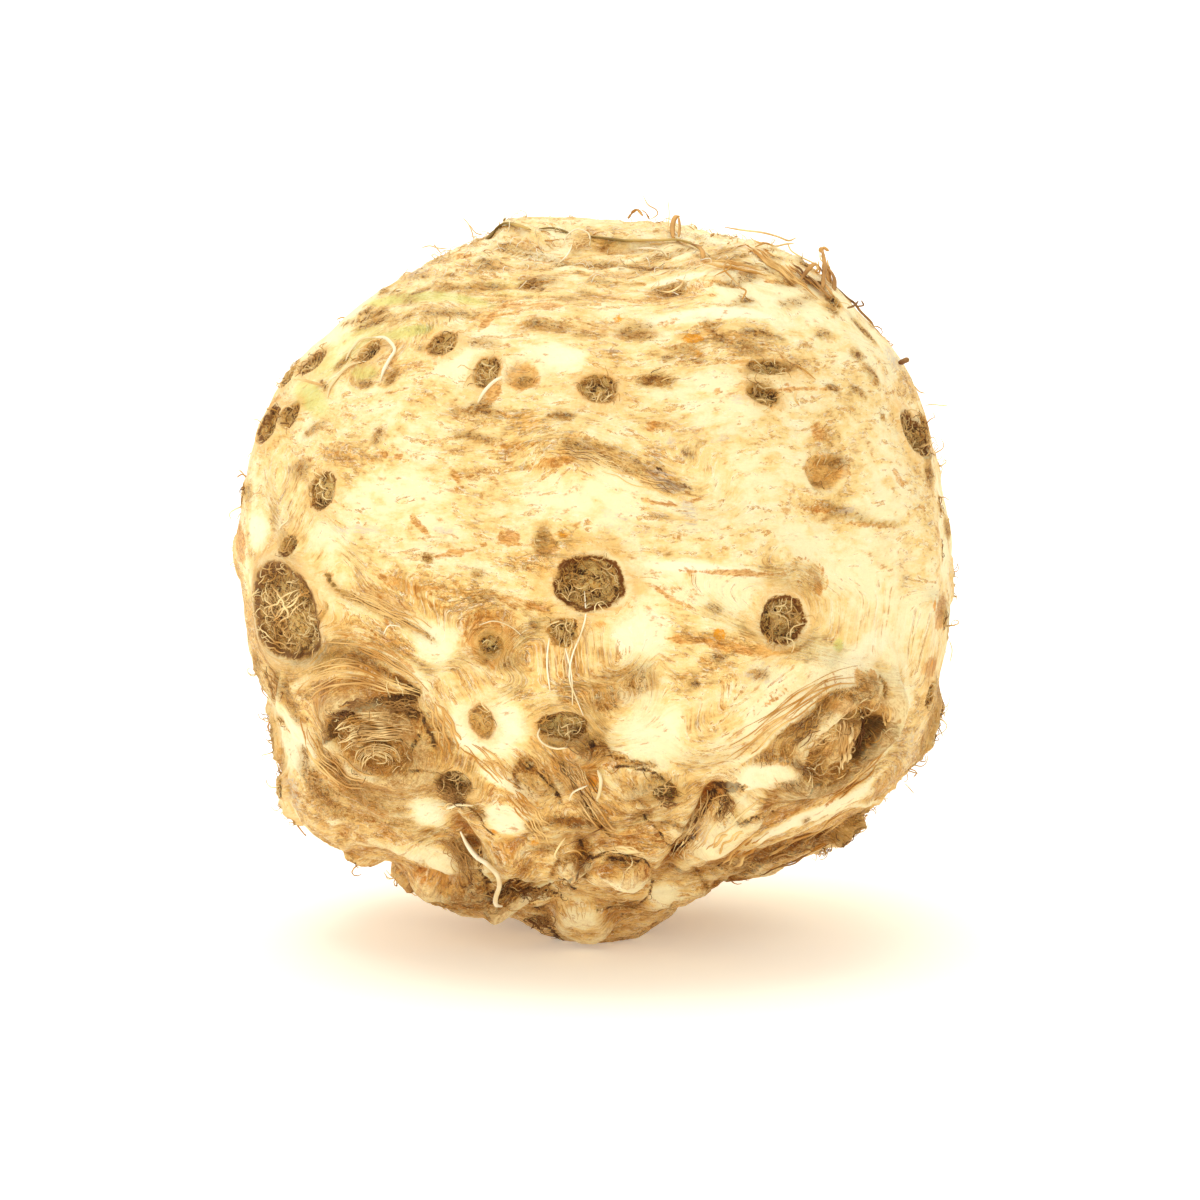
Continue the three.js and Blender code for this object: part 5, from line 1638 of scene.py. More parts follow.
    def fine_relief(self) -> Array:
        """Ridges along the grain, lumps, rough scabs and rough scar floors, in millimetres.

        Returns:
            One value a vertex.
        """
        _, down = self.angles()
        relief, places = self.relief, self.directions * GLOBE_REACH
        low = 0.6 + 0.9 * smooth_step(80, 125, down)
        ridges = self.noise.layered(self.grain / np.array([1.2, 1.2, 2.4]), 2)
        lumps = self.noise.layered(places / 8 + 31, 2)
        rough = self.noise.layered(places / 1.7 + 7, 2)
        knots = 1 - np.abs(self.noise.layered(self.grain / np.array([1.3, 1.3, 8.0]) + 11, 3)) * 3.2
        floor = 1 - smooth_step(0.75, 1.0, self.scars[:, 0])
        scab = np.clip(self.masks[:, SCAB.value], 0, 1)
        total = relief.ridge_lift * low * ridges + relief.lump_lift * low * lumps
        knotty = np.maximum(smooth_step(104, 128, down), self.fibrous - 0.2)
        total += relief.knot_lift * knotty * np.clip(knots, -1, 1)
        total += (relief.scab_lift * scab + relief.floor_lift * floor) * rough
        return total * smooth_step(0, 4, down) + self.line_relief()

    def make(self) -> bpy.types.Object:
        """The skin as an object, with its values and map kept on the mesh.

        Returns:
            The object.
        """
        mesh = bpy.data.meshes.new(NODE)
        mesh.from_pydata((self.points * MM).tolist(), [], self.quads.tolist())
        mesh.polygons.foreach_set("use_smooth", np.ones(len(self.quads), dtype=bool))
        self.keep(mesh, "scar", "FLOAT_VECTOR", self.scars)
        self.keep(mesh, "grain", "FLOAT_VECTOR", self.grain)
        # Groove depth and hollows go to the material, which paints shade and highlight from them.
        creases = np.column_stack([self.grooves, self.fibrous, self.hollows])
        self.keep(mesh, "relief", "FLOAT_VECTOR", creases)
        self.keep(mesh, "marks_a", "FLOAT_COLOR", self.masks[:, :4])
        self.keep(mesh, "marks_b", "FLOAT_COLOR", self.masks[:, 4:])
        layer = mesh.uv_layers.new(name="OFBake")
        layer.data.foreach_set("uv", self.map_corners.ravel())
        mesh.update()
        return link(bpy.data.objects.new(NODE, mesh))

    def keep(self, mesh: bpy.types.Mesh, name: str, kind: str, values: Array) -> None:
        """Keeps a row of values for each vertex on the mesh.

        Args:
            mesh: The mesh.
            name: What the values are called.
            kind: The attribute's data type.
            values: One row a vertex.
        """
        attribute = mesh.attributes.new(name, kind, "POINT")
        key = "color" if kind == "FLOAT_COLOR" else "vector"
        attribute.data.foreach_set(key, np.ascontiguousarray(values, np.float32).ravel())


# Rings of scabs below the crown: how far down in degrees, and how many scabs
SCAB_RINGS = ((19, 13), (24, 17), (29, 19), (34, 21), (39, 22), (45, 20))

# Marks strewn over the sides and back: kind, width and height in millimetres
STREWN_KINDS = ((SCAB, 10, 4), (STAIN, 12, 5), (SCAB, 7, 3.4), (PALE, 22, 12), (TAN, 30, 12), (SCURF, 16, 8))
STREWN_MARKS = 420


def ring_patches() -> list[Patch]:
    """Rows of small torn scabs where leaves grew, ringing the crown.

    Returns:
        The scabs and stains of all rings.
    """
    patches = []
    for ring, (down, count) in enumerate(SCAB_RINGS):
        for i in range(count):
            chance = [scatter(i + 40 * ring, seed) for seed in (31, 32, 33, 34, 35)]
            place = ((i + 0.5 * ring + 0.7 * chance[0]) * 360 / count, down + 4 * (chance[1] - 0.5))
            size = 0.4 + 0.8 * chance[2]
            turn, strength = 14 * (chance[4] - 0.5), 0.4 + 0.35 * chance[4]
            kind = SCAB if chance[3] > 0.35 else STAIN
            patches.append(Patch(place, 6.5 * size, 2.2 * size, turn, kind, strength))
    return patches


def strewn_patches() -> list[Patch]:
    """Small scabs, stains and pale areas over the sides and back, by rule.

    Returns:
        The marks that lie clear of the front.
    """
    patches = []
    for i in range(STREWN_MARKS):
        around = (i * GOLDEN_TURN + 180) % 360 - 180
        down = math.degrees(math.acos(0.97 - 1.72 * (i + 0.5) / STREWN_MARKS))
        if abs(around) < 62 + 12 * scatter(i, 21):
            continue
        kind, wide, high = STREWN_KINDS[int(len(STREWN_KINDS) * scatter(i, 22))]
        size = 0.45 + 0.9 * scatter(i, 23)
        turn = 24 * (scatter(i, 24) - 0.5)
        patches.append(Patch((around, down), wide * size, high * size, turn, kind, 0.5 + 0.5 * scatter(i, 25)))
    return patches


def halo_patches(globe: Globe) -> list[Patch]:
    """The stained skin round the bosses of the sides and back.

    Args:
        globe: The root's form.

    Returns:
        Two marks for each such boss.
    """
    patches = []
    for boss in globe.bosses():
        if boss.width >= GRAINED_BOSS and abs(boss.at[0]) > globe.strewn.clear_of_front:
            patches.append(Patch(boss.at, boss.width, boss.height, boss.turn, TAN, 0.85))
            patches.append(Patch(boss.at, boss.width * 0.75, boss.height * 0.7, boss.turn, SCAB, 0.5))
    return patches


def link(obj: bpy.types.Object) -> bpy.types.Object:
    """Puts an object into the scene."""
    bpy.context.scene.collection.objects.link(obj)
    return obj


# ----------------------------------------------------------------------------------------------------------
# Materials
# ----------------------------------------------------------------------------------------------------------


def tint(code: str) -> Colour:
    """A colour written as six hexadecimal digits, as the shader wants it."""
    shares = [int(code[i : i + 2], 16) / 255 for i in (0, 2, 4)]
    return tuple(s / 12.92 if s <= 0.04045 else ((s + 0.055) / 1.055) ** 2.4 for s in shares)


Socket = bpy.types.NodeSocket
Value = Socket | float | tuple
METRE = (1000.0, 1000.0, 1000.0)  # millimetres, which the patterns are laid out in


class Graph:
    """Builds a tree of shader nodes with short calls."""

    def __init__(self, tree: bpy.types.NodeTree) -> None:
        """Starts with an empty tree."""
        self.tree = tree
        tree.nodes.clear()

    def add(self, kind: str, inputs: dict | None = None, **settings) -> bpy.types.Node:
        """Adds a node with its settings and inputs, each a value or a socket to link from.

        Args:
            kind: The node's type.
            inputs: Values or sockets by name or number.
            settings: The node's own settings.

        Returns:
            The node.
        """
        node = self.tree.nodes.new(kind)
        for name, value in settings.items():
            setattr(node, name, value)
        for key, value in (inputs or {}).items():
            self.feed(node.inputs[key], value)
        return node

    def feed(self, socket: Socket, value: Value) -> None:
        """Links a socket or sets its constant.

        Args:
            socket: The input.
            value: What it gets.
        """
        if isinstance(value, bpy.types.NodeSocket):
            self.tree.links.new(value, socket)
        elif isinstance(value, tuple) and len(value) == 3 and socket.type == "RGBA":
            socket.default_value = (*value, 1.0)
        else:
            socket.default_value = value

    def math(self, operation: str, a: Value, b: Value = 0.0) -> Socket:
        """A sum of one kind or another."""
        return self.add("ShaderNodeMath", {0: a, 1: b}, operation=operation).outputs[0]

    def times(self, *values: Value) -> Socket:
        """The product of several values.

        Args:
            values: Numbers or sockets.

        Returns:
            The product's socket.
        """
        result = values[0]
        for value in values[1:]:
            result = self.math("MULTIPLY", result, value)
        return result

    def plus(self, *values: Value) -> Socket:
        """The sum of several values.

        Args:
            values: Numbers or sockets.

        Returns:
            The sum's socket.
        """
        result = values[0]
        for value in values[1:]:
            result = self.math("ADD", result, value)
        return result

    def step(self, value: Value, low: float, high: float, bottom: float = 0.0, top: float = 1.0) -> Socket:
        """Bottom at low, top at high and an even ramp between.

        Args:
            value: What the ramp is read at.
            low: Where the ramp starts.
            high: Where it ends.
            bottom: Its first value.
            top: Its last value.

        Returns:
            The ramp's socket.
        """
        node = self.add("ShaderNodeMapRange", {"Value": value, "From Min": low, "From Max": high, "To Min": bottom,
                                               "To Max": top}, interpolation_type="SMOOTHSTEP")
        return node.outputs[0]

    def noise(
        self, vector: Socket, scale: float, detail: float = 3.0, rough: float = 0.55, bend: float = 0.0
    ) -> Socket:
        """Noise spread over the whole of 0 to 1.

        Args:
            vector: Where the noise is read.
            scale: Lumps to a unit.
            detail: How many finer layers it has.
            rough: How strong they are.
            bend: How far it is distorted.

        Returns:
            The noise's socket.
        """
        inputs = {"Vector": vector, "Scale": scale, "Detail": detail, "Roughness": rough, "Distortion": bend}
        value = self.add("ShaderNodeTexNoise", inputs).outputs["Fac"]
        return self.add("ShaderNodeMapRange", {"Value": value, "From Min": 0.3, "From Max": 0.7}).outputs[0]

    def lines(self, value: Socket, width: float, middle: float = 0.5) -> Socket:
        """Thin lines where a noise passes through its middle."""
        off = self.math("ABSOLUTE", self.math("SUBTRACT", value, middle))
        return self.step(off, 0.0, width, 1.0, 0.0)

    def mix(self, factor: Value, a: Value, b: Value, mode: str = "MIX") -> Socket:
        """Two colours mixed.

        Args:
            factor: Share of the second colour.
            a: First colour.
            b: Second colour.
            mode: How they blend.

        Returns:
            The mixed colour's socket.
        """
        node = self.add("ShaderNodeMix", data_type="RGBA", blend_type=mode, clamp_factor=True)
        for index, value in ((0, factor), (6, a), (7, b)):
            self.feed(node.inputs[index], value)
        return node.outputs[2]

    def stretched(self, vector: Socket, scale: tuple[float, float, float], shift: float = 0.0) -> Socket:
        """A vector scaled along each axis and shifted."""
        inputs = {0: vector, 1: scale, 2: (shift, shift * 0.7, shift * 1.3)}
        return self.add("ShaderNodeVectorMath", inputs, operation="MULTIPLY_ADD").outputs[0]

    def channels(self, name: str) -> tuple[Socket, Socket, Socket, Socket]:
        """The four channels of a value kept on the mesh.

        Args:
            name: What the value is called.

        Returns:
            Four sockets.
        """
        node = self.add("ShaderNodeAttribute", attribute_name=name)
        split = self.add("ShaderNodeSeparateColor", {0: node.outputs["Color"]})
        return (*split.outputs[:3], node.outputs["Alpha"])

    def parts(self, name: str) -> tuple[Socket, Socket, Socket]:
        """The three parts of a vector kept on the mesh."""
        split = self.add("ShaderNodeSeparateXYZ", {0: self.vector(name)})
        return tuple(split.outputs)

    def vector(self, name: str) -> Socket:
        """A vector kept on the mesh."""
        return self.add("ShaderNodeAttribute", attribute_name=name).outputs["Vector"]


@dataclass(frozen=True)
class SkinFinish:
    """Colours and roughness of the skin."""

    cream: Colour = tint("FFF1C2")
    pale: Colour = tint("FFF9DE")
    warm: Colour = tint("FCDB92")
    sand: Colour = tint("F3BE66")
    tan: Colour = tint("E09C3C")
    ochre: Colour = tint("D8861A")
    brown: Colour = tint("B06C1C")
    umber: Colour = tint("7A430C")
    # Darkest brown: for deep dirt and scar gaps, and for painted shade in the deepest creases.
    darkest_brown: Colour = tint("402208")
    straw: Colour = tint("FAD88A")
    ash: Colour = tint("DFCFBA")
    green: Colour = tint("D8DC74")
    orange: Colour = tint("F2A012")
    gold: Colour = tint("FFEBC0")
    shade: Colour = tint("C89858")
    rough: float = 0.62
    glow: float = 0.1
    sheen: float = 0.3
    bump: float = 0.42


@dataclass
class SkinLook:
    """The skin's material: cream ground, grain, tears, scabs, stains and scar floors, with shade painted into
    hollows and creases and highlight onto ridges.
    """

    finish: SkinFinish = field(default_factory=SkinFinish)

    def make(self) -> bpy.types.Material:
        """The finished material.

        Returns:
            The material.
        """
        material = bpy.data.materials.new("celeriac_skin")
        material.use_nodes = True
        graph = Graph(material.node_tree)
        self.read(graph)
        colour = self.ground(graph)
        colour = self.stained(graph, colour)
        colour = self.worn(graph, colour)
        colour = self.scabby(graph, colour)
        colour = self.shaded(graph, colour)
        colour = self.scarred(graph, colour)
        shader = graph.add("ShaderNodeBsdfPrincipled", {
            "Base Color": colour, "Roughness": self.roughness(graph), "Normal": self.normal(graph),
            "Subsurface Weight": self.finish.glow, "Subsurface Radius": (1.0, 0.6, 0.3),
            "Subsurface Scale": 1.2 * MM, "Specular IOR Level": self.finish.sheen,
        })
        graph.add("ShaderNodeOutputMaterial", {"Surface": shader.outputs[0]})
        return material

    def read(self, g: Graph) -> None:
        """Reads the places in millimetres and the values kept on the mesh, and draws the shared noises.

        Args:
            g: The graph that the nodes go into.
        """
        coordinates = g.add("ShaderNodeTexCoord").outputs["Object"]
        self.place = g.stretched(coordinates, METRE)
        self.grain = g.vector("grain")
        self.q, self.tone, self.size = g.parts("scar")
        self.groove, self.fibrous, self.hollow = g.parts("relief")
        self.scab, self.stain, self.tan, self.dirt_and_shade = g.channels("marks_a")
        self.green, self.orange, self.scurf, self.pale = g.channels("marks_b")
        self.fibrous = g.times(self.fibrous, g.plus(1.0, g.times(self.pale, -0.6)))
        self.fine = g.noise(self.place, 1.0, 5, 0.75)
        self.soft = g.noise(self.place, 0.11, 4, 0.6)
        self.clouds = g.noise(g.stretched(self.place, (1.0, 1.0, 1.7), 61.0), 0.3, 5, 0.65)
        self.along = g.noise(g.stretched(self.grain, (1.0, 1.0, 0.5)), 1.0, 5, 0.65, 0.5)
        self.threads = g.noise(g.stretched(self.grain, (2.0, 2.0, 1.5), 9.0), 1.0, 4, 0.7, 0.3)
        self.flecks = g.noise(g.stretched(self.grain, (5.0, 5.0, 1.2), 70.0), 1.0, 4, 0.75)
        self.clumps = g.noise(g.stretched(self.place, (1.0, 1.0, 1.3), 3.0), 0.5, 5, 0.78)
        self.grit = g.noise(g.stretched(self.place, (1.0, 1.0, 1.0), 13.0), 1.4, 3, 0.7)
        tangle = g.lines(g.noise(self.place, 0.8, 3, 0.6, 1.6), 0.16)
        finer = g.lines(g.noise(g.stretched(self.place, (1.0, 1.0, 1.0), 23.0), 1.2, 2, 0.5, 1.2), 0.2)
        self.tangle = g.math("MAXIMUM", tangle, finer)
        self.gashes = g.lines(g.noise(g.stretched(self.place, (1.0, 1.0, 1.5), 47.0), 0.8, 3, 0.65, 1.0), 0.26)
        self.wobble = g.plus(g.times(self.clumps, 0.5), g.times(self.fine, 0.3), g.times(self.along, 0.2), -0.5)
        tear = g.noise(g.stretched(self.grain, (1.9, 1.9, 0.75), 33.0), 1.0, 4, 0.62, 0.9)
        self.tears = g.lines(tear, 0.14)
        self.torn = g.lines(tear, 0.4)
        # Pale lines beside the tears, where the torn flakes' lips catch the light.
        self.lip_highlights = g.lines(tear, 0.12, 0.7)
        self.hairline = g.lines(g.noise(g.stretched(self.grain, (2.6, 2.6, 1.1), 51.0), 1.0, 3, 0.6, 0.6), 0.16)
        plates = g.noise(g.stretched(self.grain, (1.7, 1.7, 0.75), 17.0), 1.0, 6, 0.7, 0.5)
        self.plates = g.plus(plates, g.times(self.tan, 0.24), g.times(self.scab, 0.3), g.times(self.pale, -0.2))

    def ragged(self, g: Graph, mask: Socket, low: float, high: float, spread: float = 0.9) -> Socket:
        """A mask with a ragged edge, 1 where the mask is."""
        value = g.plus(mask, g.times(self.wobble, spread))
        return g.times(g.step(value, low, high), g.step(mask, 0.02, 0.25))

    def ground(self, g: Graph) -> Socket:
        """Cream with warm, sandy and tan clouds and streaks, and torn lines along the grain; hollows painted warmer
        as shade, and pale lips beside the tears and paler thread tops as painted highlight.

        Args:
            g: The graph that the nodes go into.

        Returns:
            The new colour.
        """
        f = self.finish
        ripe = g.plus(g.times(self.soft, 0.4), g.times(self.clouds, 0.34), g.times(self.along, 0.26))
        ripe = g.plus(ripe, g.times(self.tan, 0.3))
        # Hollows are painted warmer and browner, a painted shade.
        ripe = g.plus(ripe, g.times(self.pale, -0.22), g.times(self.scab, 0.1), g.times(self.hollow, 0.35), -0.09)
        self.ripe = ripe
        colour = g.mix(g.step(ripe, 0.22, 0.54), f.cream, f.warm)
        colour = g.mix(g.times(g.step(ripe, 0.5, 0.8), 0.95), colour, f.sand)
        colour = g.mix(g.times(g.step(ripe, 0.76, 1.1), 0.8), colour, f.tan)
        weak = g.step(g.plus(ripe, g.times(self.flecks, 0.3)), 0.55, 0.95)
        colour = g.mix(g.times(self.torn, weak, 0.45), colour, f.sand)
        colour = g.mix(g.times(self.tears, weak, g.step(self.flecks, 0.4, 0.8), 0.8), colour, f.brown)
        # Pale lips beside the tears: partly the pale torn edges of the flakes, partly painted highlight on them.
        colour = g.mix(g.times(self.lip_highlights, weak, g.step(self.flecks, 0.3, 0.7), 0.6), colour, f.pale)
        plate = g.step(self.plates, 0.72, 0.78)
        colour = g.mix(g.times(plate, 0.6), colour, g.mix(g.step(self.grit, 0.3, 0.6), f.tan, f.warm))
        core = g.times(g.step(self.plates, 0.9, 0.96), g.step(self.grit, 0.65, 0.45))
        colour = g.mix(g.times(core, 0.8), colour, f.brown)
        outline = g.times(g.lines(self.plates, 0.07, 0.76), g.step(self.flecks, 0.3, 0.5), 0.8)
        colour = g.mix(outline, colour, f.brown)
        brink = g.times(g.lines(self.plates, 0.08, 0.64), g.step(self.flecks, 0.4, 0.6), 0.7)
        colour = g.mix(brink, colour, f.pale)
        thin = g.times(self.hairline, g.step(g.plus(ripe, g.times(self.fine, 0.25)), 0.6, 1.0), 0.35)
        colour = g.mix(thin, colour, g.mix(self.fine, f.tan, f.brown))
        # Painted highlight: the tops of the threads, which the bump raises, are paler on riper ground.
        grain = g.times(g.step(self.threads, 0.7, 1.0), g.step(ripe, 0.35, 0.6), 0.45)
        colour = g.mix(grain, colour, f.pale)
        pale = g.times(g.step(g.plus(self.pale, g.times(self.soft, 0.5)), 0.75, 1.25), 0.45)
        return g.mix(pale, colour, f.pale)

    def stained(self, g: Graph, colour: Socket) -> Socket:
        """Green, ochre and orange stains, and flecks.

        Args:
            g: The graph that the nodes go into.
            colour: The colour so far.

        Returns:
            The new colour.
        """
        f = self.finish
        green = g.times(g.step(g.plus(self.green, g.times(self.soft, 0.4)), 0.35, 1.1), 0.6)
        colour = g.mix(green, colour, f.green)
        stain = self.ragged(g, self.stain, 0.4, 0.75, 1.3)
        colour = g.mix(g.times(stain, 0.75), colour, g.mix(g.step(self.flecks, 0.25, 0.75), f.ochre, f.sand))
        colour = g.mix(g.times(stain, self.hairline, 0.7), colour, f.brown)
        spots = g.noise(g.stretched(self.grain, (2.6, 2.6, 0.8), 40.0), 1.0, 4, 0.7)
        spotty = g.times(g.step(spots, 0.68, 0.9), g.step(self.clouds, 0.3, 0.7), 0.65)
        colour = g.mix(spotty, colour, g.mix(self.fine, f.ochre, f.brown))
        blush = self.ragged(g, self.orange, 0.45, 0.8, 1.8)
        return g.mix(g.times(blush, g.step(self.grit, 0.1, 0.5, 0.4, 0.95)), colour, f.orange)

    def worn(self, g: Graph, colour: Socket) -> Socket:
        """The golden floors of old scars, with dark gaps and straw threads.

        Args:
            g: The graph that the nodes go into.
            colour: The colour so far.

        Returns:
            The new colour.
        """
        f = self.finish
        floor = g.mix(g.step(self.clumps, 0.3, 0.7), f.tan, f.sand)
        floor = g.mix(g.times(g.step(g.plus(self.clumps, self.fine), 0.8, 0.55), 0.8), floor, f.brown)
        floor = g.mix(g.times(self.hairline, g.step(self.clumps, 0.7, 0.4), 0.8), floor, f.umber)
        floor = g.mix(g.times(self.tangle, g.step(self.clumps, 0.4, 0.7), 0.8), floor, f.straw)
        edge = g.plus(g.times(self.q, 1.1), g.times(self.wobble, 0.5))
        return g.mix(g.times(g.step(edge, 1.1, 0.85), 0.55), colour, floor)

    def scabby(self, g: Graph, colour: Socket) -> Socket:
        """Torn brown skin with dark gaps and straw threads, dirt and painted shade in the grooves and clefts, and
        pale scurf.

        Args:
            g: The graph that the nodes go into.
            colour: The colour so far.

        Returns:
            The new colour.
        """
        f = self.finish
        crumbs = g.plus(g.times(self.fine, 0.45), g.times(self.clumps, 0.3), g.times(self.flecks, 0.25), -0.55)
        worn = g.times(g.plus(self.scab, g.times(crumbs, 1.9)), g.step(self.scab, 0.02, 0.3))
        halo = g.times(g.step(g.plus(self.scab, g.times(self.wobble, 1.2)), 0.0, 0.6), g.step(self.scab, 0.01, 0.2))
        colour = g.mix(g.times(halo, 0.4), colour, g.mix(self.grit, f.sand, f.warm))
        scab = g.step(worn, 0.5, 0.62)
        deep = g.step(worn, 1.0, 1.1)
        colour = g.mix(g.times(scab, 0.6), colour, g.mix(g.step(self.flecks, 0.3, 0.7), f.tan, f.sand))
        colour = g.mix(g.times(deep, 0.8), colour, g.mix(g.step(self.grit, 0.3, 0.7), f.umber, f.brown))
        strokes = g.math("MAXIMUM", self.hairline, g.times(self.gashes, g.step(self.flecks, 0.4, 0.7)))
        colour = g.mix(g.times(scab, strokes, 0.85), colour, f.umber)
        colour = g.mix(g.times(deep, g.step(self.fine, 0.42, 0.25), 0.85), colour, f.darkest_brown)
        thread = g.times(g.step(worn, 0.4, 0.55), self.tangle, g.step(self.clumps, 0.5, 0.7), 0.6)
        colour = g.mix(thread, colour, f.cream)
        # Dark marks that are partly dirt and partly painted shade in the clefts and under the front lip.
        dirt_and_shade = self.ragged(g, self.dirt_and_shade, 0.5, 0.68, 1.5)
        colour = g.mix(g.times(dirt_and_shade, 0.85), colour, g.mix(g.step(self.grit, 0.4, 0.8), f.umber, f.tan))
        colour = g.mix(g.times(dirt_and_shade, self.tangle, g.step(self.clumps, 0.3, 0.6), 0.8), colour, f.straw)
        colour = g.mix(g.times(self.ragged(g, self.dirt_and_shade, 0.72, 0.88, 1.3), 0.9), colour, f.darkest_brown)
        scurf = g.times(self.ragged(g, self.scurf, 0.35, 0.95, 1.6), g.step(self.threads, 0.3, 0.7), 0.7)
        return g.mix(scurf, colour, f.ash)

    def shaded(self, g: Graph, colour: Socket) -> Socket:
        """Painted shade: browner in grooves, hollows and between the threads of fibrous skin, darkest in the
        deepest creases, where it is partly dirt; painted highlight: paler on ridges and thread tops.

        Args:
            g: The graph that the nodes go into.
            colour: The colour so far.

        Returns:
            The new colour.
        """
        f = self.finish
        # Painted shade: grooves and hollows of the relief are multiplied by the shade colour, and the deepest go
        # darkest brown, partly dirt lodged there; pale skin takes less of it.
        crease_shade = g.plus(g.times(self.groove, 0.1), g.times(self.hollow, 1.6), g.times(self.wobble, 1.2))
        crease_shade = g.plus(crease_shade, g.times(self.pale, -0.5))
        colour = g.mix(g.step(crease_shade, 0.05, 0.9), colour, g.mix(1.0, colour, f.shade, "MULTIPLY"))
        colour = g.mix(g.times(g.step(crease_shade, 0.7, 1.7), 0.9), colour, g.mix(1.0, colour, f.shade, "MULTIPLY"))
        colour = g.mix(g.times(g.step(crease_shade, 1.2, 2.4), 0.8), colour, f.darkest_brown)
        # Painted highlight: ridges that stand above their surroundings are lightened to cream.
        ridge_highlight = g.step(g.plus(self.hollow, g.times(self.wobble, -0.15)), -0.1, -0.45)
        colour = g.mix(g.times(ridge_highlight, 0.4), colour, f.cream)
        # Painted shade between the threads of fibrous skin and in its low clumps, where the bump sinks them; the
        # golden tint is the skin's own colour.
        gaps = g.step(g.plus(g.times(self.threads, 0.65), g.times(self.fine, 0.35)), 0.42, 0.18)
        colour = g.mix(g.times(self.fibrous, 0.7), colour, g.mix(1.0, colour, f.gold, "MULTIPLY"))
        colour = g.mix(g.times(gaps, self.fibrous, 0.7), colour, g.mix(1.0, colour, f.shade, "MULTIPLY"))
        clumped = g.step(self.clumps, 0.7, 0.25)
        colour = g.mix(g.times(clumped, self.fibrous, 0.4), colour, g.mix(1.0, colour, f.shade, "MULTIPLY"))
        colour = g.mix(g.times(self.hairline, self.fibrous, g.plus(0.3, g.times(clumped, 0.6))), colour, f.brown)
        colour = g.mix(g.times(self.gashes, g.step(self.fibrous, 0.4, 0.9), clumped, 0.8), colour, f.brown)
        # Painted highlight on the tops of the threads, where the bump raises them.
        edges = g.step(g.plus(g.times(self.threads, 0.65), g.times(self.fine, 0.35)), 0.62, 0.85)
        return g.mix(g.times(edges, self.fibrous, 0.45), colour, f.straw)

    def scarred(self, g: Graph, colour: Socket) -> Socket:
        """Scar floors of tangled fibres over dark gaps, in a thin dark ring, with golden skin outside.

        Args:
            g: The graph that the nodes go into.
            colour: The colour so far.

        Returns:
            The new colour.
        """
        f = self.finish
        small = g.step(self.size, 4.2, 2.4)
        big = g.plus(1.0, g.times(small, -1.0))
        rough = g.plus(g.times(self.fine, 0.4), g.times(g.noise(self.place, 0.45, 3, 0.6), 0.6), -0.5)
        ragged = g.times(self.q, g.plus(1.08, g.times(small, 0.16)))
        ragged = g.plus(ragged, g.math("DIVIDE", g.times(rough, g.plus(1.5, g.times(small, 1.9))), self.size))
        strong = g.step(self.tone, 0.45, 0.65)
        halo = g.plus(self.q, g.times(self.wobble, 1.3))
        colour = g.mix(g.times(g.step(halo, 1.9, 0.95), g.plus(0.12, g.times(strong, 0.55))), colour, f.sand)
        colour = g.mix(g.times(g.step(ragged, 1.35, 1.0), strong, g.plus(0.3, g.times(small, 0.4))), colour, f.tan)
        rim = g.times(g.step(ragged, 1.02, 1.1), g.step(ragged, 1.3, 1.15))
        rim = g.times(rim, strong, g.step(self.along, 0.3, 0.6), big)
        colour = g.mix(g.times(rim, 0.5), colour, f.cream)
        floor = g.mix(g.step(self.clumps, 0.1, 0.4), f.umber, f.brown)
        floor = g.mix(g.times(g.step(self.clumps, 0.34, 0.6), 0.9), floor, f.tan)
        floor = g.mix(g.times(g.step(self.grit, 0.5, 0.7), g.step(self.clumps, 0.3, 0.6), 0.85), floor, f.sand)
        bright = g.times(g.step(ragged, 0.95, 0.5), g.step(self.fine, 0.45, 0.62), 0.85)
        floor = g.mix(bright, floor, f.straw)
        gaps = g.step(g.plus(g.times(self.clumps, 0.6), g.times(self.fine, 0.6)), 0.53, 0.43)
        floor = g.mix(g.times(gaps, 0.95), floor, f.darkest_brown)
        floor = g.mix(g.times(self.tangle, g.step(self.clumps, 0.3, 0.55), 0.8), floor, f.straw)
        # Where the dirt-and-shade mark is strong the scar floor goes darkest brown.
        floor = g.mix(g.times(g.step(self.dirt_and_shade, 0.5, 1.0), g.step(self.fine, 0.6, 0.45), 0.85), floor, f.darkest_brown)
        colour = g.mix(g.times(g.step(ragged, 1.0, 0.92), strong, 0.97), colour, floor)
        ring = g.times(g.step(ragged, 0.84, 0.95), g.step(ragged, 1.08, 1.0))
        ring = g.times(ring, strong, g.plus(0.4, g.times(big, 0.6)))
        colour = g.mix(g.times(ring, g.step(self.clumps, 0.2, 0.5, 0.3, 1.0)), colour, f.umber)
        second = g.times(g.step(ragged, 0.6, 0.66), g.step(ragged, 0.76, 0.7))
        second = g.times(second, strong, big, g.step(self.clumps, 0.4, 0.7))
        return g.mix(g.times(second, 0.6), colour, f.umber)

    def roughness(self, g: Graph) -> Socket:
        """Cream skin is a little glossier than the scabs."""
        return g.plus(self.finish.rough, g.times(self.scab, 0.2), g.times(self.fine, 0.12), -0.04)

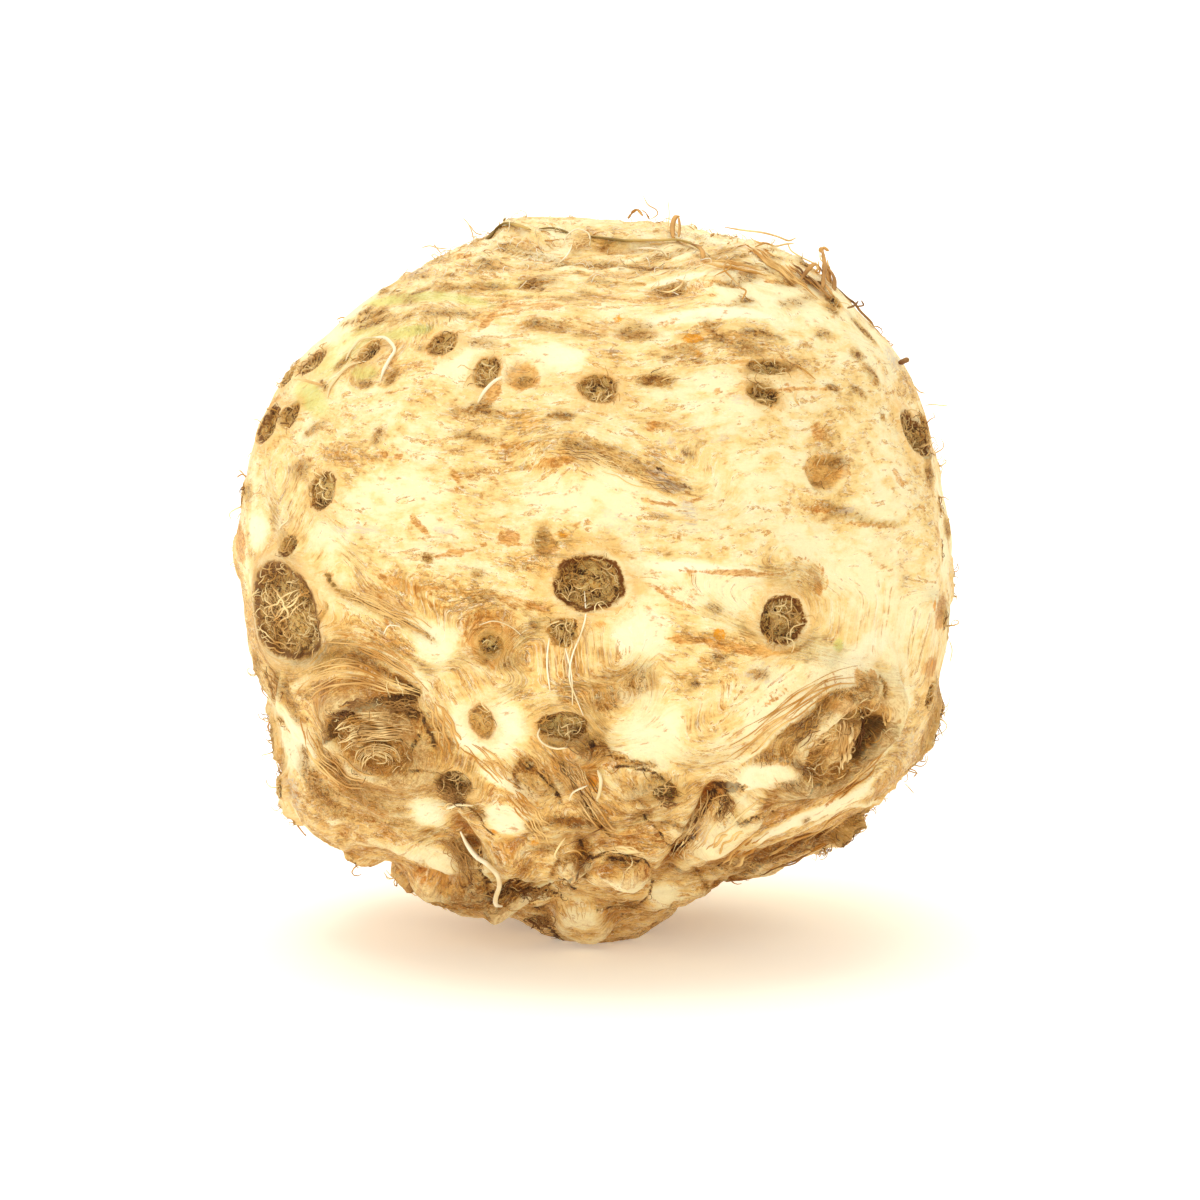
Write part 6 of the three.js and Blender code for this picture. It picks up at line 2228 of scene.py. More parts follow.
    def normal(self, g: Graph) -> Socket:
        """Fine relief: grain, tears, pores and rough scabs and scars.

        Args:
            g: The graph that the nodes go into.

        Returns:
            The bump's socket.
        """
        calm = g.plus(1.0, g.times(self.pale, -0.8))
        threads = g.times(self.threads, g.plus(0.25, g.times(self.fibrous, 0.7)), calm)
        scarred = g.times(g.step(self.q, 1.05, 0.9), g.step(self.tone, 0.3, 0.7), 0.6)
        broken = g.plus(g.times(self.scab, 0.8), g.times(self.fibrous, 0.5), scarred)
        rough = g.plus(g.times(self.fine, g.plus(0.35, broken)), g.times(self.clumps, broken, 1.2))
        rough = g.plus(rough, g.times(self.grit, broken, 0.3))
        torn = g.times(self.tears, g.step(self.ripe, 0.4, 0.8), -0.6)
        height = g.plus(threads, rough, g.times(self.along, calm, 0.5), torn)
        inputs = {"Strength": 1.0, "Distance": self.finish.bump * MM, "Height": height}
        return g.add("ShaderNodeBump", inputs).outputs[0]


@dataclass(frozen=True)
class FibreFinish:
    """A fibre's colour at its dark and its light end of chance."""

    name: str
    dark: Colour
    light: Colour
    rough: float = 0.7
    sheen: float = 0.3


STRAW_FIBRE = FibreFinish("straw_fibre", tint("C48E42"), tint("F8DEA2"))
BROWN_FIBRE = FibreFinish("brown_fibre", tint("6A3F18"), tint("B98A4C"))
CREAM_FIBRE = FibreFinish("cream_fibre", tint("E6CF9C"), tint("FCF2D6"))
SHRED_FIBRE = FibreFinish("shred_fibre", tint("C08638"), tint("ECC680"))
OLIVE_RAG = FibreFinish("olive_rag", tint("80652A"), tint("C9A458"))
BARK_RAG = FibreFinish("bark_rag", tint("8A5A26"), tint("D3A05A"))


def fibre_material(finish: FibreFinish) -> bpy.types.Material:
    """A fibre's material, lighter and darker from place to place.

    Args:
        finish: The finish's name, colours and roughness.

    Returns:
        The material.
    """
    material = bpy.data.materials.new(finish.name)
    material.use_nodes = True
    g = Graph(material.node_tree)
    coordinates = g.add("ShaderNodeTexCoord").outputs["Object"]
    chance = g.noise(g.stretched(coordinates, METRE), 0.14, 2, 0.5)
    colour = g.mix(g.step(chance, 0.1, 0.9), finish.dark, finish.light)
    shader = g.add("ShaderNodeBsdfPrincipled", {
        "Base Color": colour, "Roughness": finish.rough, "Specular IOR Level": finish.sheen,
    })
    g.add("ShaderNodeOutputMaterial", {"Surface": shader.outputs[0]})
    return material


# ----------------------------------------------------------------------------------------------------------
# Fibres and strands
# ----------------------------------------------------------------------------------------------------------


@dataclass
class Tube:
    """A closed thin tube along a path; width is measured across it and thickness off the skin."""

    path: Array
    outward: Array
    widths: Array
    thickness: float
    sides: int = 5

    def build(self) -> tuple[Array, Faces]:
        """The tube's points and faces, its ends closed by single points.

        Returns:
            Points and faces.
        """
        along = unit(np.gradient(self.path, axis=0))
        across = unit(np.cross(along, self.outward))
        off = np.cross(across, along)
        turns = np.arange(self.sides) / self.sides * 2 * math.pi
        rings = (
            self.path[:, None, :]
            + np.cos(turns)[None, :, None] * (self.widths / 2)[:, None, None] * across[:, None, :]
            + np.sin(turns)[None, :, None] * (self.widths * self.thickness / 2)[:, None, None] * off[:, None, :]
        )
        points = np.vstack([rings.reshape(-1, 3), self.path[:1], self.path[-1:]])
        first, last = len(points) - 2, len(points) - 1
        faces = []
        for i in range(len(self.path) - 1):
            for k in range(self.sides):
                a, b = i * self.sides + k, i * self.sides + (k + 1) % self.sides
                faces.append((a, b, b + self.sides, a + self.sides))
        for k in range(self.sides):
            a, b = k, (k + 1) % self.sides
            faces.append((b, a, first))
            top = (len(self.path) - 1) * self.sides
            faces.append((top + a, top + b, last))
        return points, faces


def mesh_object(name: str, parts: list[tuple[Array, Faces]]) -> bpy.types.Object:
    """One object out of several closed parts, given in millimetres.

    Args:
        name: Its name.
        parts: Points and faces of each part.

    Returns:
        The object.
    """
    points, faces, start = [], [], 0
    for part_points, part_faces in parts:
        points.extend((part_points * MM).tolist())
        faces.extend([tuple(start + i for i in f) for f in part_faces])
        start += len(part_points)
    mesh = bpy.data.meshes.new(name)
    mesh.from_pydata(points, [], faces)
    mesh.polygons.foreach_set("use_smooth", np.ones(len(faces), dtype=bool))
    mesh.update()
    return link(bpy.data.objects.new(name, mesh))


@dataclass(frozen=True)
class SeenStrand:
    """A strand placed by the pixels it passes in the front view; lift and arch are how far it is off the skin."""

    along: Pixels
    width: float = 0.25
    lift: float = 0.15
    arch: float = 0.0
    thickness: float = 1.0
    blunt: float = 0.3
    already_smooth: int = 12  # points from which the run needs no smoothing

    def leaning(self, depths: Array) -> Array:
        """Depths along the strand, which leaves the skin where that turns away steeply.

        Args:
            depths: Depth of the skin at each of its pixels.

        Returns:
            Depth of the strand there.
        """
        steps = np.hypot(*np.diff(np.array(self.along), axis=0).T) / VIEW.px_per_mm
        run = np.concatenate([[0.0], np.cumsum(steps)])
        return (depths[None, :] + STEEPEST * np.abs(run[:, None] - run[None, :])).min(axis=1)

    def tube(self, finder: Finder) -> tuple[Array, Faces]:
        """The strand as a tapered tube.

        Args:
            finder: Finds points of the skin by pixel.

        Returns:
            Points and faces.
        """
        count = len(self.along)
        lifts = self.lift + self.arch * np.sin(np.linspace(0, math.pi, count))
        eye, into = finder.view.eye(), finder.view.axes()[0]
        found = np.array([finder.point(px, py, 0.0) for px, py in self.along]) - eye
        depths = found @ into
        knots = eye + found * (self.leaning(depths) / depths)[:, None]
        knots += unit(knots - np.array([0, 0, MIDDLE_HEIGHT])) * lifts[:, None]
        path = smooth_path(knots, STEPS_PER_SPAN if count < self.already_smooth else 1)
        share = np.linspace(0, 1, len(path))
        ends = np.minimum(smooth_step(-0.05, 0.18, share), smooth_step(-0.05, 0.18, 1 - share))
        widths = self.width * (self.blunt + (1 - self.blunt) * ends)
        outward = unit(path - np.array([0, 0, MIDDLE_HEIGHT]))
        return Tube(path, outward, widths, self.thickness).build()


CREAM_STRANDS = [SeenStrand(*row) for row in (
    ([(462, 830), (470, 840), (480, 849), (490, 854), (500, 864), (503, 876), (499, 889), (498, 899),
      (503, 904)], 0.85, 0.5, 1.6),
    ([(374, 339), (388, 341), (397, 352), (392, 362), (386, 372), (382, 382)], 0.6, 0.3, 0.3),
    ([(374, 339), (362, 341), (352, 352), (347, 362)], 0.4, 0.25),
    ([(368, 363), (358, 364), (348, 369), (338, 380), (331, 390), (329, 399)], 0.4, 0.25),
    ([(503, 380), (497, 384), (490, 391), (484, 398), (479, 405)], 0.6, 0.4, 0.5),
    ([(448, 808), (455, 804), (462, 802), (474, 805)], 0.5, 0.4, 0.6),
    ([(585, 592), (586, 606), (586, 619), (581, 636), (573, 656), (570, 678), (575, 694), (584, 716)], 0.3, 0.25),
    ([(550, 639), (548, 655), (548, 670), (551, 693)], 0.3, 0.2),
    ([(566, 649), (571, 669), (573, 688), (573, 706)], 0.3, 0.2),
    ([(541, 728), (539, 735), (545, 743), (558, 748), (573, 746)], 0.35, 0.4, 0.3),
    ([(590, 249), (589, 240), (578, 236), (568, 241), (563, 248)], 0.35, 0.5, 0.6),
    ([(558, 267), (566, 262), (571, 254), (572, 247)], 0.3, 0.4, 0.4),
    ([(637, 251), (651, 253), (662, 256), (667, 260)], 0.3, 0.4, 0.4),
    ([(570, 800), (574, 790), (588, 785)], 0.35, 0.4, 0.5),
    ([(597, 800), (600, 790), (601, 778), (598, 770)], 0.6, 0.3, 0.5),
    ([(480, 626), (495, 622), (512, 628), (526, 640)], 0.2, 0.1),
    ([(385, 635), (392, 626), (402, 627)], 0.2, 0.3, 0.4),
    ([(281, 505), (289, 511), (292, 520), (284, 527), (281, 531)], 0.25, 0.3, 0.3),
)]
STRAW_STRANDS = [SeenStrand(*row) for row in (
    ([(579, 800), (586, 810), (596, 824), (611, 838)], 0.35, 0.3, 0.2),
    ([(585, 798), (594, 810), (604, 824), (619, 833)], 0.28, 0.35, 0.3),
    ([(591, 797), (602, 812), (612, 826), (617, 828)], 0.4, 0.4, 0.2),
    ([(566, 836), (560, 842), (556, 850), (558, 858)], 0.35, 0.5, 0.8),
    ([(566, 850), (576, 846), (583, 851), (586, 858)], 0.3, 0.6, 0.6),
    ([(775, 351), (787, 361), (803, 371), (815, 381)], 0.3, 0.25),
    ([(722, 234), (740, 237), (758, 239), (774, 243), (785, 247), (793, 244)], 0.35, 1.2),
    ([(785, 247), (789, 255), (800, 262), (812, 268), (820, 276)], 0.3, 0.8),
    ([(754, 250), (764, 246), (774, 249), (784, 247), (793, 246)], 0.35, 0.5),
    ([(713, 280), (720, 277), (726, 275), (729, 271), (725, 268), (722, 274), (730, 282),
      (739, 290)], 0.3, 0.6, 0.4),
    ([(738, 290), (744, 296), (741, 303)], 0.3, 0.5, 0.4),
    ([(661, 294), (669, 296), (678, 292), (682, 286), (676, 282)], 0.35, 0.4, 0.4),
    ([(797, 392), (795, 399), (799, 406)], 0.35, 0.1),
    ([(293, 378), (305, 381), (315, 384), (324, 386)], 0.5, 0.15),
    ([(463, 219), (468, 224), (472, 232), (474, 240)], 0.22, 0.2), ([(470, 226), (476, 234), (483, 236)], 0.2, 0.2),
    ([(422, 249), (430, 247), (438, 249), (448, 250)], 0.22, 0.2), ([(434, 245), (438, 250), (442, 255)], 0.2, 0.2),
    ([(643, 197), (648, 206), (656, 211), (657, 216), (650, 221)], 0.22, 0.2),
    ([(668, 202), (669, 215), (668, 228), (666, 240)], 0.18, 0.2),
    ([(924, 406), (932, 405), (940, 406), (947, 406)], 0.2, 0.2), ([(913, 386), (918, 392), (924, 394)], 0.22, 0.2),
    ([(904, 783), (908, 787), (913, 793)], 0.18, 0.2), ([(870, 792), (876, 790), (882, 795)], 0.3, 0.4),
    ([(872, 800), (878, 794), (884, 788)], 0.3, 0.4), ([(238, 478), (243, 475), (248, 477)], 0.25, 0.2),
    ([(240, 470), (245, 475), (249, 481)], 0.25, 0.2), ([(338, 321), (343, 319), (349, 320)], 0.25, 0.3),
    ([(948, 640), (951, 650), (949, 662)], 0.2, 0.2), ([(852, 826), (858, 822), (862, 828)], 0.3, 0.3),
    ([(760, 800), (745, 812), (730, 826)], 0.5, 0.1),
)]
BROWN_STRANDS = [SeenStrand(*row) for row in (
    ([(441, 838), (449, 840), (455, 846), (449, 852)], 0.2, 0.5, 0.8),
    ([(461, 866), (462, 874), (465, 881), (470, 884)], 0.2, 0.5, 0.8),
    ([(466, 850), (470, 862), (471, 874), (476, 884)], 0.2, 0.5, 0.8),
    ([(455, 836), (462, 846), (470, 850), (474, 860)], 0.2, 0.5, 0.6),
    ([(832, 288), (844, 300), (852, 306), (858, 314), (867, 323), (871, 328)], 0.45, 0.6),
    ([(845, 311), (851, 309), (856, 304)], 0.4, 0.6), ([(853, 310), (860, 309), (858, 304)], 0.3, 0.8),
    ([(897, 365), (901, 363), (906, 361)], 1.0, 0.5, 0.0, 0.6, 0.6),
    ([(408, 890), (411, 888), (413, 884)], 1.6, 0.2, 0.0, 0.8, 0.7),
    ([(582, 838), (592, 830), (604, 826)], 0.25, 0.5, 0.5), ([(537, 915), (541, 922), (548, 925)], 0.5, 0.4),
    ([(528, 918), (536, 922), (541, 928)], 0.4, 0.4),
)]
RAGS = [SeenStrand(*row) for row in (
    ([(771, 257), (787, 265), (801, 275), (815, 286), (829, 294)], 0.9, 0.6, 0.2, 0.35),
    ([(775, 263), (792, 272), (805, 281), (818, 290)], 0.8, 0.4, 0.2, 0.35),
    ([(798, 284), (804, 276), (811, 271), (818, 278), (823, 291)], 0.8, 0.8, 0.6, 0.3),
    ([(820, 292), (821, 280), (822, 268), (820, 255)], 0.9, 0.8, 0.0, 0.4, 0.7),
    ([(817, 256), (821, 252), (826, 255)], 1.1, 0.8, 0.0, 0.5, 0.5),
    ([(824, 270), (829, 276), (832, 284), (831, 297)], 1.0, 0.7, 0.0, 0.35),
    ([(815, 284), (822, 288), (828, 296), (833, 300)], 1.1, 0.5, 0.3, 0.3),
    ([(806, 278), (813, 286), (822, 296), (828, 300)], 1.0, 0.5, 0.3, 0.3),
    ([(628, 221), (632, 215), (637, 212), (642, 218)], 0.8, 0.4, 0.0, 0.4, 0.5),
    ([(641, 212), (646, 216), (649, 222)], 0.4, 0.4, 0.0, 0.4),
    ([(673, 240), (672, 228), (675, 219), (679, 218)], 0.9, 0.3, 0.0, 0.35, 0.6),
    ([(678, 240), (679, 230), (678, 220)], 0.5, 0.5, 0.0, 0.35, 0.5),
    ([(690, 246), (697, 249), (702, 255), (703, 261)], 1.0, 0.3, 0.2, 0.3),
)]
OLIVE_RAGS = [SeenStrand(*row) for row in (
    ([(486, 243), (491, 239), (496, 234), (502, 229), (508, 227), (520, 229), (531, 232)], 1.0, 0.35, 0.3, 0.4),
    ([(539, 231), (551, 231), (561, 233), (571, 236)], 0.7, 0.3, 0.2, 0.4),
    ([(588, 238), (604, 241), (625, 244), (645, 244), (660, 244), (676, 243), (690, 246),
      (700, 252)], 0.9, 0.3, 0.3, 0.4),
    ([(510, 226), (505, 222), (507, 219)], 0.5, 0.3, 0.0, 0.4),
)]


@dataclass(frozen=True)
class Fan:
    """Fibres side by side between two runs of pixels, each of its own length, width and waver."""

    edge: Pixels
    far: Pixels
    count: int
    width: float = 0.3
    lift: float = 0.05
    waver: float = 1.2

    def evenly(self, run: Pixels, steps: int = 20) -> Array:
        """A run of pixels as a smooth path of even steps.

        Args:
            run: The pixels.
            steps: How many points the path gets.

        Returns:
            One pixel a row.
        """
        path = smooth_path(np.array(run, float), STEPS_PER_SPAN)
        shares = np.linspace(0, 1, steps), np.linspace(0, 1, len(path))
        return np.column_stack([np.interp(*shares, path[:, axis]) for axis in (0, 1)])

    def strands(self) -> list[SeenStrand]:
        """The fan's fibres.

        Returns:
            One strand for each fibre.
        """
        edge, far = (self.evenly(run) for run in (self.edge, self.far))
        strands = []
        for k in range(self.count):
            chance = [scatter(k + self.edge[0][0], seed) for seed in (51, 52, 53, 54, 55)]
            share = (k + 0.15 + 0.7 * chance[0]) / self.count
            path = edge + share * (far - edge)
            steps = np.arange(len(path))
            path[:, 0] += self.waver * np.sin(1.1 * steps + 6 * chance[1])
            path[:, 1] += self.waver * np.sin(0.9 * steps + 6 * chance[2])
            start, end = int(len(path) * 0.35 * chance[3]), len(path) - int(len(path) * 0.35 * chance[4])
            width = self.width * (0.5 + chance[1])
            lift = self.lift * (0.4 + 1.4 * chance[2])
            strands.append(SeenStrand([tuple(at) for at in path[start:end]], width, lift))
        return strands


STRAW_FANS = [Fan(*row) for row in (
    ([(334, 722), (350, 716), (372, 712), (400, 716), (418, 722)], [(336, 750), (352, 742), (372, 740),
      (392, 738), (414, 733)], 12, 0.25),
    ([(334, 724), (352, 716), (374, 712), (402, 716), (420, 724)], [(340, 756), (356, 745), (374, 742),
      (394, 740), (416, 736)], 16, 0.12, 0.3, 0.7),
    ([(352, 772), (358, 752), (374, 744), (396, 748), (404, 762)], [(366, 774), (368, 762), (376, 756),
      (388, 760), (390, 772)], 9, 0.14, 0.3, 0.6),
    ([(838, 722), (838, 745), (836, 775)], [(852, 720), (849, 745), (844, 770)], 9, 0.16, 0.3, 0.6),
    ([(800, 726), (815, 716), (832, 714)], [(798, 768), (815, 764), (834, 752)], 14, 0.16, 0.3, 2),
    ([(842, 722), (842, 745), (841, 775)], [(855, 722), (852, 745), (848, 768)], 6, 0.45),
    ([(805, 742), (812, 732), (822, 729), (832, 736)], [(810, 748), (820, 752), (832, 746), (838, 738)], 6, 0.3),
    ([(794, 750), (808, 757), (822, 752)], [(800, 768), (814, 770), (826, 760)], 6, 0.25),
    ([(562, 612), (560, 650), (556, 690)], [(592, 612), (588, 650), (592, 700)], 8, 0.16),
    ([(566, 800), (576, 812), (592, 832)], [(584, 796), (598, 812), (620, 838)], 9, 0.18),
    ([(586, 846), (620, 846), (655, 856)], [(590, 853), (625, 853), (660, 863)], 5, 0.35),
    ([(260, 588), (272, 606), (282, 628)], [(292, 586), (300, 600), (306, 618)], 5, 0.28, 0.8),
    ([(276, 640), (292, 620), (318, 598)], [(270, 612), (284, 600), (306, 584)], 6, 0.22, 0.8),
    ([(260, 640), (275, 650), (292, 655)], [(268, 615), (282, 632), (300, 640)], 6, 0.2, 0.5),
    ([(566, 252), (574, 244), (588, 238)], [(574, 256), (584, 250), (596, 246)], 6, 0.22, 0.6),
    ([(560, 450), (600, 453), (630, 468)], [(556, 456), (592, 468), (625, 482)], 5, 0.12),
    ([(440, 806), (455, 802), (474, 806)], [(444, 814), (458, 812), (474, 814)], 4, 0.3, 0.4),
    ([(720, 792), (724, 804), (722, 820)], [(732, 790), (733, 804), (728, 818)], 6, 0.25),
    ([(702, 790), (696, 812), (680, 838), (664, 858)], [(728, 796), (722, 818), (706, 842), (690, 866)], 14, 0.2),
    ([(606, 868), (625, 866), (645, 870)], [(604, 900), (622, 903), (643, 896)], 9, 0.22, 0.05, 0.5),
    ([(548, 898), (552, 908), (560, 920)], [(588, 896), (592, 908), (590, 922)], 9, 0.2, 0.05, 0.5),
    ([(536, 762), (560, 780), (588, 812)], [(585, 762), (590, 785), (596, 812)], 12, 0.15, 0.05, 0.5),
)]
GOLD_FANS = [Fan(*row) for row in (
    ([(283, 690), (300, 672), (330, 660), (362, 662), (395, 682), (422, 692)], [(300, 738), (312, 706),
      (335, 690), (362, 688), (392, 694), (420, 697)], 10, 0.32),
    ([(322, 722), (330, 742), (345, 760), (366, 774), (392, 777)], [(298, 716), (302, 745), (318, 768),
      (338, 786), (362, 793)], 8, 0.32),
    ([(330, 650), (362, 652), (392, 668), (422, 688)], [(310, 640), (340, 634), (372, 646), (410, 668),
      (440, 695)], 6, 0.35),
    ([(424, 700), (432, 718), (438, 740), (442, 760)], [(440, 702), (450, 718), (460, 738), (466, 752)], 6, 0.4),
    ([(893, 690), (893, 715), (888, 740), (872, 762), (850, 785)], [(884, 712), (884, 735), (876, 752),
      (860, 768), (840, 786)], 7, 0.4),
    ([(700, 758), (735, 735), (770, 712), (800, 690), (835, 670), (870, 664)], [(745, 762), (775, 735),
      (805, 712), (830, 698), (862, 692)], 9, 0.22),
    ([(800, 800), (830, 785), (860, 765), (885, 742)], [(815, 812), (845, 795), (875, 768), (897, 738)], 7, 0.4),
    ([(700, 860), (715, 838), (735, 824)], [(738, 868), (755, 850), (778, 834)], 9, 0.45),
    ([(745, 862), (790, 842), (835, 818), (872, 792)], [(740, 880), (790, 862), (840, 835), (882, 804)], 9, 0.35),
    ([(340, 586), (362, 592), (385, 602), (410, 612), (432, 622)], [(344, 596), (365, 606), (388, 618),
      (412, 630), (438, 642)], 9, 0.2),
    ([(750, 238), (775, 252), (800, 268), (826, 290)], [(740, 246), (764, 264), (788, 282),
      (816, 302)], 16, 0.35, 0.4, 0.8),
    ([(812, 255), (816, 270), (812, 284)], [(824, 260), (829, 276), (831, 298)], 8, 0.4, 0.8, 0.6),
    ([(700, 256), (730, 262), (760, 268)], [(706, 268), (735, 272), (770, 280)], 6, 0.3, 0.4, 0.6),
    ([(505, 800), (525, 822), (545, 850)], [(520, 790), (540, 812), (562, 838)], 7, 0.3),
    ([(470, 735), (500, 760), (525, 790)], [(462, 748), (490, 775), (512, 800)], 6, 0.3),
    ([(520, 745), (535, 765), (552, 790)], [(545, 745), (562, 765), (580, 792)], 8, 0.25),
    ([(580, 447), (610, 452), (645, 468)], [(600, 470), (640, 488), (690, 498)], 6, 0.16),
)]
BROWN_FANS = [Fan(*row) for row in (
    ([(441, 836), (455, 856), (466, 882)], [(462, 838), (472, 856), (482, 884)], 9, 0.18, 0.4),
    ([(486, 884), (486, 890), (484, 897)], [(556, 884), (560, 891), (564, 898)], 18, 0.14, 0.4),
    ([(336, 727), (354, 719), (376, 716), (402, 720), (418, 727)], [(342, 754), (358, 744), (376, 741),
      (394, 739), (414, 736)], 12, 0.1, 0.1, 0.6),
    ([(775, 742), (800, 718), (828, 704)], [(790, 762), (808, 742), (835, 716)], 6, 0.14, 0.3, 2),
    ([(790, 766), (808, 776), (826, 790)], [(800, 756), (818, 766), (838, 778)], 6, 0.14, 0.3, 2),
    ([(378, 706), (400, 701), (421, 699)], [(392, 714), (404, 711), (420, 716)], 6, 0.35),
    ([(342, 716), (356, 708), (372, 707)], [(340, 706), (356, 700), (375, 701)], 7, 0.2),
    ([(562, 448), (590, 451), (622, 462)], [(556, 455), (585, 462), (615, 476)], 4, 0.1),
    ([(640, 468), (665, 480), (696, 490)], [(640, 484), (662, 492), (690, 500)], 4, 0.1),
    ([(552, 757), (568, 780), (590, 815)], [(566, 752), (590, 776), (616, 812)], 6, 0.2),
    ([(438, 778), (452, 784), (466, 796)], [(440, 796), (452, 800), (466, 806)], 9, 0.22, 0.6, 3),
    ([(745, 868), (790, 848), (830, 826)], [(742, 880), (790, 862), (838, 836)], 9, 0.25, 0.3),
    ([(264, 668), (270, 688), (276, 704)], [(270, 660), (280, 682), (284, 700)], 5, 0.3),
    ([(452, 832), (446, 846), (452, 866)], [(470, 838), (474, 856), (476, 880)], 8, 0.12, 0.4, 2),
    ([(440, 772), (455, 776), (470, 790)], [(442, 796), (456, 800), (470, 804)], 12, 0.16, 0.5, 2),
    ([(716, 790), (720, 805), (716, 822)], [(731, 792), (733, 806), (727, 820)], 10, 0.16, 0.4, 1.5),
    ([(512, 886), (530, 888), (548, 886)], [(515, 896), (530, 899), (548, 898)], 14, 0.12, 0.3, 1.5),
    ([(560, 724), (578, 726), (592, 738)], [(560, 742), (576, 752), (592, 760)], 10, 0.16, 0.4, 1.5),
    ([(520, 912), (530, 920), (545, 930)], [(545, 908), (552, 916), (562, 926)], 9, 0.16, 0.5, 3),
    ([(856, 706), (852, 735), (846, 760)], [(866, 706), (864, 735), (858, 758)], 6, 0.25),
    ([(655, 790), (668, 786), (680, 796)], [(655, 804), (666, 808), (678, 804)], 6, 0.25, 0.3),
    ([(783, 250), (805, 266), (826, 286)], [(778, 262), (800, 282), (820, 300)], 8, 0.25, 0.5, 0.8),
)]


@dataclass
class Strands:
    """Single strands of one kind, made into one piece."""

    name: str
    seen: list[SeenStrand]
    finish: FibreFinish

    def make(self, finder: Finder) -> bpy.types.Object:
        """The strands as one object with its material.

        Args:
            finder: Finds points of the skin by pixel.

        Returns:
            The object.
        """
        piece = mesh_object(self.name, [strand.tube(finder) for strand in self.seen])
        piece.data.materials.append(fibre_material(self.finish))
        return piece


@dataclass(frozen=True)
class FibreBed:
    """Short curly fibres strewn over parts of the skin."""

    name: str
    finish: FibreFinish
    per_square_mm: float
    shortest: float
    longest: float
    lean: float
    seed: int
    thickness: float = 0.08
    astray: float = 180.0
    rise: float = 1.0
    sparsest: float = 0.02

    def shapes(self) -> list[tuple[Array, Faces]]:
        """Three curled fibres, one unit long, each starting at its root.

        Returns:
            Points and faces of each fibre.
        """
        share = np.linspace(0, 1, 6)
        curls = [(0.30, 0.12, 1.0), (0.16, 0.34, 0.5), (0.42, -0.2, 0.75)]
        parts = []
        for rise, sway, turns in curls:
            path = np.column_stack([
                share * (1 - 0.25 * share), self.rise * sway * np.sin(2 * math.pi * turns * share),
                self.rise * rise * np.sin(math.pi * share)
            ])
            widths = self.thickness * (1 - 0.6 * share)
            outward = np.tile([0.0, 0.0, 1.0], (len(path), 1))
            parts.append(Tube(path / MM, outward, widths / MM, 1.0, 3).build())
        return parts

    def bed(self, skin: Skin, density: Array) -> bpy.types.Object:
        """The part of the skin that the fibres grow on, with how thickly they grow.

        Args:
            skin: The finished skin.
            density: How thickly fibres grow at each vertex.

        Returns:
            The object.
        """
        chosen = np.nonzero(density[skin.quads].mean(axis=1) > self.sparsest)[0]
        used, faces = np.unique(skin.quads[chosen], return_inverse=True)
        mesh = bpy.data.meshes.new(f"{self.name}_bed")
        mesh.from_pydata((skin.points[used] * MM).tolist(), [], faces.reshape(-1, 4).tolist())
        kept = mesh.attributes.new("thickly", "FLOAT", "POINT")
        kept.data.foreach_set("value", density[used].astype(np.float32))
        grain = mesh.attributes.new("grain_way", "FLOAT_VECTOR", "POINT")
        grain.data.foreach_set("vector", skin.grain_way()[used].astype(np.float32).ravel())
        mesh.update()
        return link(bpy.data.objects.new(self.name, mesh))

    def make(self, skin: Skin, density: Array) -> bpy.types.Object:
        """The strewn fibres as one mesh.

        Args:
            skin: The finished skin.
            density: How thickly fibres grow at each vertex.

        Returns:
            The object.
        """
        shapes = bpy.data.collections.new(f"{self.name}_shapes")
        for i, part in enumerate(self.shapes()):
            shape = mesh_object(f"{self.name}_shape_{i}", [part])
            bpy.context.scene.collection.objects.unlink(shape)
            shapes.objects.link(shape)
        bpy.context.scene.collection.children.link(shapes)
        piece = self.bed(skin, density)
        material = fibre_material(self.finish)
        tree = strewing_tree()
        modifier = piece.modifiers.new("strewn", "NODES")
        modifier.node_group = tree
        values = {
            "Fibres": shapes, "Per square metre": self.per_square_mm / MM**2, "Shortest": self.shortest * MM,
            "Longest": self.longest * MM, "Lean": math.radians(self.lean), "Astray": math.radians(self.astray),
            "Seed": self.seed, "Material": material,
        }
        for item in tree.interface.items_tree:
            if item.item_type == "SOCKET" and item.name in values:
                modifier[item.identifier] = values[item.name]
        bpy.context.view_layer.update()
        evaluated = piece.evaluated_get(bpy.context.evaluated_depsgraph_get())
        mesh = bpy.data.meshes.new_from_object(evaluated)
        piece.modifiers.remove(modifier)
        piece.data = mesh
        for shape in list(shapes.objects):
            bpy.data.objects.remove(shape)
        bpy.data.collections.remove(shapes)
        return piece


STRAW_BED = FibreBed("scar_fibres_straw", STRAW_FIBRE, 1.0, 1.4, 4.2, 20, 1, 0.08, 180, 0.8)
BROWN_BED = FibreBed("scar_fibres_brown", BROWN_FIBRE, 1.0, 1.4, 3.4, 20, 2, 0.07, 180, 0.8)
CROWN_BED = FibreBed("crown_fibres", CREAM_FIBRE, 1.0, 1.4, 3.6, 14, 3, 0.06, 180, 0.8)
SHRED_BED = FibreBed("skin_shreds", SHRED_FIBRE, 1.0, 1.2, 3.4, 5, 4, 0.09, 24, 0.25)
DARK_SHRED_BED = FibreBed("brown_shreds", BROWN_FIBRE, 1.0, 1.0, 2.6, 5, 5, 0.08, 28, 0.25)


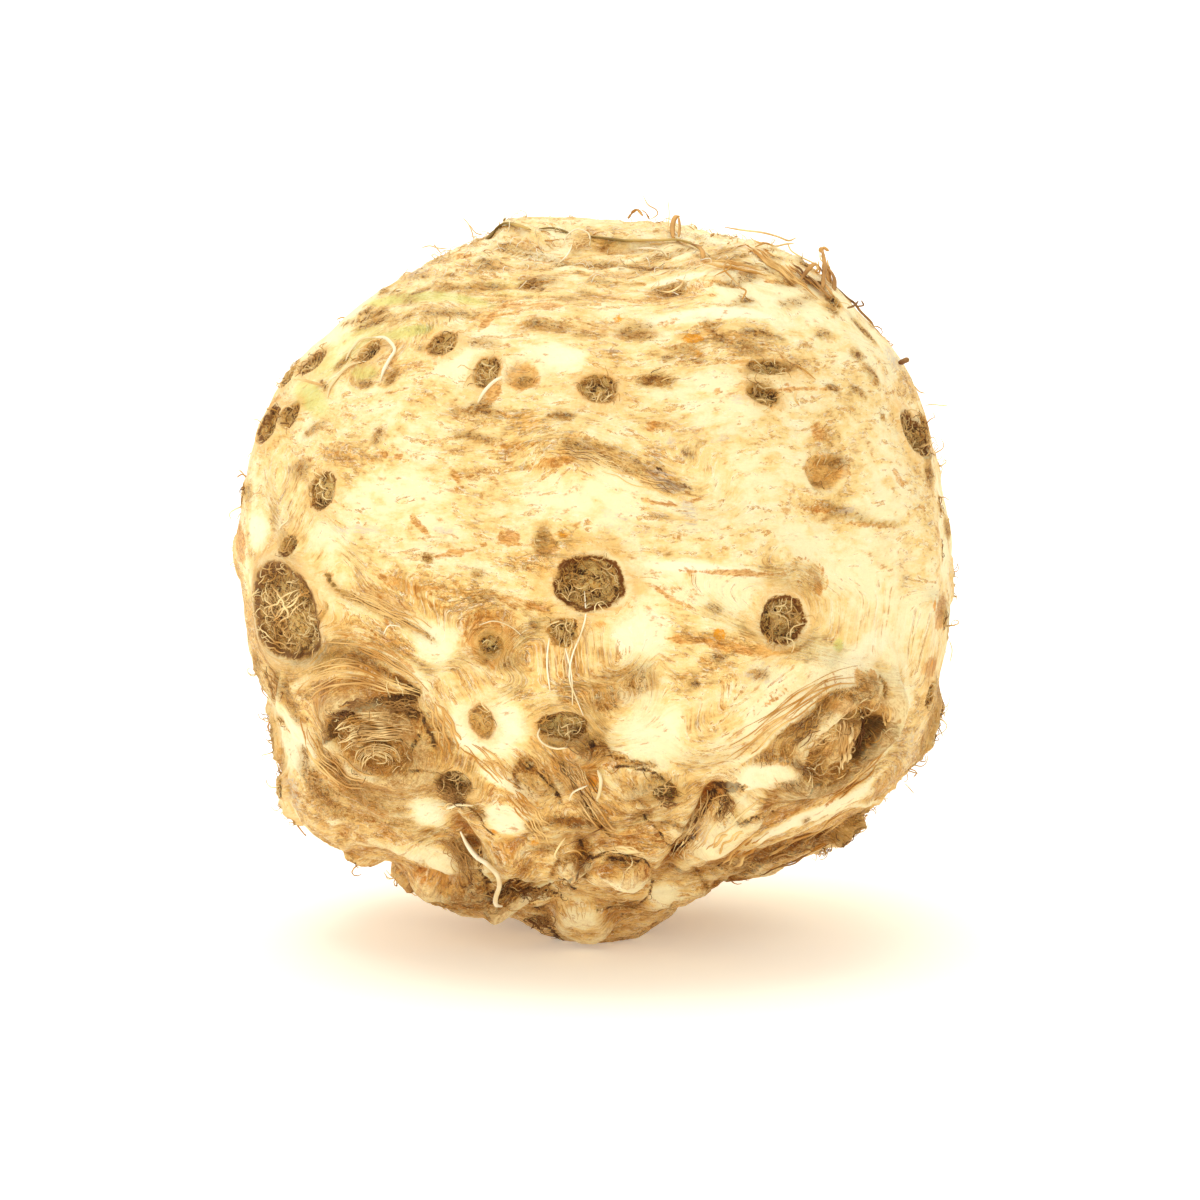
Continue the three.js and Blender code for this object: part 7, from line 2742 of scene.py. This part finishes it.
def strewing_tree() -> bpy.types.NodeTree:
    """The node tree that strews fibres over a bed.

    Returns:
        The tree, whose inputs are set by name.
    """
    tree = bpy.data.node_groups.new("strewn_fibres", "GeometryNodeTree")
    inputs = [
        ("Geometry", "Geometry"), ("Fibres", "Collection"), ("Per square metre", "Float"), ("Shortest", "Float"),
        ("Longest", "Float"), ("Lean", "Float"), ("Astray", "Float"), ("Seed", "Int"), ("Material", "Material"),
    ]
    for name, kind in inputs:
        tree.interface.new_socket(name=name, in_out="INPUT", socket_type=f"NodeSocket{kind}")
    tree.interface.new_socket(name="Geometry", in_out="OUTPUT", socket_type="NodeSocketGeometry")
    g = Graph(tree)
    given = g.add("NodeGroupInput").outputs
    named = "GeometryNodeInputNamedAttribute"
    thickly = g.add(named, {"Name": "thickly"}, data_type="FLOAT").outputs["Attribute"]
    points = g.add("GeometryNodeDistributePointsOnFaces", {
        "Mesh": given["Geometry"], "Density": g.times(given["Per square metre"], thickly), "Seed": given["Seed"],
    }, distribute_method="RANDOM")
    down = g.math("MULTIPLY", given["Lean"], -1.0)
    back = g.math("MULTIPLY", given["Astray"], -1.0)
    low = g.add("ShaderNodeCombineXYZ", {0: down, 1: down, 2: back}).outputs[0]
    high = g.add("ShaderNodeCombineXYZ", {0: given["Lean"], 1: given["Lean"], 2: given["Astray"]}).outputs[0]
    turn = g.add("FunctionNodeRandomValue", {0: low, 1: high, "Seed": given["Seed"]}, data_type="FLOAT_VECTOR")
    euler = g.add("FunctionNodeEulerToRotation", {0: turn.outputs[0]}).outputs[0]
    way = g.add(named, {"Name": "grain_way"}, data_type="FLOAT_VECTOR").outputs["Attribute"]
    laid = g.add("FunctionNodeAlignRotationToVector", {
        "Rotation": points.outputs["Rotation"], "Factor": 1.0, "Vector": way,
    }, axis="X", pivot_axis="Z").outputs[0]
    rotation = g.add("FunctionNodeRotateRotation", {0: laid, 1: euler}, rotation_space="LOCAL")
    size = g.add("FunctionNodeRandomValue", {"Seed": given["Seed"]}, data_type="FLOAT")
    g.feed(size.inputs[2], given["Shortest"])
    g.feed(size.inputs[3], given["Longest"])
    fibres = g.add("GeometryNodeCollectionInfo", {"Collection": given["Fibres"], "Separate Children": True,
                                                  "Reset Children": True}).outputs[0]
    strewn = g.add("GeometryNodeInstanceOnPoints", {
        "Points": points.outputs["Points"], "Instance": fibres, "Pick Instance": True,
        "Rotation": rotation.outputs[0], "Scale": size.outputs[1],
    }).outputs[0]
    real = g.add("GeometryNodeRealizeInstances", {"Geometry": strewn}).outputs[0]
    done = g.add("GeometryNodeSetMaterial", {"Geometry": real, "Material": given["Material"]}).outputs[0]
    g.add("NodeGroupOutput", {"Geometry": done})
    return tree


# ----------------------------------------------------------------------------------------------------------
# Studio
# ----------------------------------------------------------------------------------------------------------


@dataclass
class Studio:
    """A pale sweep of paper, soft light and the camera."""

    floor_near: Colour = tint("F6F3E8")
    floor_far: Colour = tint("FFFFFF")
    # The paper's faint glow is painted light, lifting its shadow and the root's underside.
    floor_glow: Colour = tint("FFF4E2")
    glow: float = 0.26
    in_front: float = 2600.0
    behind: float = 700.0
    bend: float = 600.0
    wall_top: float = 2600.0
    half_width: float = 3200.0
    bend_steps: int = 12
    lens_width: float = 36.0
    sees_to: float = 20.0
    cool: Colour = (0.97, 0.99, 1.0)
    surroundings: Colour = (1.0, 0.95, 0.85)
    surround_strength: float = 0.75

    def sweep(self) -> bpy.types.Object:
        """The floor, which bends up into a wall behind.

        Returns:
            The object.
        """
        profile = [(-self.in_front, 0.0), (0.0, 0.0), (self.behind, 0.0)]
        for k in range(1, self.bend_steps + 1):
            angle = k / self.bend_steps * math.pi / 2
            profile.append((self.behind + self.bend * math.sin(angle), self.bend * (1 - math.cos(angle))))
        profile.append((self.behind + self.bend, self.wall_top))
        points = [(x * MM, y * MM, z * MM) for y, z in profile for x in (-self.half_width, self.half_width)]
        faces = [(2 * i, 2 * i + 1, 2 * i + 3, 2 * i + 2) for i in range(len(profile) - 1)]
        mesh = bpy.data.meshes.new("paper_sweep")
        mesh.from_pydata(points, [], faces)
        mesh.polygons.foreach_set("use_smooth", np.ones(len(faces), dtype=bool))
        mesh.materials.append(self.paper())
        sweep = link(bpy.data.objects.new("paper_sweep", mesh))
        sweep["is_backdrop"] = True
        return sweep

    def paper(self) -> bpy.types.Material:
        """Matte paper, white at the back and a little warmer in front, with a faint glow that is painted light: it
        lifts the shadow on the floor and lights the root's underside.

        Returns:
            The material.
        """
        material = bpy.data.materials.new("paper")
        material.use_nodes = True
        g = Graph(material.node_tree)
        place = g.add("ShaderNodeSeparateXYZ", {0: g.add("ShaderNodeTexCoord").outputs["Object"]}).outputs
        share = g.step(place[1], -0.25, 0.2)
        shader = g.add("ShaderNodeBsdfPrincipled", {
            "Base Color": g.mix(share, self.floor_near, self.floor_far), "Roughness": 1.0,
            "Specular IOR Level": 0.0, "Emission Color": (*self.floor_glow, 1.0), "Emission Strength": self.glow,
        })
        g.add("ShaderNodeOutputMaterial", {"Surface": shader.outputs[0]})
        return material

    def lamp(self, name: str, at: tuple[float, float, float], size: float, watts: float) -> None:
        """A square softbox facing the root.

        Args:
            name: Its name.
            at: Its place in millimetres.
            size: Its side in millimetres.
            watts: Its power.
        """
        light = bpy.data.lights.new(name, "AREA")
        light.shape, light.size, light.energy = "SQUARE", size * MM, watts
        light.color = self.cool
        lamp = link(bpy.data.objects.new(name, light))
        lamp.location = Vector(at) * MM
        aim = Vector((0, 0, MIDDLE_HEIGHT * MM)) - lamp.location
        lamp.rotation_euler = aim.to_track_quat("-Z", "Y").to_euler()

    def light(self) -> None:
        """White surroundings, a big softbox overhead and a weaker one in front."""
        world = bpy.data.worlds.new("studio")
        world.use_nodes = True
        g = Graph(world.node_tree)
        surround = g.add("ShaderNodeBackground", {"Color": self.surroundings, "Strength": self.surround_strength})
        g.add("ShaderNodeOutputWorld", {"Surface": surround.outputs[0]})
        bpy.context.scene.world = world
        self.lamp("overhead", (-150, 150, 1500), 1300, 13.0)
        self.lamp("front", (-500, -1500, 600), 900, 8.0)
        scene = bpy.context.scene
        scene.view_settings.view_transform = "Standard"
        scene.view_settings.look = "None"

    def camera(self) -> None:
        """The camera, level with the front view and moved so that the view's middle is the picture's."""
        into, right, top = VIEW.axes()
        half = VIEW.side / 2
        shift = right * (half - VIEW.middle[0]) - top * (half - VIEW.middle[1])
        eye = VIEW.eye() + shift / VIEW.px_per_mm
        data = bpy.data.cameras.new("camera")
        data.sensor_width = self.lens_width
        data.lens = self.lens_width * VIEW.distance * VIEW.px_per_mm / VIEW.side
        data.clip_end = self.sees_to
        camera = link(bpy.data.objects.new("camera", data))
        facing = Matrix(np.column_stack([right, top, -into]).tolist()).to_4x4()
        camera.matrix_world = Matrix.Translation(Vector(eye * MM)) @ facing
        bpy.context.scene.camera = camera

    def make(self) -> None:
        """Sets everything up."""
        self.sweep()
        self.light()
        self.camera()


# ----------------------------------------------------------------------------------------------------------
# The celeriac
# ----------------------------------------------------------------------------------------------------------


@dataclass
class Celeriac:
    """The root with its skin, fibres and strands."""

    quick_sides: int = 60

    def beds(self, skin: Skin) -> list[tuple[FibreBed, Array]]:
        """Where fibres grow, and how thickly.

        Args:
            skin: The finished skin.

        Returns:
            Each bed with its density at every vertex.
        """
        q, tone = skin.scars[:, 0], skin.scars[:, 1]
        floor = (1 - smooth_step(0.75, 0.95, q)) * smooth_step(0.4, 0.7, tone)
        low_floor = 1 - smooth_step(0.8, 1.0, q)
        scab = smooth_step(0.6, 1.0, skin.masks[:, SCAB.value])
        dirt_and_shade = smooth_step(0.6, 1.0, skin.masks[:, DIRT_AND_SHADE.value])
        _, down = skin.angles()
        crown = smooth_step(36, 22, down) * smooth_step(9, 14, down)
        fibrous = smooth_step(0.45, 0.9, skin.fibrous) * smooth_step(150, 140, down)
        return [
            (STRAW_BED, 0.8 * floor + 0.12 * low_floor + 0.25 * dirt_and_shade),
            (BROWN_BED, 0.35 * floor + 0.12 * low_floor + 0.45 * dirt_and_shade),
            (CROWN_BED, 0.14 * crown + 0.02 * scab),
            (SHRED_BED, 0.05 * fibrous + 0.25 * scab + 0.1 * crown),
            (DARK_SHRED_BED, 0.03 * fibrous + 0.25 * scab),
        ]

    def make(self) -> list[bpy.types.Object]:
        """Every piece of the root.

        Returns:
            The objects, the skin first.
        """
        skin = Skin(net=SkinNet())
        body = skin.make()
        body.data.materials.append(SkinLook().make())
        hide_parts(NODE)
        pieces = [body]
        for name, seen, finish in (
            ("cream_strands", CREAM_STRANDS, CREAM_FIBRE), ("straw_strands", STRAW_STRANDS, STRAW_FIBRE),
            ("brown_strands", BROWN_STRANDS, BROWN_FIBRE), ("crown_rags", RAGS, BARK_RAG),
            ("olive_rags", OLIVE_RAGS, OLIVE_RAG),
            ("straw_fans", [strand for fan in STRAW_FANS for strand in fan.strands()], STRAW_FIBRE),
            ("gold_fans", [strand for fan in GOLD_FANS for strand in fan.strands()], SHRED_FIBRE),
            ("brown_fans", [strand for fan in BROWN_FANS for strand in fan.strands()], BROWN_FIBRE),
        ):
            pieces.append(Strands(name, seen, finish).make(skin.finder))
        pieces.extend(bed.make(skin, density) for bed, density in self.beds(skin))
        for piece in pieces:
            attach(piece, BODY)
        return pieces


def plain(value: object) -> object:
    """A value with every vector turned into a plain list.

    Args:
        value: Any value.

    Returns:
        The same value in lists, dicts and numbers.
    """
    if isinstance(value, dict):
        return {str(key): plain(item) for key, item in value.items()}
    if isinstance(value, (list, tuple, Vector)) or hasattr(value, "tolist"):
        return [plain(item) for item in value]
    return value


def main() -> None:
    """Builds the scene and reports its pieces."""
    logging.basicConfig(level=logging.INFO)
    sizes = {"cad": plain(CAD_BOX)}
    for piece in Celeriac().make():
        log.info("%s: %d faces", piece.name, len(piece.data.polygons))
    Studio().make()
    sizes["scene"] = plain(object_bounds())


if __name__ == "__main__":
    main()
